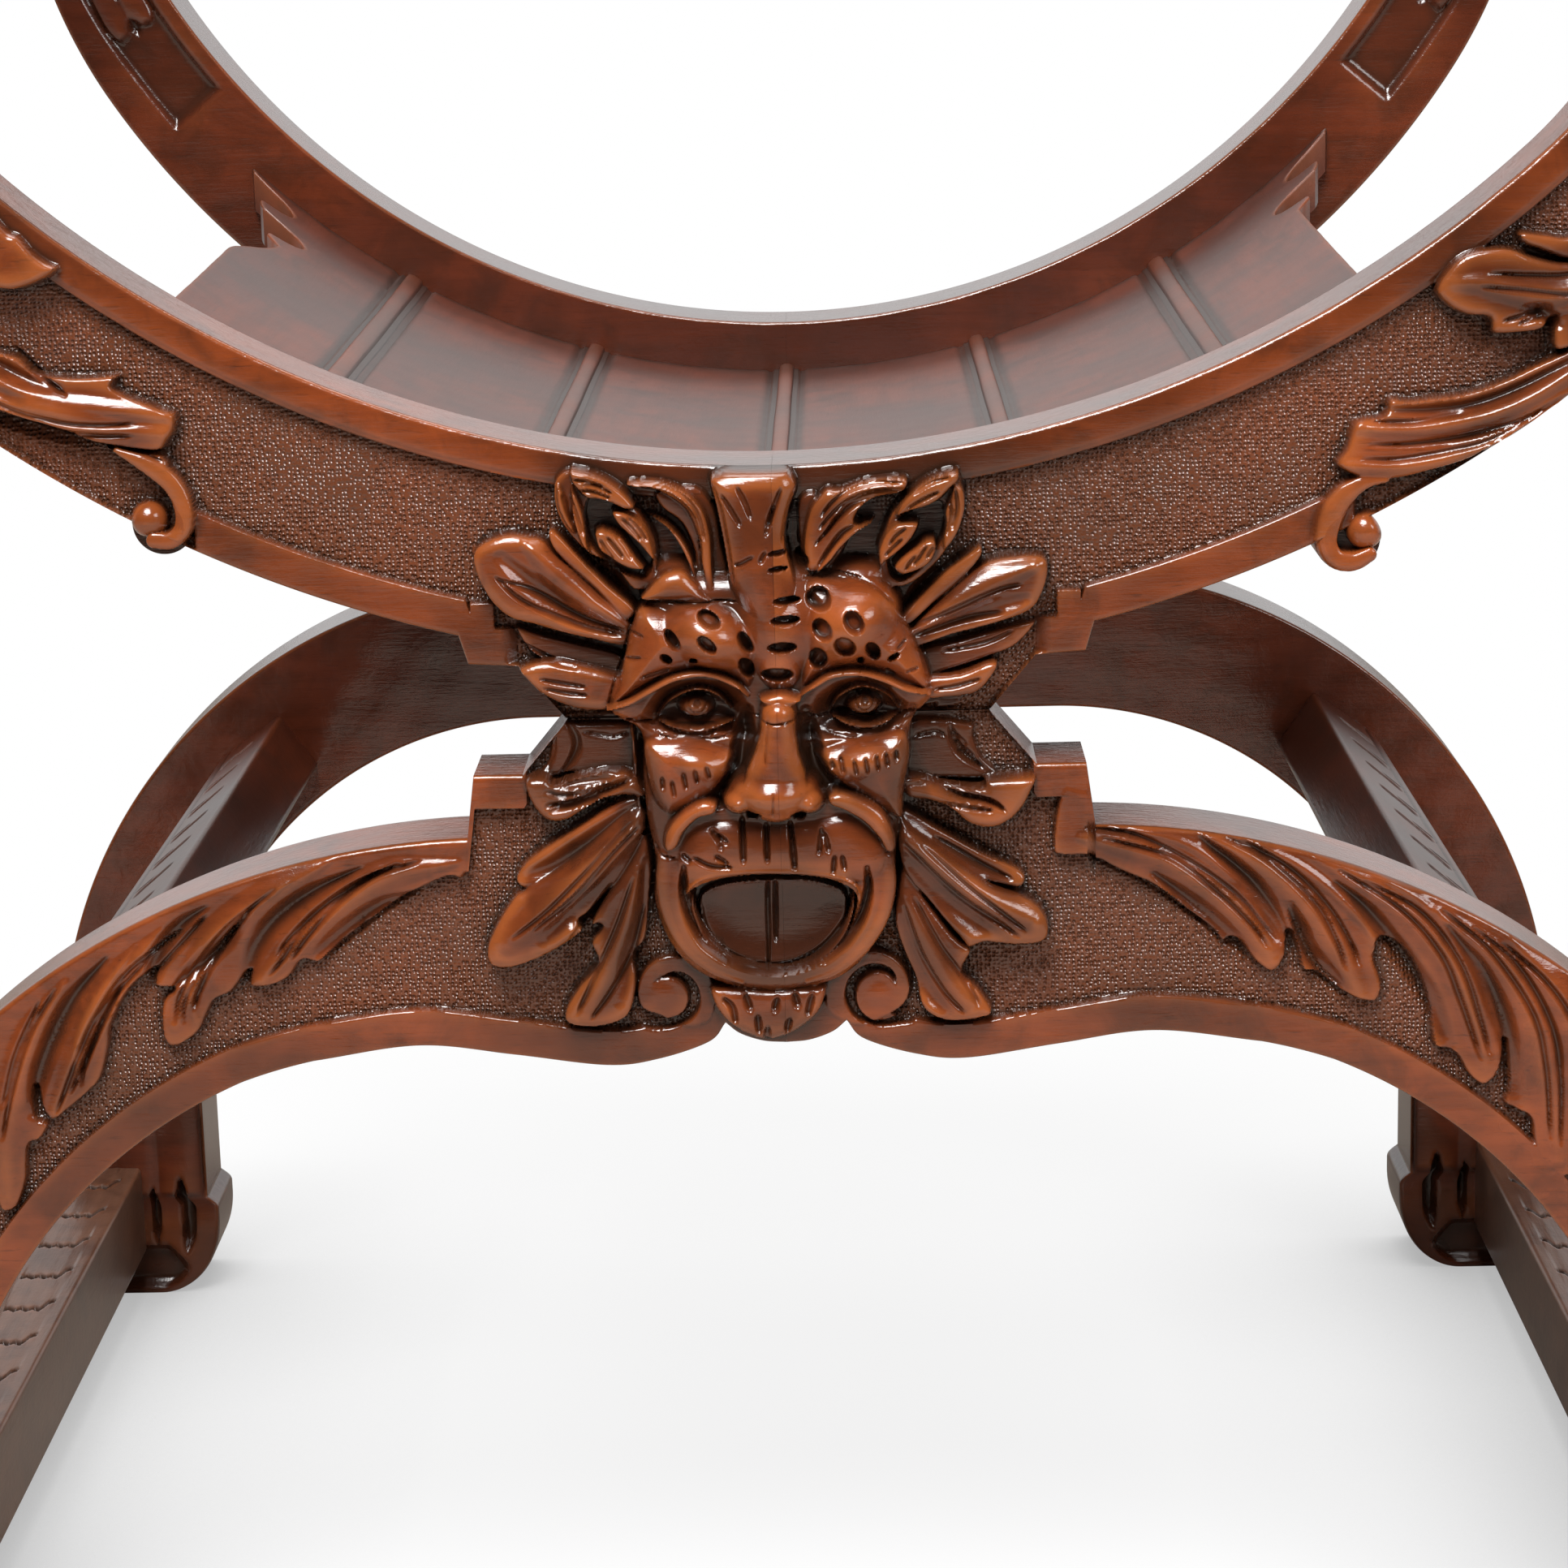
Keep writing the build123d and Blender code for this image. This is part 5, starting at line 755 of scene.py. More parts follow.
    (7.3, 372.6)), (0.7, 1.3, 1.4, 1.4, 1.4, 1.3, 0.7), 15, 1.8),
    "eyeL": ("lump", (-27.7, 368.7), (7.3, 5), -5, 12.5, 0.5, 0.4),
    "eyeR": ("lump", (29.3, 368.3), (7.3, 5), 5, 12.5, 0.5, 0.4),
    "lidL": ("strap", ((-40.5, 366.3), (-36.1, 371.9), (-27.6, 375.5), (-20.4, 373.6), (-15.5, 368)), (0.6, 1, 1, 1,
    0.6), 11, 2),
    "lidR": ("strap", ((18, 366.7), (21.2, 372.1), (28.8, 375.3), (36.9, 372.6), (41.2, 366.7)), (0.6, 1, 1, 1, 0.6),
    11, 2),
    "lowLidL": ("strap", ((-40.1, 364.5), (-33.7, 361.8), (-25.3, 361), (-15.4, 363.9)), (0.7, 1.3, 1.3, 0.7), 9,
    2.5),
    "lowLidR": ("strap", ((18.3, 364.9), (25.2, 361.6), (33.6, 361.4), (41, 365)), (0.7, 1.3, 1.3, 0.7), 9, 2.5),
    "iris": ("cuts", 0.35, 1, (((-30.6, 369.6), (-29.1, 372.4), (-26.1, 372.9), (-23.9, 370.5), (-25.1, 367.4),
    (-28.2, 366.9), (-30.6, 369.3)), ((26.2, 369.7), (27.7, 372.2), (30.7, 372.4), (32.6, 370.1), (31.8, 367.3),
    (28.7, 366.5), (26.2, 369.4)))),
    "pupils": ("pits", 1.6, (((-27.1, 370.1), (1.4, 1.4), 0), ((29.6, 369.6), (1.4, 1.4), 0))),
    "eyeLines": ("cuts", 0.4, 1, (((-42.2, 360.4), (-33.8, 357.9), (-22.6, 357.7), (-12.7, 359.8)), ((14.6, 359.1),
    (22.3, 357.5), (33.5, 357.3), (42, 359.9)), ((-42.1, 363), (-46.3, 364.8), (-51.9, 364.4)), ((43.4, 362.8),
    (49.1, 364.1), (54.7, 365.4)))),
    "knob": ("form", ((-6.3, 372.7), (-2.9, 374.6), (1.3, 375.4), (5.4, 374.4), (9, 372.3), (5.6, 369.9),
    (1.1, 369.1), (-3.3, 370.1)), 17, 5, 3),
    "cheekL": ("form", ((-45.5, 357.7), (-36.5, 359.2), (-25.3, 358.1), (-14.2, 354.4), (-13.2, 349.2), (-17, 343.2),
    (-23.1, 338.2), (-30.8, 333.4), (-38.5, 331.3), (-43.1, 336.9), (-45.5, 347)), 7, 10, 12),
    "cheekLowL": ("lump", (-27.6, 349.8), (15.7, 8.4), -12, 19, 0.5, 3),
    "cheekR": ("form", ((11.5, 352.9), (20.9, 356.7), (30.7, 358.2), (42.7, 359.4), (45.1, 350.7), (42.9, 339.3),
    (41.6, 328.3), (33, 332.3), (24, 338.2), (15.7, 343.9), (12, 348.6)), 7, 10, 12),
    "cheekLowR": ("lump", (29.1, 349.4), (15.7, 8.7), 14, 19.5, 0.5, 3),
    "besideNose": ("swell", -7, (2.2, 3.6, 4.2, 3.9, 2.2), (((-9.9, 367.3), (-11.9, 355.9), (-13.9, 345.8),
    (-19.2, 337.9), (-26.6, 334.3)), ((9.6, 366.8), (11, 355.3), (13.3, 345.2), (19.1, 338.5), (27.4, 334.5)))),
    "bridge": ("strap", ((0.5, 367.4), (0.1, 360.3), (-0.4, 353.2), (-0.9, 346), (-1.3, 340.9)), (6.4, 6.7, 8.1, 10.6,
    11.8), 13, 12),
    "noseTip": ("lump", (-1.9, 339.8), (17.1, 9.2), 0, 28, 0.42, 4),
    "wingL": ("lump", (-13.8, 337), (6.7, 5.9), 0, 23, 0.5, 4),
    "wingR": ("lump", (9.8, 336.5), (6.7, 5.9), 0, 23, 0.5, 4),
    "nostrils": ("pits", 6, (((-8.8, 331.9), (2.8, 1.8), 20), ((6.3, 331.5), (2.8, 1.8), -20))),
    "noseSplit": ("cuts", 0.3, 0.8, (((-1.8, 341.5), (-2, 336.9), (-2.3, 332.6)), ((-3.1, 366.9), (-3.8, 358.4),
    (-4.3, 351.2)))),
    "cheekHatch": ("cuts", 0.6, 1.8, (((-36.3, 344.5), (-35.4, 339)), ((-32.3, 347.5), (-31.4, 341.5)),
    ((-28.3, 348.6), (-27.6, 343.7)), ((-24.4, 349.6), (-23.4, 345.3)), ((-39.6, 345.7), (-39.2, 341.4)),
    ((21, 351.5), (22, 346)), ((25.5, 350.5), (26.5, 345.6)), ((29.4, 351.3), (30.2, 346.1)), ((33.1, 352.1),
    (33.8, 346.9)), ((36.4, 352.6), (36.9, 348)), ((17.9, 350.1), (18.7, 347.2)), ((39.8, 353.1), (40, 349.6)))),
    "lipZone": ("form", ((-36.8, 315.7), (-33.5, 324.3), (-26.2, 329.3), (-16.3, 330.3), (-2.3, 328.3), (11.8, 329.7),
    (21.7, 331.8), (30.1, 327.3), (35.9, 319.9), (36, 311.1), (28.2, 305.2), (12.7, 307), (-2.8, 308.8), (-17, 307.9),
    (-29.8, 305.9), (-35.9, 309.8)), 8, 6, 10),
    "lipL": ("form", ((-39.8, 320.3), (-39.4, 326.4), (-34.7, 333.2), (-26.4, 338), (-20.8, 336.7), (-22, 332.4),
    (-27.4, 330.8), (-32.1, 326.5), (-34.4, 322), (-36.8, 319.7)), 13, 5, 3.5),
    "lipR": ("form", ((16.3, 338.7), (20.5, 340.1), (28, 337.9), (35.2, 332.8), (39, 325.5), (39.4, 318.6),
    (35.8, 317.8), (33, 322.8), (28.1, 328.4), (21.7, 332.5), (16.7, 334.7)), 13, 5, 3.5),
    "drips": ("cuts", 0.8, 3, (((-13, 330.3), (-12.9, 322.4), (-12.8, 314.6)), ((-4.8, 327.8), (-4.8, 320.8),
    (-4.6, 314.7)), ((3.3, 328.2), (4, 320.6), (4.6, 311.5)))),
    "lipHatch": ("cuts", 0.7, 2.2, (((-23.5, 326.3), (-20.8, 322.6), (-20.3, 319.7)), ((-21.4, 324.8), (-18, 321.8)),
    ((-30, 317), (-23.9, 313.9), (-16.8, 313.2)), ((-22.4, 317.5), (-18.2, 314.5)), ((14, 326.2), (13, 317.5)),
    ((14.8, 324.7), (16.4, 318.1)), ((18.3, 316.6), (17.6, 310.1)), ((20.8, 316.6), (21.6, 311.4)), ((-33.7, 317.8),
    (-30.9, 315.5)))),
    "jawL": ("strap", ((-39.2, 316.6), (-39.5, 306.4), (-37.6, 295.2), (-32.2, 284.4), (-23.6, 276.3),
    (-14.4, 271.6)), (3.6, 4.2, 4.2, 3.9, 3.1, 1.4), 6, 4.5),
    "jawR": ("strap", ((35.5, 314.9), (35.6, 304.7), (32.8, 293.6), (26.4, 283.4), (17.1, 275.4), (7.6, 271.4)), (3.6,
    4.2, 4.2, 3.9, 3.1, 1.4), 6, 4.5),
    "jawHollow": ("swell", -6, (1.1, 1.8, 2, 2, 1.4), (((-33.3, 313.4), (-33.6, 304.6), (-31.4, 294.8),
    (-26.5, 285.9), (-19.3, 279.2)), ((29.2, 312), (29.4, 303.2), (26.6, 293.6), (21.3, 285.7), (14, 278.8)))),
    "mouth": ("hollow", ((-32.3, 302.5), (-29.3, 306), (-21.3, 308.7), (-11.3, 310), (-1.4, 310), (9.9, 309.2),
    (18.4, 307.2), (24.5, 303.6), (25.9, 298.9), (23.7, 290.1), (17.2, 281.1), (7.7, 275.4), (-3.8, 273.6),
    (-15.1, 275.9), (-24.1, 282), (-30.3, 291.3)), -1.5, 0, 1),
    "bowl": ("hollow", ((-28.5, 301.4), (-18.7, 305.9), (-1.5, 307), (12.7, 305.8), (21.9, 300.9), (21.4, 290.3),
    (14.9, 281.2), (4.8, 275.8), (-5.2, 274.5), (-15.2, 276.3), (-23.9, 283), (-28.5, 291.4)), 4.4, -4.4, 13),
    "lipRing": ("strap", ((-31.2, 302.9), (-30.3, 295.2), (-26.3, 286.3), (-18.8, 278.7), (-10.9, 275.3),
    (-3.5, 273.9), (4.8, 274.9), (13.2, 279.2), (20.2, 286.7), (23.8, 295.5), (24.5, 301.6)), (1, 1.3, 1.4, 1.5, 1.7,
    1.7, 1.7, 1.5, 1.4, 1.3, 1), 5, 2),
    "lipEdge": ("strap", ((-32.6, 304.2), (-29.7, 307.7), (-24, 310.2), (-12.6, 311.4), (-1.3, 311.4), (10, 310.6),
    (19.8, 308.6), (25.1, 305.6), (26.5, 302.6)), (0.8, 1.1, 1.3, 1.3, 1.3, 1.3, 1.3, 1.1, 0.8), 11, 2),
    "bowlRing": ("swell", -2, (0.8, 1.3, 1.3, 1.3, 1.3, 1.3, 0.8), (((-28.6, 300.3), (-26.9, 289.3), (-21.1, 281.2),
    (-11, 275.9), (1.9, 275.6), (13.8, 281.6), (21.2, 291.2), (22.2, 298.6)),)),
    "bowlJoint": ("cuts", 0.6, 2, (((-5, 305.9), (-5.3, 295), (-5.3, 283.2), (-5.6, 274)), ((-2.4, 305.9),
    (-2.6, 295), (-2.7, 283.1)))),
    "crack": ("cuts", 0.35, 1.4, (((-77.2, 366.3), (-66, 364.8), (-54.8, 365.2), (-46.4, 363.8), (-39.3, 364.5)),
    ((-9.8, 366.4), (-1.4, 365.1), (7.1, 365.8), (14, 364.2), (22.5, 365.7), (35.1, 363.4), (44.9, 365.2),
    (54.7, 363.5), (65.9, 364.7)), ((-43, 320.9), (-40.9, 317.3), (-35.8, 316.3)), ((35.6, 316.8), (39.2, 315.5)))),
    "chin": ("form", ((-25.9, 269.1), (-24.2, 260.7), (-17.5, 253.4), (-7.6, 249), (2.2, 251.2), (11.6, 258.4),
    (14.9, 268.5), (7.5, 269.2), (-3.9, 268.6), (-16.8, 269.5)), 2, 6, 4.5),
    "chinHatch": ("cuts", 0.9, 2.4, (((-21.5, 265.4), (-18.4, 262), (-17.1, 256)), ((-13.7, 266.4), (-11.9, 260.7)),
    ((-9.6, 258.8), (-9.2, 252.3)), ((-2.6, 264.9), (-3.8, 260.2)), ((3.2, 266.3), (4.5, 261.5)), ((9.5, 265.9),
    (7.6, 258.5)), ((-6.3, 254.6), (-6.7, 249.5)), ((1.5, 257.4), (0.3, 252.7)))),
}
volutes = {
    "discL": ("form", ((-26.5, 255), (-24.3, 259.5), (-23.6, 265.4), (-24.3, 269.9), (-26.8, 274.2), (-31, 277.5),
    (-35.2, 279.4), (-39.5, 279.8), (-44.6, 278.4), (-48.6, 275.2), (-51, 270.8), (-51.9, 266.1), (-51.2, 261.6),
    (-48.8, 258.8), (-44.5, 257.2), (-37.5, 253.8), (-31.7, 253.1)), 0.4, 0.6, 1.6),
    "discR": ("form", ((14.6, 257.7), (13.2, 263.1), (13.3, 267.6), (15, 272.9), (19.1, 277), (24.9, 279.3),
    (32.1, 279.8), (37.8, 277.5), (41.7, 273.5), (43.6, 268.4), (43.7, 264), (42, 260.1), (38.8, 257.2),
    (34.5, 255.2), (27.2, 252.4), (20.1, 253.7)), 0.4, 0.6, 1.6),
    "curlL": ("hollow", ((-45.9, 269.8), (-43, 271.8), (-38.6, 273.4), (-34.6, 272.7), (-31.4, 270), (-29.5, 265.9),
    (-29.4, 261.4), (-31.2, 257.4), (-34.9, 254.3), (-39.7, 252.5), (-45.5, 252), (-50.5, 253.2), (-54.8, 254.8),
    (-54.7, 257.8), (-51.1, 260.1), (-48.3, 257.9), (-44.3, 256.6), (-39.4, 257), (-35.7, 259.1), (-34.1, 262.4),
    (-34.1, 266), (-35.9, 268.9), (-38.4, 270.4), (-41.6, 270.8), (-44.2, 269.6)), -3.4, 0, 1),
    "curlR": ("hollow", ((38.3, 267.1), (38.6, 270), (36.4, 273.2), (32, 274.8), (27.7, 274.3), (24.1, 272),
    (21.5, 268.6), (20.3, 264.2), (21.1, 259.7), (23.6, 255.4), (27.3, 253.1), (33, 251.6), (38.7, 252), (44.5, 253),
    (44.6, 256.5), (41.4, 258.6), (38.8, 256.3), (34.5, 254.5), (30.2, 254.7), (26.9, 257), (25.2, 260.2),
    (24.8, 264.1), (26, 268.2), (28.8, 270.6), (32.2, 271.4), (35.4, 270.4), (37.3, 268.3)), -3.4, 0, 1),
    "eyeDiscL": ("lump", (-42.6, 265.2), (8.4, 7.6), 0, 1.5, 0.3, 0.3),
    "eyeDiscR": ("lump", (32.6, 263.6), (8.1, 7.8), 0, 1.5, 0.3, 0.3),
}
ground = {
    "depth": -4.0, "rim": 12, "low": 13, "crown": 12, "arms": 196, "waist": 86,
    "tab": (95, 104), "tabTop": 404, "fillet": 6, "quirk": 11, "foot": (78, 100),
}


# the rows of a table turned about a point, for the leaves further along a band
def turned(rows, centre, degrees, side):
    c, s = np.cos(np.radians(degrees)), np.sin(np.radians(degrees))
    about = np.array((side * centre[0], centre[1]))

    def place(p):
        p = (np.array(p) - about) * (side, 1)
        return np.stack((p[..., 0] * c + p[..., 1] * s, p[..., 1] * c - p[..., 0] * s), -1) * (side, 1) + about

    for kind, *row in rows:
        if kind in ("form", "strap"):
            yield (kind, place(row[0]), *row[1:])
        elif kind in ("cuts", "swell"):
            yield (kind, row[0], row[1], [place(line) for line in row[2]])


# where the ground is punched: at its full depth, and outside an ellipse about the mask
def stippled(lift, xs, zs):
    clear = np.hypot(xs / 66, (zs - 378) / 74)
    return smooth(-3.1 - lift, 0, 0.4) * smooth(clear, 0.9, 1.0)


# places about the mask darkened with dark polish and painted shade, in its hollows: ellipses with soft edges
stainAndShadeSpots = {   # middle, half-axes, strength
    "bowl": ((-3, 290), (30, 26), 1.0), "earLeft": ((-72, 352), (24, 24), 0.9),
    "earRight": ((64, 352), (22, 24), 0.9), "eyeLeft": ((-28, 366), (24, 10), 0.7),
    "eyeRight": ((28, 366), (24, 10), 0.7), "jawLeft": ((-47, 330), (10, 34), 0.8),
    "jawRight": ((44, 330), (10, 34), 0.8), "leavesLeft": ((-52, 300), (17, 34), 0.6),
    "leavesRight": ((50, 300), (15, 34), 0.6), "ribbons": ((0, 432), (60, 10), 0.35),
    "lip": ((-2, 322), (34, 9), 0.45), "chin": ((-3, 254), (22, 9), 0.5),
}


# strongest of the dark places: each is full within about half its radius and fades to
# nothing a little past the edge
def stainAndShadeAt(xs, zs):
    total = np.zeros_like(xs)
    for middle, axes, strength in stainAndShadeSpots.values():
        r = np.hypot((xs - middle[0]) / axes[0], (zs - middle[1]) / axes[1])
        total = np.maximum(total, strength * (1 - smooth(r, 0.55, 1.15)))
    return total


# share of the ground's depth past a fillet of some width along a border
def pastFillet(w, width):
    return smooth(w, width - 0.5, width + 0.4)


# upper front relief: the ground is sunk between two fillets, of which the upper one is
# crowned and has a quirk along it, and then come the leaves on the arm and the mask;
# between the waist and the scroll the lower fillet shows, and elsewhere the ground runs
# out to the edge, but for a tab at the end of the waist
def upperRelief(side):
    def relief(xs, zs, w, span):
        out = side * xs
        free = np.maximum(
            smooth(out, ground["arms"] - 1, ground["arms"] + 1), 1 - smooth(out, ground["waist"], ground["waist"] + 8)
        )
        tabIn, tabOut = ground["tab"]
        tab = smooth(out, tabIn, tabIn + 0.6) * (1 - smooth(out, tabOut - 0.6, tabOut))
        tab = tab * (1 - smooth(zs, ground["tabTop"], ground["tabTop"] + 1))
        low = smooth(span - w, ground["low"] - 0.4, ground["low"] + 0.5)
        lift = ground["depth"] * pastFillet(w, ground["rim"]) * np.maximum(low, free) * (1 - tab)
        middle = ground["fillet"]
        lift = lift + 0.35 * (1 - ((w - middle) / middle) ** 2) * (w < 2 * middle)
        lift = lift - 0.5 * np.exp(-((w - ground["quirk"]) ** 2))
        leaves = list((armRight if side > 0 else armLeft).values())
        repeated = [row for row in leaves if row[0] != "lump"]
        rimC = (0, chair["rimZ"] + frontFrame["rimR"])
        for angle in (-19, -38):
            leaves += turned(repeated, rimC, angle, side)
        lift = carve(lift, xs, zs, [*leaves, *mask.values()])
        return lift + handWork(xs, zs, 0.15), stippled(lift, xs, zs), stainAndShadeAt(xs, zs)
    return relief


# lower front relief: the ground is sunk between the fillets over the crown and the leg,
# first with the acanthus, which fades out towards the foot, and then with the mask
def lowerRelief(side):
    def relief(xs, zs, w, span):
        low = smooth(span - w, ground["low"] - 0.4, ground["low"] + 0.5)
        bare = 1 - smooth(side * xs, ground["waist"], ground["waist"] + 1)
        sunk = np.maximum(pastFillet(w, ground["crown"]), bare) * low * smooth(zs, *ground["foot"])
        given = list((archRight if side > 0 else archLeft).values())
        further = turned(given, (chair["haunchX"], frontFrame["haunchZ"]), 46, side)
        lift = carve(ground["depth"] * sunk, xs, zs, [*further, *given])
        lift = lift * smooth(zs, 60, 92)
        lift = carve(lift, xs, zs, [*maskLow.values(), *mask.values(), *volutes.values()])
        return lift + handWork(xs, zs, 0.15), stippled(lift, xs, zs), stainAndShadeAt(xs, zs)
    return relief


# makers for one node tree: each key of values that names or numbers an input gives it a
# constant or the output that feeds it, and any other key is a setting of the node
def nodeTools(tree):
    def feed(node, values):
        for key, value in values.items():
            if not isinstance(key, int) and key not in node.inputs:
                setattr(node, key, value)
            elif isinstance(value, bpy.types.NodeSocket):
                tree.links.new(value, node.inputs[key])
            else:
                node.inputs[key].default_value = value
        return node

    def add(kind, values=None, **settings):
        return feed(tree.nodes.new("ShaderNode" + kind), {**settings, **(values or {})})

    def maths(operation, a, b, **settings):
        return add("Math", {0: a, 1: b}, operation=operation, **settings).outputs[0]

    def ramp(source, lo, hi, toLow=0.0, toHigh=1.0, bend="SMOOTHSTEP"):
        ends = {"From Min": lo, "From Max": hi, "To Min": toLow, "To Max": toHigh}
        return add("MapRange", {"Value": source, **ends}, interpolation_type=bend).outputs[0]

    return feed, add, maths, ramp


# walnut: clouds of two tones, with streaks drawn out along the grain, pores and dark
# patches over them; dirt with painted shade darkens hollows, wear bares edges, patina
# with painted shade darkens places, and punch marks the ground where the dots go, whose
# pits are darkened with dirt and painted shade
def walnut(name, tone):
    material = bpy.data.materials.new(name)
    material.use_nodes = True
    feed, add, maths, ramp = nodeTools(material.node_tree)
    place = add("TexCoord").outputs["Object"]

    def scaled(by):
        return add("Mapping", {"Vector": place, "Scale": by}).outputs[0]

    def noise(vector, scale, detail, rough, distortion=0.0):
        values = {"Vector": vector, "Scale": scale, "Detail": detail, "Roughness": rough, "Distortion": distortion}
        return add("TexNoise", values).outputs[0]

    def field(key):
        return add("Attribute", attribute_name=key).outputs["Fac"]

    def bump(height, strength, distance, **more):
        return add("Bump", {"Height": height, "Strength": strength, "Distance": distance, **more}).outputs[0]

    def mixed(factor, under, over, amount=1.0):
        share = maths("MULTIPLY", factor, amount, use_clamp=True)
        under, over = ((*c, 1) if isinstance(c, tuple) else c for c in (under, over))
        return add("Mix", {"Factor": share, 6: under, 7: over}, data_type="RGBA").outputs[2]

    streaks = noise(scaled(tone["stretch"]), 1.0, 7.0, 0.62, 0.5)
    pores = noise(scaled(tuple(4.5 * v for v in tone["stretch"])), 1.0, 3.0, 0.7)
    clouds = noise(place, 11.0, 4.0, 0.55)
    mottle = noise(place, 38.0, 5.0, 0.6, 0.8)
    marks = noise(place, 150.0, 5.0, 0.65, 1.2)
    dots = add("TexVoronoi", {"Vector": scaled((1, 0, 1)), "Scale": 680.0, "Randomness": 0.45})
    struck = maths("MULTIPLY", ramp(dots.outputs["Distance"], 0.62, 0.0), ramp(mottle, 0.75, 0.45, 0.45))
    punched = maths("MULTIPLY", struck, field("punch"))

    colour = mixed(ramp(clouds, 0.3, 0.7), tone["dark"], tone["light"])
    # the dirt tone paints shade with the dirt, in hollows and in the dots' pits, and the patina tone also paints
    # shade in broad hollows
    for factor, layer, amount in (
        (ramp(streaks, 0.38, 0.66), "streak", 0.38), (ramp(pores, 0.58, 0.74), "pore", 0.5),
        (ramp(mottle, 0.42, 0.7), "patinaAndShade", 0.55), (field("wear"), "worn", 0.3),
        (field("patinaAndShade"), "patinaAndShade", 0.85), (field("punch"), "ground", 0.6),
        (field("dirtAndShade"), "dirtAndShade", 0.88), (punched, "dirtAndShade", 0.5),
    ):
        colour = mixed(factor, colour, tone[layer], amount)

    dull = {0: field("dirtAndShade"), 1: 0.3, 2: ramp(clouds, 0.1, 0.9)}
    dull = add("Math", dull, operation="MULTIPLY_ADD").outputs[0]
    worked = bump(marks, tone["marks"], 0.0006)
    fine = bump(pores, 0.4, 0.0003, Normal=worked)
    stipple = bump(punched, 1.0, 0.0008, Normal=fine, invert=True)
    feed(material.node_tree.nodes["Principled BSDF"], {
        "Base Color": colour, "Roughness": ramp(dull, 0.0, 1.3, tone["rough"], tone["rough"] + 0.16, "LINEAR"),
        "Specular IOR Level": 0.2, "Coat Weight": tone["coat"], "Coat Roughness": tone["gloss"],
        "Normal": stipple, "Coat Normal": stipple,
    })
    return material


carvedTone = {
    "stretch": (14, 120, 150), "dark": (0.062, 0.014, 0.004), "light": (0.185, 0.036, 0.0075),
    "streak": (0.060, 0.011, 0.003), "pore": (0.020, 0.006, 0.0025), "worn": (0.40, 0.112, 0.026),
    "ground": (0.095, 0.029, 0.011), "patinaAndShade": (0.030, 0.009, 0.004), "dirtAndShade": (0.014, 0.0060, 0.003),
    "rough": 0.18, "coat": 0.75, "gloss": 0.08, "marks": 0.2,
}
alongY = (120, 12, 120)   # grain from front to back
plainTone = dict(carvedTone, dark=(0.052, 0.0110, 0.005), light=(0.115, 0.022, 0.007), streak=(0.035, 0.008, 0.003))
seatTone = dict(plainTone, stretch=alongY, rough=0.42, coat=0.9, gloss=0.38, marks=0.1)
railTone = dict(plainTone, stretch=alongY, rough=0.34, coat=0.7, gloss=0.3, marks=0.2)
runnerTone = dict(railTone, dark=(0.085, 0.036, 0.020), light=(0.135, 0.060, 0.034), streak=(0.055, 0.022, 0.012))
carvedWalnut = walnut("carvedWalnut", carvedTone)
plainWalnut = walnut("plainWalnut", plainTone)
seatWalnut = walnut("seatWalnut", seatTone)
railWalnut = walnut("railWalnut", railTone)
runnerWalnut = walnut("runnerWalnut", runnerTone)
armWalnut = walnut("armWalnut", dict(carvedTone, stretch=alongY))
crestWalnut = walnut("crestWalnut", plainTone)
print("walnut ready")

sides = ((1, "right"), (-1, "left"))
seamGap = 0.03   # from the middle of the chair to each half


# every second station past a place along the band, and always the last one
def thinned(line, split):
    past = line[split::2]
    if (len(line) - split) % 2 == 0:
        past = np.concatenate((past, line[-1:]))
    return np.concatenate((line[:split], past))


# the front frame's bands are cut in two at the end of the waist, which is worked finer
rim, outer = upperEdges(frontFrame, 0.42)
arch, under = lowerEdges(frontFrame, frontUnderside(), 0.42)
upperSplit = int(np.argmax(outer[:, 0] >= chair["waistEnd"] - 0.01)) + 1
lowerSplit = int(np.argmax(arch[:, 0] >= chair["waistEnd"] - 0.01)) + 1
rim, outer = thinned(rim, upperSplit), thinned(outer, upperSplit)
arch, under = thinned(arch, lowerSplit), thinned(under, lowerSplit)
frontFaces = (frontFrame["y"], frontFrame["y"] + frontFrame["thick"])
for side, word in sides:
    flip, gap = (side, 1), (side * seamGap, 0)
    for half, first, second, split, relief, counts in (
        ("Upper", rim, outer, upperSplit, upperRelief(side), (188, 128)),
        ("Lower", arch, under, lowerSplit, lowerRelief(side), (188, 134)),
    ):
        first, second = first * flip + gap, second * flip + gap
        for part, run, count in zip(("Waist", "Limb"), (slice(split + 1), slice(split, None)), counts):
            name = "carved" + half + part + "_" + word
            piece = bandSolid(name, first[run], second[run], *frontFaces, relief, count, chair["round"])
            fit(piece, carvedWalnut, "carved_walnut", "front_" + half.lower() + "_" + word)
print("front frame carved")


armPanel = {
    "from": 50, "top": 770, "middle": 21, "half": 15, "depth": 3.4, "bevel": 4.6, "perDegree": 5.8,
    "leaf": (   # across the arm and up along it
        ("form", (
            (-11, 70), (-11, 46), (-4, 44), (0, 49), (4, 44), (11, 46), (11, 70), (9, 120), (5, 160), (0, 176),
            (-5, 160), (-9, 120),
        ), -2.0, 2.0, 7),
        ("pits", 1.6, (((0, 45), (1.6, 3.2), 0),)),
        ("cuts", 0.8, 1.4, (((0, 52), (0, 110), (0, 168)),)),
    ),
}


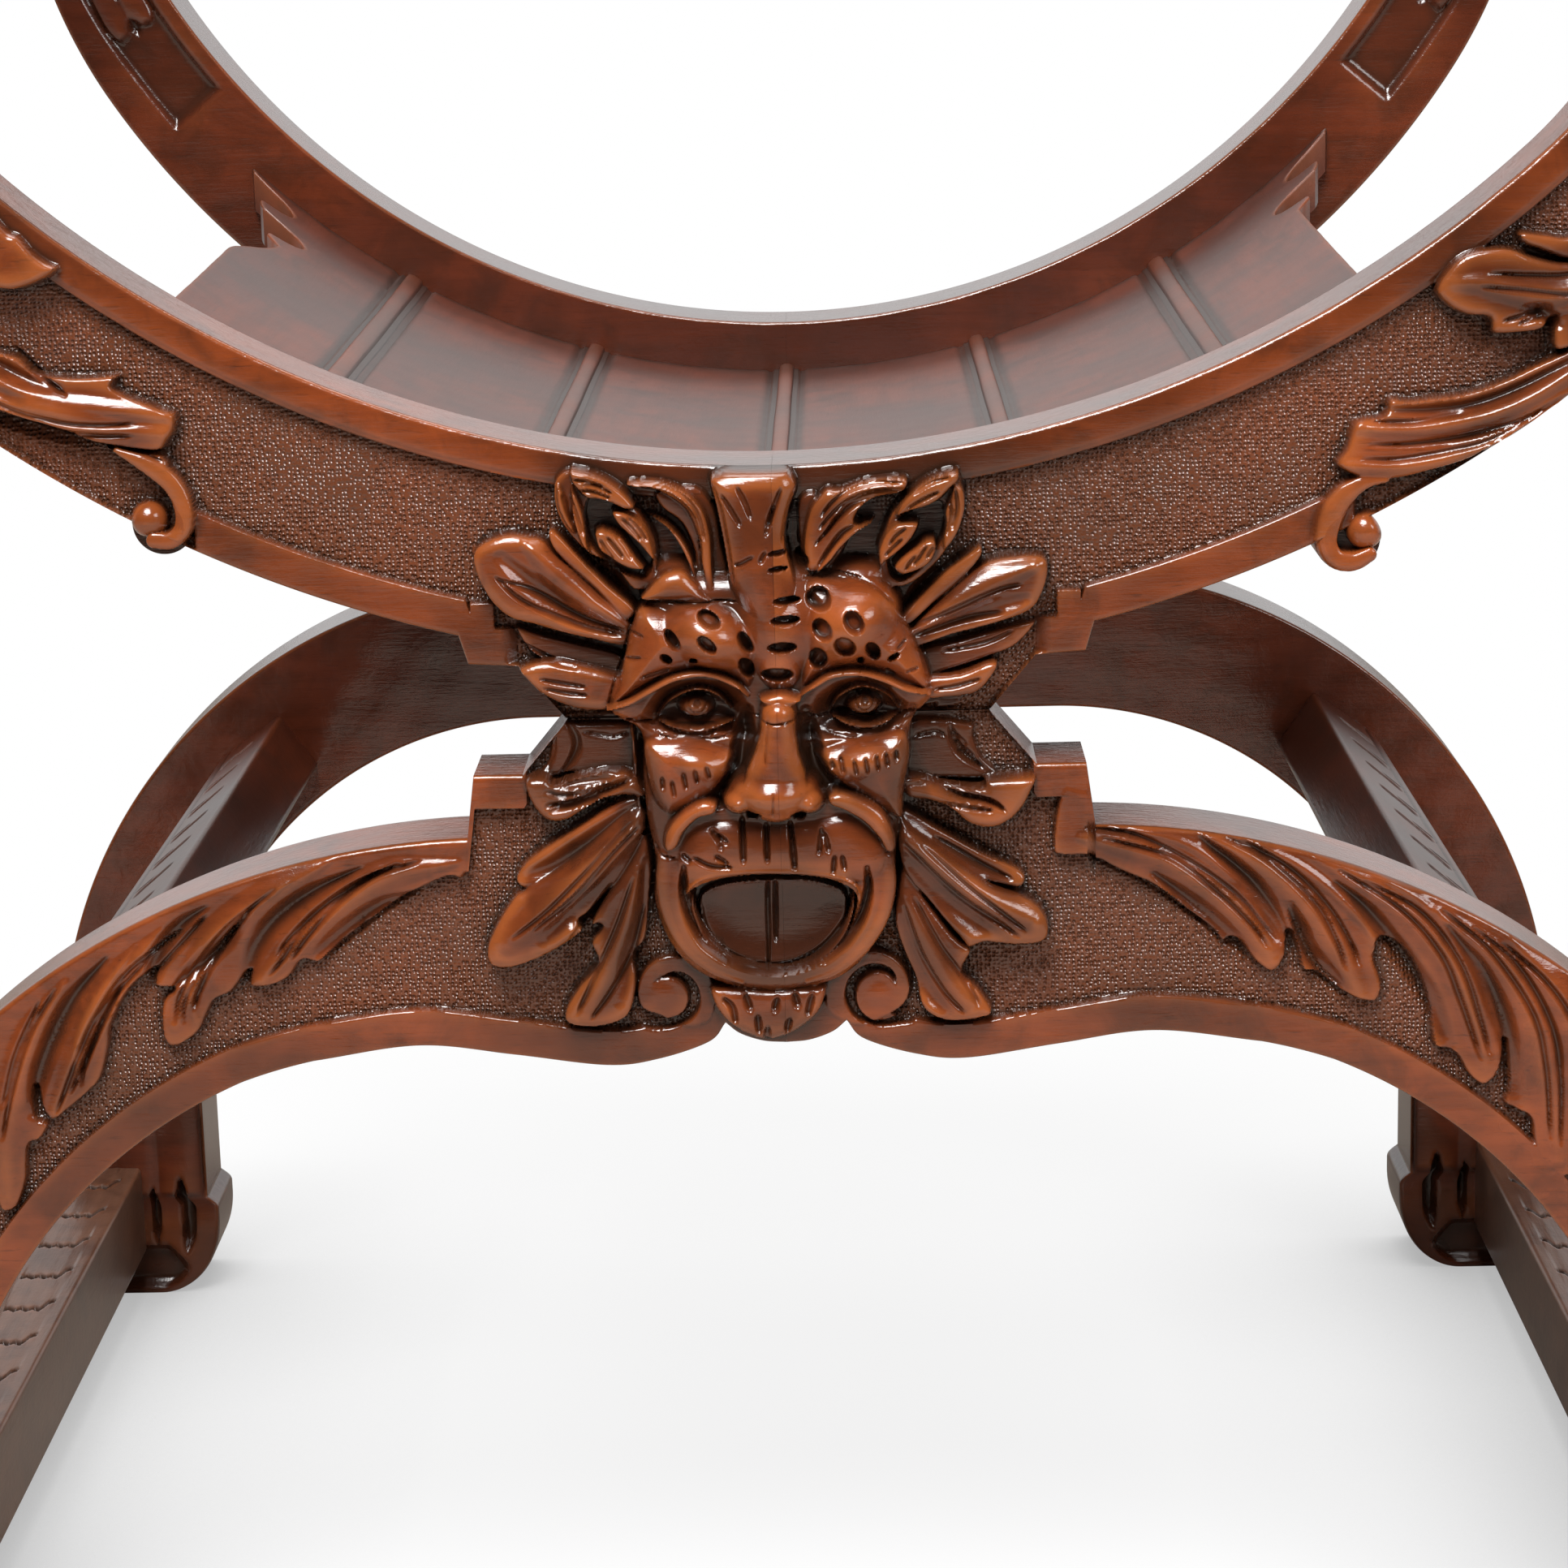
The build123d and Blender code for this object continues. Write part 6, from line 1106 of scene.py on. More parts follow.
# upper back relief: a panel up the arm is sunk by its depth over the width of its bevel,
# and a leaf is carved in it, placed by millimetres along the arc, which are degrees of
# turn about the rim's centre times the arc per degree
def backUpperRelief(xs, zs, w, span):
    rimC = chair["rimZ"] + backFrame["rimR"]
    turn = np.degrees(np.arctan2(np.abs(xs), np.maximum(rimC - zs, 1)))
    inside = armPanel["half"] - np.abs(w - armPanel["middle"])
    past = (turn - armPanel["from"]) * armPanel["perDegree"]
    room = np.minimum(np.minimum(inside, past), armPanel["top"] - zs)
    lift = -armPanel["depth"] * smooth(room, 0, armPanel["bevel"])
    lift = carve(lift, w - armPanel["middle"], past, armPanel["leaf"])
    return lift + handWork(xs, zs, 0.15), np.zeros_like(xs)


# leaf down the shin of the back legs, by share of the half width: lobes side by side over
# the toe, and slots given by place across, height, half width and half height
shinLeaf = {
    "top": 128, "foot": 50, "lobes": (-0.62, 0.0, 0.62), "lobeHalf": 0.34, "height": 2.2,
    "slots": ((-0.62, 38, 0.10, 20), (0.62, 38, 0.10, 20), (-0.2, 38, 0.055, 15), (0.2, 38, 0.055, 15)),
    "slot": 7, "lip": 6, "toe": 46, "under": 25,
}


# lower back relief: each lobe stands as the root of a parabola across the leg, with a
# valley between lobes; slots are sunk ellipses, the toe swells a little, and under it a
# recess leaves a lip along both borders
def backLowerRelief(xs, zs, w, span):
    q = 2 * w / span - 1
    lobe = np.zeros_like(xs)
    for at in shinLeaf["lobes"]:
        lobe = np.maximum(lobe, 1 - ((q - at) / shinLeaf["lobeHalf"]) ** 2)
    foot, toe = shinLeaf["foot"], shinLeaf["toe"]
    top = shinLeaf["top"] - 26 * np.abs(q)
    lift = shinLeaf["height"] * np.sqrt(lobe) * smooth(top - zs, 0, 9) * smooth(zs, foot - 4, foot)
    lift = lift - 1.6 * smooth(top - zs, 4, 22) * smooth(zs, toe, foot) * smooth(0.16 - lobe, 0, 0.16)
    # painted shade: darker towards the foot, and full in the slots and in the recess under the toe
    paintedShade = 0.6 * smooth(80 - zs, 0, 60)
    for at, height, half, tall in shinLeaf["slots"]:
        slot = smooth(1 - ((q - at) / half) ** 2 - ((zs - height) / tall) ** 2, 0, 0.7)
        lift, paintedShade = lift - shinLeaf["slot"] * slot, np.maximum(paintedShade, slot)
    border = np.minimum(w, span - w)
    rise = shinLeaf["under"] - zs - 30 * np.clip(np.abs(q) - 0.35, 0, 1)
    recess = smooth(rise, 0, 6) * smooth(border - shinLeaf["lip"], 0, 5)
    lift = lift + 1.2 * smooth(toe - zs, 0, 14) - 4.5 * recess * smooth(zs, 1, 7)
    return lift + handWork(xs, zs, 0.15), np.zeros_like(xs), np.maximum(paintedShade, recess)


rim, outer = upperEdges(backFrame, 1.6)
arch, under = lowerEdges(backFrame, backUnderside(), 1.3)
backFaces = (backFrame["y"], backFrame["y"] + backFrame["thick"])
for side, word in sides:
    flip, gap = (side, 1), (side * seamGap, 0)
    for half, first, second, relief, count in (
        ("Upper", rim, outer, backUpperRelief, 44), ("Lower", arch, under, backLowerRelief, 60),
    ):
        first, second = first * flip + gap, second * flip + gap
        piece = bandSolid("plain" + half + "_" + word, first, second, *backFaces, relief, count, chair["round"])
        fit(piece, plainWalnut, "plain_walnut", "back_" + half.lower() + "_" + word)
print("back frame made")

seat = {
    "from": -180.7, "to": 212.7, "frontR": 407, "frontZ": 835, "backR": 333, "backZ": 761, "thick": 13,
    "strips": (-163.5, -84, 0, 84, 163.5), "stripW": 11, "stripH": 2.6, "half": 216, "reach": 239,
    "earFrom": 116.7, "earSpur": 167.7, "step": 5, "groove": 1.2, "bites": (14, 14), "skew": (5, 11),
    "edge": 1.6, "joint": 0.15,
}


# height of the seat: circle across the chair whose radius and centre run evenly from
# the front frame to the back one
def seatHeight(x, y, below=0):
    t = (y - chair["rearOfFront"]) / (chair["faceOfBack"] - chair["rearOfFront"])
    r = seat["frontR"] + t * (seat["backR"] - seat["frontR"]) + below
    centre = seat["frontZ"] + t * (seat["backZ"] - seat["frontZ"])
    return centre - np.sqrt(r * r - x * x)


# distance from the middle to the end of the seat, at depth y on one side: straight, then a
# step and two round bites between spurs, which grow with powers of the share of the way
# along each bite; the left end is a little askew
def seatEnd(y, side):
    step, spur = seat["earFrom"] + seat["step"], seat["earSpur"]
    ahead = np.interp(y, [seat["earFrom"], step], [0, seat["step"]])
    first = np.clip((y - step) / (spur - step), 0, 1)
    second = np.clip((y - spur) / (seat["to"] - spur), 0, 1)
    bites = sum(
        deep * np.clip(1.7 * np.sin(np.pi * t) - 0.7, 0, 1) ** 0.5 for deep, t in zip(seat["bites"], (first, second))
    )
    skew = seat["skew"][0] - seat["skew"][1] * smooth(y, 50, seat["earFrom"]) if side < 0 else 0
    return seat["half"] + skew + ahead + 9 * first**2 + 9 * second**1.5 - bites


# board from front to back: its top is the seat's height less a rounding at both edges,
# with a bell-shaped gouge on each side of every strip; dirt with painted shade lies beside
# the strips and at both ends, where the boards meet the frames
def seatBoard(number, low, high):
    y = np.linspace(seat["from"], seat["to"], 110)[:, None]
    first = np.full_like(y, low) if low > -seat["reach"] else -seatEnd(y, -1)
    last = np.full_like(y, high) if high < seat["reach"] else seatEnd(y, 1)
    lead = np.array([0, 0.12, 0.5, 1.2, 2.2])
    span = last - first
    middle = lead[-1] + (span - 2 * lead[-1]) * np.linspace(0, 1, 60)[1:-1]
    w = np.concatenate((lead + 0 * span, middle, span - lead[::-1]), 1)
    x = first + w
    border = np.minimum(w, span - w)
    top = seatHeight(x, y) - roundOver(border, seat["edge"]) + handWork(x, y, 0.1)
    dirtAndShade = np.zeros_like(x)
    for strip in seat["strips"]:
        beside = np.abs(np.abs(x - strip) - seat["stripW"] / 2 - 1.4)
        top = top - seat["groove"] * np.exp(-((beside / 1.2) ** 2))
        dirtAndShade = np.maximum(dirtAndShade, np.exp(-((beside / 1.8) ** 2)))
    ends = np.minimum(y - seat["from"], seat["to"] - y)
    dirtAndShade = np.maximum(dirtAndShade, 0.95 * (1 - smooth(ends + np.sin(x / 3.1) + np.sin(x / 7.7), 1, 6)))
    back = first + span * np.linspace(1, 0, 12)
    z = np.concatenate((top, seatHeight(back, y, seat["thick"])), 1)
    x = np.concatenate((x, back), 1)
    wear = 0.5 * (1 - smooth(border, 0.5, 2.5))
    return ringMesh("seatBoard_" + str(number), np.stack((x, y + 0 * x, z), -1), {"dirtAndShade": dirtAndShade, "wear": wear})


# strip over a board joint: a narrow bead, a power of a half circle across the strip,
# between two quirks darkened with painted shade and dirt, all laid over the seat's height
def seatStrip(number, middle):
    y = np.linspace(seat["from"], seat["to"], 60)[:, None]
    u = np.linspace(1, -1, 41)
    across = seat["stripW"] / 2 * u * (1 + 0.02 * np.sin(y / 23))
    bead = np.sqrt(np.clip(1 - (u / 0.6) ** 2, 0, 1)) ** 0.7
    rise = seat["stripH"] * np.maximum(0.06 * (np.abs(u) < 0.999), bead) + 0 * y
    x = middle + across
    z = seatHeight(x, y) + rise + handWork(x, y, 0.1) * (rise > 0.5)
    quirk = smooth(np.abs(u), 0.5, 0.62) + 0 * y
    rings = np.stack((x, y + 0 * x, z), -1)
    return ringMesh("seatStrip_" + str(number), rings, {"wear": 0.2 * bead + 0 * y, "dirtAndShade": quirk}, sharp=50)


joints = (-seat["reach"], *seat["strips"], seat["reach"])
for number, (low, high) in enumerate(zip(joints[:-1], joints[1:]), start=1):
    low = low + seat["joint"] if low > -seat["reach"] else low
    high = high - seat["joint"] if high < seat["reach"] else high
    fit(seatBoard(number, low, high), seatWalnut, "seat_walnut", "seat_board_" + str(number))
for number, middle in enumerate(seat["strips"], start=1):
    fit(seatStrip(number, middle), seatWalnut, "seat_walnut", "seat_strip_" + str(number))
print("seat made")


# bar from front to back with carving on its top: the section is a box whose corners are
# rounded by radius r, and its top edge carries the relief, which fades out at both ends
def carvedBar(name, corner, acrossWay, upWay, width, thick, relief):
    r, clear = 1.8, 2.8
    y = np.linspace(chair["rearOfFront"] + 0.2, chair["faceOfBack"] - 0.2, 400)[:, None]
    span = np.full_like(y, width)
    w = acrossBand(span, 46)
    lift = relief(y, w) * smooth(np.minimum(y - y[0], y[-1] - y), 0, 3)
    border = np.minimum(w, span - w)
    top = lift * smooth(border, 0, 1.5) - roundOver(border, r)
    low = np.array([0, 0.5, r])
    ring = np.concatenate((w, span, span, span - low, low[::-1] + 0 * span, 0 * span, 0 * span), 1)
    fall = roundOver(low, r)
    rest = [-clear, -thick + clear, *(fall - thick), *(fall[::-1] - thick), -thick + clear, -clear]
    up = np.concatenate((top, np.array(rest) + 0 * span), 1)
    x = corner[0] + ring * acrossWay[0] + up * upWay[0]
    z = corner[1] + ring * acrossWay[1] + up * upWay[1]
    # painted shade with dirt: darker in the gouges and below the mean height nearby
    hollow = blur(lift, 3) - lift
    dirtAndShade = np.clip(smooth(hollow, 0.05, 0.5) + smooth(blur(lift, 8) - lift, 0.2, 1.2), 0, 1)
    dirtAndShade = np.clip(1.7 * blur(dirtAndShade, 1), 0, 1)
    wear = 0.4 * np.clip(smooth(-hollow, 0.05, 0.6) + 0.7 * (1 - smooth(border, 0.2, r)), 0, 1)
    return ringMesh(name, np.stack((x, y + 0 * x, z), -1), {"dirtAndShade": dirtAndShade, "wear": wear}, sharp=60)


rail = {
    "turn": 35, "inR": 176, "thick": 29, "width": 34, "pitch": 44, "slant": -30, "lens": (15, 3.2), "cut": 3.2,
    "off": 1, "line": 10.5,
}


# slanting lens-shaped gouges in a row down the middle, each sunk by a smooth step of the
# ellipse it fills, with a thin one beside it, and a straight line along one border
def railRelief(y, w):
    v = w - rail["width"] / 2 - rail["off"]
    a = np.radians(rail["slant"])
    longHalf, wideHalf = rail["lens"]
    lift = -0.9 * np.exp(-(((v - rail["line"]) / 0.9) ** 2)) + 0 * y
    for shift in (-1, 0, 1):
        u = (y + rail["pitch"] / 2) % rail["pitch"] - rail["pitch"] / 2 + shift * rail["pitch"]
        along = u * np.cos(a) + v * np.sin(a)
        beside = v * np.cos(a) - u * np.sin(a) + 1.2 * np.sin(along / 5)
        lift = lift - rail["cut"] * smooth(1 - (along / longHalf) ** 2 - (beside / wideHalf) ** 2, 0, 0.8)
        lift = lift - 0.9 * smooth(1 - (along / 9) ** 2 - ((beside - 6.5) / 1.2) ** 2, 0, 0.8)
    return lift


runner = {
    "x": 311, "z": 20, "width": 33, "height": 42, "pitch": 39, "lip": 6, "sink": 0.7, "from": -10,
    "ripple": 5.2, "hook": 10,
}


# rows of shallow scales across the top, parted by gouge lines; a line waves with the cube
# of a cosine and hooks at the inner end, a scale climbs with the root of the way to the
# next line, and two plain fillets run beside them
def runnerRelief(y, w):
    v = w - runner["width"] / 2
    inside = smooth(runner["width"] / 2 - runner["lip"] - np.abs(v), 0, 0.8)
    wave = 1.5 * np.cos(v * 2 * np.pi / runner["ripple"]) ** 3 - runner["hook"] * smooth(-v, 5, 10.5)
    t = ((y - runner["from"] + wave) / runner["pitch"]) % 1
    cut = np.exp(-((np.minimum(t, 1 - t) * runner["pitch"] / 1.7) ** 2))
    scale = 0.9 * np.sqrt(t) - 2.8 * cut
    return inside * (scale - runner["sink"])


for side, word in sides:
    a = np.radians(rail["turn"])
    outward = np.array([side * np.sin(a), np.cos(a)])
    along = np.array([side * np.cos(a), -np.sin(a)])
    corner = np.array([side * chair["haunchX"], backFrame["haunchZ"]]) + (rail["inR"] + rail["thick"]) * outward
    piece = carvedBar("sideRail_" + word, corner, along, outward, rail["width"], rail["thick"], railRelief)
    fit(piece, railWalnut, "rail_walnut", "side_rail_" + word)
    corner = (side * runner["x"], runner["z"] + runner["height"])
    size = (runner["width"], runner["height"])
    piece = carvedBar("carvedRunner_" + word, corner, (side, 0), (0, 1), *size, runnerRelief)
    fit(piece, runnerWalnut, "rail_walnut", "runner_" + word)
print("rails and runners carved")


# disc about the x axis with a spiral on both faces: rings run out from the middle of one
# face, over the rim and back in on the other; the spiral's height is a cosine of the
# radius times the turns less the angle, and a boss shaped like half a ball fills its eye
def scrollDisc(name, centre, r, half, turns, hand, proud):
    out = np.concatenate(([0.02], np.linspace(0.06, 1, 36)))
    angle = np.linspace(0, 2 * np.pi, 120, endpoint=False)
    radii, angles = np.meshgrid(out, angle, indexing="ij")
    wrap = radii * turns - hand * angles / (2 * np.pi)
    ridge = 0.5 - 0.5 * np.cos(2 * np.pi * wrap)
    eye = 0.26
    rise = proud * ridge**0.6 * smooth(radii, 0.2, 0.34) * (1 - smooth(radii, 0.93, 1.0))
    rise = np.maximum(rise, proud * 1.15 * np.sqrt(np.clip(1 - (radii / eye) ** 2, 0, 1)))
    face = half + rise - roundOver((1 - radii) * r, 1.6)
    y, z = r * radii * np.cos(angles), r * radii * np.sin(angles)
    rings = np.stack((
        centre[0] + np.concatenate((face, -face[::-1])), centre[1] + np.concatenate((y, y[::-1])),
        centre[2] + np.concatenate((z, z[::-1])),
    ), -1)
    # painted shade with dirt in the spiral's valleys
    hollow = smooth(0.45 - ridge, 0, 0.4) * (radii > eye) * (radii < 0.94)
    hollow = np.concatenate((hollow, hollow[::-1]))
    return ringMesh(name, rings, {"dirtAndShade": 0.8 * hollow, "wear": 0.6 * (1 - hollow)}, sharp=60)


bandScroll = {"right": (193.9, 419.0, 11.2), "left": (-206.7, 433.4, 10.6), "rear": -186, "sunk": -5}


# scrolls that hang under the arms of the front frame: round solids whose face is carved
# with the same rows as the band they hang from
def curlDisc(name, at, rows):
    out = np.concatenate(([0.01], np.linspace(0.03, 1, 44)))
    radii, angles = np.meshgrid(out, np.linspace(0, 2 * np.pi, 190, endpoint=False), indexing="ij")
    xs, zs = at[0] + at[2] * radii * np.cos(angles), at[1] + at[2] * radii * np.sin(angles)
    lift = carve(np.full_like(xs, bandScroll["sunk"]), xs, zs, rows)
    ys = frontFrame["y"] - lift + roundOver((1 - radii) * at[2], 2.6) * (lift > -3)
    rear = bandScroll["rear"] - roundOver((1 - radii[::-4]) * at[2], 2)
    # painted shade with dirt where the face is sunk
    hollow = np.concatenate((smooth(-lift, 0.5, 3), 0 * radii[::-4]))
    rings = np.stack((np.concatenate((xs, xs[::-4])), np.concatenate((ys, rear)), np.concatenate((zs, zs[::-4]))), -1)
    return ringMesh(name, rings, {"dirtAndShade": 0.9 * hollow, "wear": 0.5 * (1 - hollow)}, sharp=70)


arm = {
    "front": -237, "back": 213, "under": 690, "top": 716, "frontX": 328.8, "backX": 306.9,
    "frontW": 64, "backW": 50, "scrollR": 20, "scrollZ": 696, "scrollHalf": 31.5, "turns": 2.4, "proud": 1.4,
    "channel": 1.3,
}


# section of the arm: a box rounded by powers of cosine and sine, crowned on top, carried
# from the back post to the scroll along a smooth step in width and place; a shallow
# bell-shaped channel runs along each side of the top
def armrest(word, side):
    y = np.linspace(arm["back"], arm["front"], 170)[:, None]
    t = (y - arm["back"]) / (arm["front"] - arm["back"])
    swing = t * t * (3 - 2 * t)
    half = (arm["backW"] + (arm["frontW"] - arm["backW"]) * swing) / 2
    middle = arm["backX"] + (arm["frontX"] - arm["backX"]) * swing
    angle = np.linspace(0, 2 * np.pi, 72, endpoint=False)
    c, s = np.cos(angle), np.sin(angle)
    u = np.sign(c) * np.abs(c) ** 0.42
    v = np.sign(s) * np.abs(s) ** 0.5
    level = (arm["top"] + arm["under"]) / 2
    high = (arm["top"] - arm["under"]) / 2
    channel = arm["channel"] * np.exp(-(((np.abs(u) - 0.74) * half / 1.5) ** 2)) * (v > 0.6)
    x = side * (middle + half * u)
    z = level + high * v * (1 - 0.10 * (v > 0) * u * u) - channel
    # painted shade with dirt in the channels
    fields = {"dirtAndShade": 0.7 * channel / arm["channel"], "wear": 0.5 * (v > 0.9) + 0 * x}
    return ringMesh("shapedArmrest_" + word, np.stack((x, y + 0 * x, z), -1), fields)


for side, word in sides:
    fit(armrest(word, side), armWalnut, "arm_walnut", "armrest_" + word)
    at = (side * arm["frontX"], arm["front"], arm["scrollZ"])
    scroll = (arm["scrollR"], arm["scrollHalf"], arm["turns"], side, arm["proud"])
    fit(scrollDisc("armScroll_" + word, at, *scroll), armWalnut, "arm_walnut")
    rows = (armRight if side > 0 else armLeft).values()
    fit(curlDisc("bandScroll_" + word, bandScroll[word], rows), carvedWalnut, "carved_walnut")
print("armrests made")

panel = {
    "half": 285.6, "low": 676.8, "top": 799.8, "face": 226, "rear": 244, "inset": 24, "sink": 3, "bevel": 7,
    "round": 1.2,
}


# back panel: a field inside an even border is sunk over the width of its bevel, with a
# small bell-shaped bead just outside it
def panelRelief(xs, zs, w, span):
    inside = np.minimum(panel["half"] - np.abs(xs), np.minimum(zs - panel["low"], panel["top"] - zs)) - panel["inset"]
    field = smooth(inside, 0, panel["bevel"])
    bead = 1.1 * np.exp(-((inside + 1.5) ** 2) / 3)
    return -panel["sink"] * field + bead + handWork(xs, zs, 0.1), np.zeros_like(xs)


x = np.linspace(-panel["half"], panel["half"], 300)
piece = bandSolid(
    "backPanel", np.stack((x, x * 0 + panel["top"]), 1), np.stack((x, x * 0 + panel["low"]), 1),
    panel["face"], panel["rear"], panelRelief, 60, panel["round"],
)
fit(piece, crestWalnut, "arm_walnut", "back_panel")

crest = {
    "half": 341.9, "low": 800, "middle": 902, "dip": 852, "end": 844, "face": 221, "rear": 249,
    "shoulder": (60, 893), "rim": 10, "foot": 6, "endBorder": 12, "sink": 2.6, "round": 3.0,
}
crestLeaves = {   # right half; the left half is its mirror image
    "palm": ("strap", ((0, 812), (0, 850), (0, 886)), (3, 7, 4), 0.8, 2.4),
    "palmSide": ("strap", ((5, 812), (18, 842), (28, 870)), (3, 7, 4), 0.6, 2.2),
    "palmLow": ("strap", ((9, 811), (34, 830), (54, 850)), (3, 7, 4), 0.4, 2.0),
    "longLeaf": ("strap", ((44, 812), (110, 824), (175, 836), (236, 822), (258, 812)), (4, 10, 10, 7, 3), 0.4, 2.4),
    "backLeaf": ("strap", ((150, 830), (205, 822), (262, 832), (306, 824)), (3, 7, 7, 3), 0, 2.2),
    "veins": ("cuts", 0.6, 1.3, (
        ((0, 816), (0, 850), (0, 880)), ((6, 816), (18, 842), (26, 864)), ((12, 814), (34, 830), (50, 846)),
        ((60, 815), (120, 822), (180, 832), (240, 820)), ((80, 822), (130, 829), (180, 838), (225, 828)),
        ((190, 826), (240, 828), (290, 827)),
    )),
}


# crest: the ground is sunk inside plain borders, the leaves stand on it, and the dots are
# punched where it is left bare
def crestRelief(xs, zs, w, span):
    sunk = smooth(w, crest["rim"] - 0.5, crest["rim"] + 0.5) * smooth(span - w, crest["foot"], crest["foot"] + 1)
    lift = -crest["sink"] * sunk * smooth(crest["half"] - crest["endBorder"] - np.abs(xs), 0, 1)
    lift = carve(lift, np.abs(xs), zs, crestLeaves.values())
    return lift + handWork(xs, zs, 0.1), (lift < -2.2) * 1.0


line = smoothLine([
    (0, crest["middle"]), crest["shoulder"], (crest["half"] / 2, crest["dip"]), (crest["half"], crest["end"]),
], 420)
line = line[np.concatenate(([True], np.diff(line[:, 0]) > 0))]
x = np.linspace(-crest["half"], crest["half"], 621)
top = np.interp(np.abs(x), line[:, 0], line[:, 1])
piece = bandSolid(
    "crestRail", np.stack((x, top), 1), np.stack((x, 0 * x + crest["low"]), 1),
    crest["face"], crest["rear"], crestRelief, 70, crest["round"],
)
fit(piece, crestWalnut, "arm_walnut", "crest_rail")
print("back and crest made")

# pieces that keep their solids
beechTone = dict(
    seatTone, dark=(0.36, 0.22, 0.11), light=(0.46, 0.30, 0.16), streak=(0.30, 0.17, 0.08),
    pore=(0.22, 0.12, 0.06), coat=0.0, rough=0.6,
)
beech = walnut("rawBeech", beechTone)
brass = bpy.data.materials.new("agedBrass")
brass.use_nodes = True
feed, add, maths, ramp = nodeTools(brass.node_tree)
tarnish = add("TexNoise", {"Vector": add("TexCoord").outputs["Object"], "Scale": 420})
tint = add("ValToRGB", {0: tarnish.outputs[0]})
tint.color_ramp.elements[0].color = (0.16, 0.09, 0.03, 1)
tint.color_ramp.elements[1].color = (0.55, 0.38, 0.15, 1)
feed(brass.node_tree.nodes["Principled BSDF"], {"Base Color": tint.outputs[0], "Metallic": 1, "Roughness": 0.35})
keptFinish = {
    "seat_bearer_front": plainWalnut, "seat_bearer_back": plainWalnut, "front_dowels": beech,
    "back_dowels": beech, "front_bearer_screws": brass, "back_bearer_screws": brass,
}
for name, finish in keptFinish.items():
    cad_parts[name].data.materials.clear()
    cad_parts[name].data.materials.append(finish)
print("hidden pieces painted")

floorMesh = bpy.data.meshes.new("floor")
floorMesh.from_pydata([(-4, -4, 0), (4, -4, 0), (4, 4, 0), (-4, 4, 0)], [], [(0, 1, 2, 3)])
floor = bpy.data.objects.new("floor", floorMesh)
bpy.context.scene.collection.objects.link(floor)
# white paint, dim where the polish mirrors it: what the camera sees of it is mostly its
# own white, so the shadows on it stay faint, and past the chair it is only white
floorPaint = bpy.data.materials.new("floorPaint")
floorPaint.use_nodes = True
nodes = floorPaint.node_tree.nodes
feed, add, maths, ramp = nodeTools(floorPaint.node_tree)
sight = add("LightPath").outputs
away = add("VectorMath", {0: add("TexCoord").outputs["Object"]}, operation="LENGTH").outputs["Value"]
direct = maths("MAXIMUM", sight["Is Camera Ray"], sight["Is Transmission Ray"])
seen = maths("MULTIPLY", ramp(away, 0.3, 0.9, 0.86), direct)
# the glow is dimmed by ambient occlusion where the chair is near: a painted contact shadow
near = add("AmbientOcclusion", {"Distance": 0.16}, samples=12).outputs["AO"]
shadowedGlow = add("Emission", {"Strength": ramp(near, 0.35, 1.0, 0.5, 1.0, "LINEAR")})
whites = {6: (0.80, 0.80, 0.80, 1), 7: (0.40, 0.34, 0.29, 1)}   # as lit, and as the gloss mirrors it
dimmed = add("Mix", {"Factor": sight["Is Glossy Ray"], **whites}, data_type="RGBA").outputs[2]
paint = feed(nodes["Principled BSDF"], {"Base Color": dimmed, "Roughness": 0.9, "Specular IOR Level": 0.0})
blend = add("MixShader", {0: seen, 1: paint.outputs[0], 2: shadowedGlow.outputs[0]})
feed(nodes["Material Output"], {"Surface": blend.outputs[0]})
floorMesh.materials.append(floorPaint)

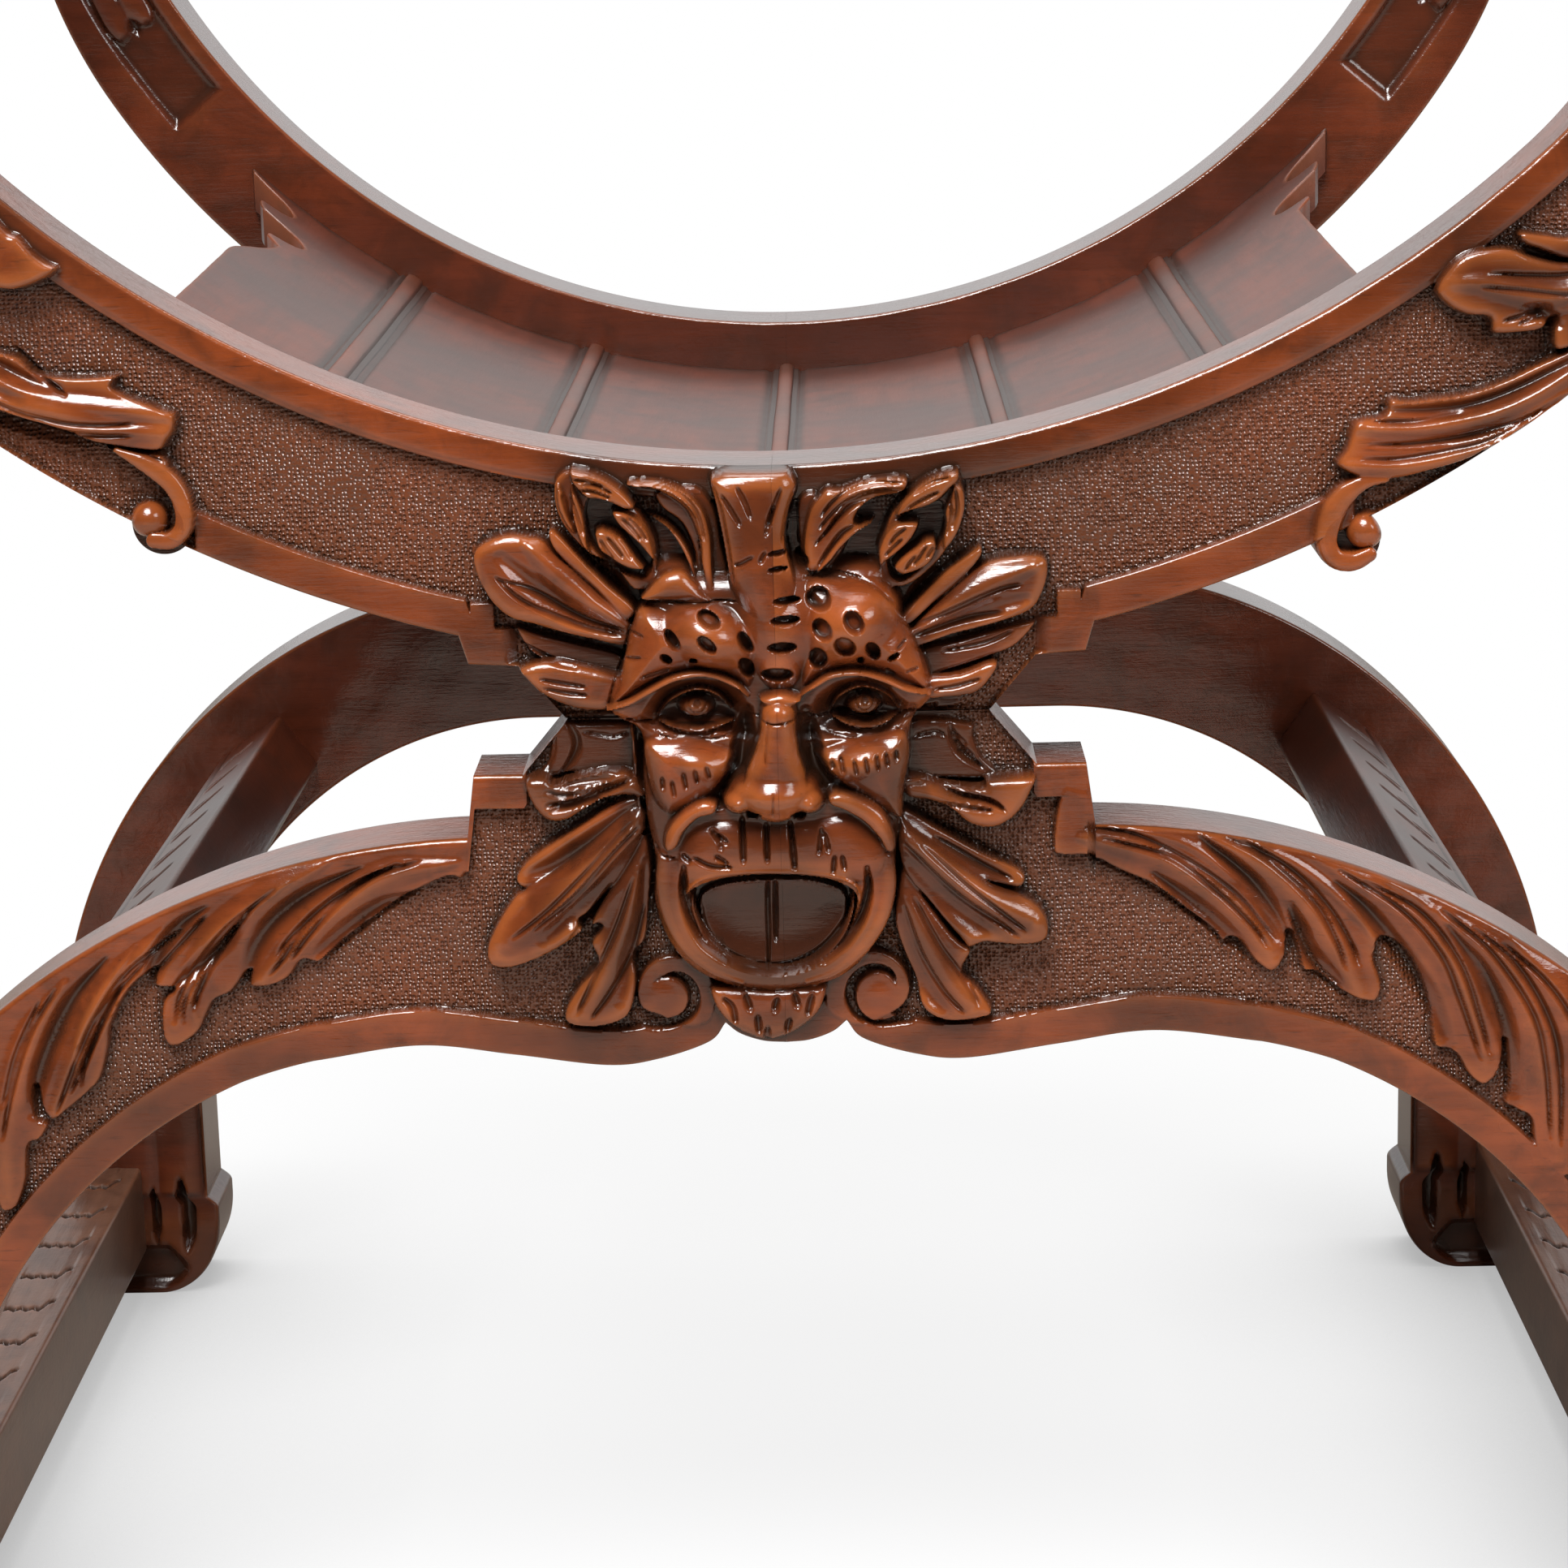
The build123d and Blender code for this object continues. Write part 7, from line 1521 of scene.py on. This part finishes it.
# world: white to the camera; gloss meets white behind the chair and a dim room in
# front of it; its light on the chair is plain
world = bpy.data.worlds.new("studio")
bpy.context.scene.world = world
world.use_nodes = True
feed, add, maths, ramp = nodeTools(world.node_tree)
sight = add("LightPath").outputs
shown = maths("MAXIMUM", sight["Is Camera Ray"], sight["Is Transmission Ray"])
heading = add("SeparateXYZ", {0: add("TexCoord").outputs["Generated"]}).outputs["Y"]
backdrop = ramp(heading, -0.1, 0.7, 0.04, 0.72)
inGloss = add("Mix", {"Factor": sight["Is Glossy Ray"], "A": 0.20, "B": backdrop}).outputs["Result"]
inSight = add("Mix", {"Factor": shown, "A": inGloss, "B": 1.0}).outputs["Result"]
feed(world.node_tree.nodes["Background"], {"Color": (1, 1, 1, 1), "Strength": inSight})

lamps = {  # place, size in metres, watts
    "keyLamp": ((-0.35, -1.25, 2.25), 1.3, 104), "fillLamp": ((1.5, -1.2, 1.4), 0.9, 16),
    "topLamp": ((0.1, 0.5, 2.5), 1.4, 22),
}
lampAim = Vector((0, 0, 0.4))
for name, (at, size, watts) in lamps.items():
    lamp = bpy.data.lights.new(name, "AREA")
    lamp.shape = "DISK"
    lamp.size = size
    lamp.energy = watts
    holder = bpy.data.objects.new(name, lamp)
    holder.location = at
    holder.rotation_euler = (Vector(at) - lampAim).to_track_quat("Z", "Y").to_euler()
    bpy.context.scene.collection.objects.link(holder)

view = {"at": (0.0239, -1.516, 0.642), "yaw": -0.0173, "pitch": 0.2291, "roll": -0.026, "lens": 89.44}
yaw, pitch, roll = view["yaw"], view["pitch"], view["roll"]
ahead = np.array([np.sin(yaw) * np.cos(pitch), np.cos(yaw) * np.cos(pitch), -np.sin(pitch)])
level = np.array([np.cos(yaw), -np.sin(yaw), 0])
above = np.cross(level, ahead)
right = np.cos(roll) * level + np.sin(roll) * above
up = np.cos(roll) * above - np.sin(roll) * level
lens = bpy.data.cameras.new("camera")
lens.lens = view["lens"]
lens.sensor_width = 36
camera = bpy.data.objects.new("camera", lens)
camera.matrix_world = Matrix.Translation(view["at"]) @ Matrix(np.stack((right, up, -ahead), 1).tolist()).to_4x4()
bpy.context.scene.collection.objects.link(camera)
bpy.context.scene.camera = camera
bpy.context.scene.view_settings.view_transform = "Standard"
print("room, lamps and camera set")
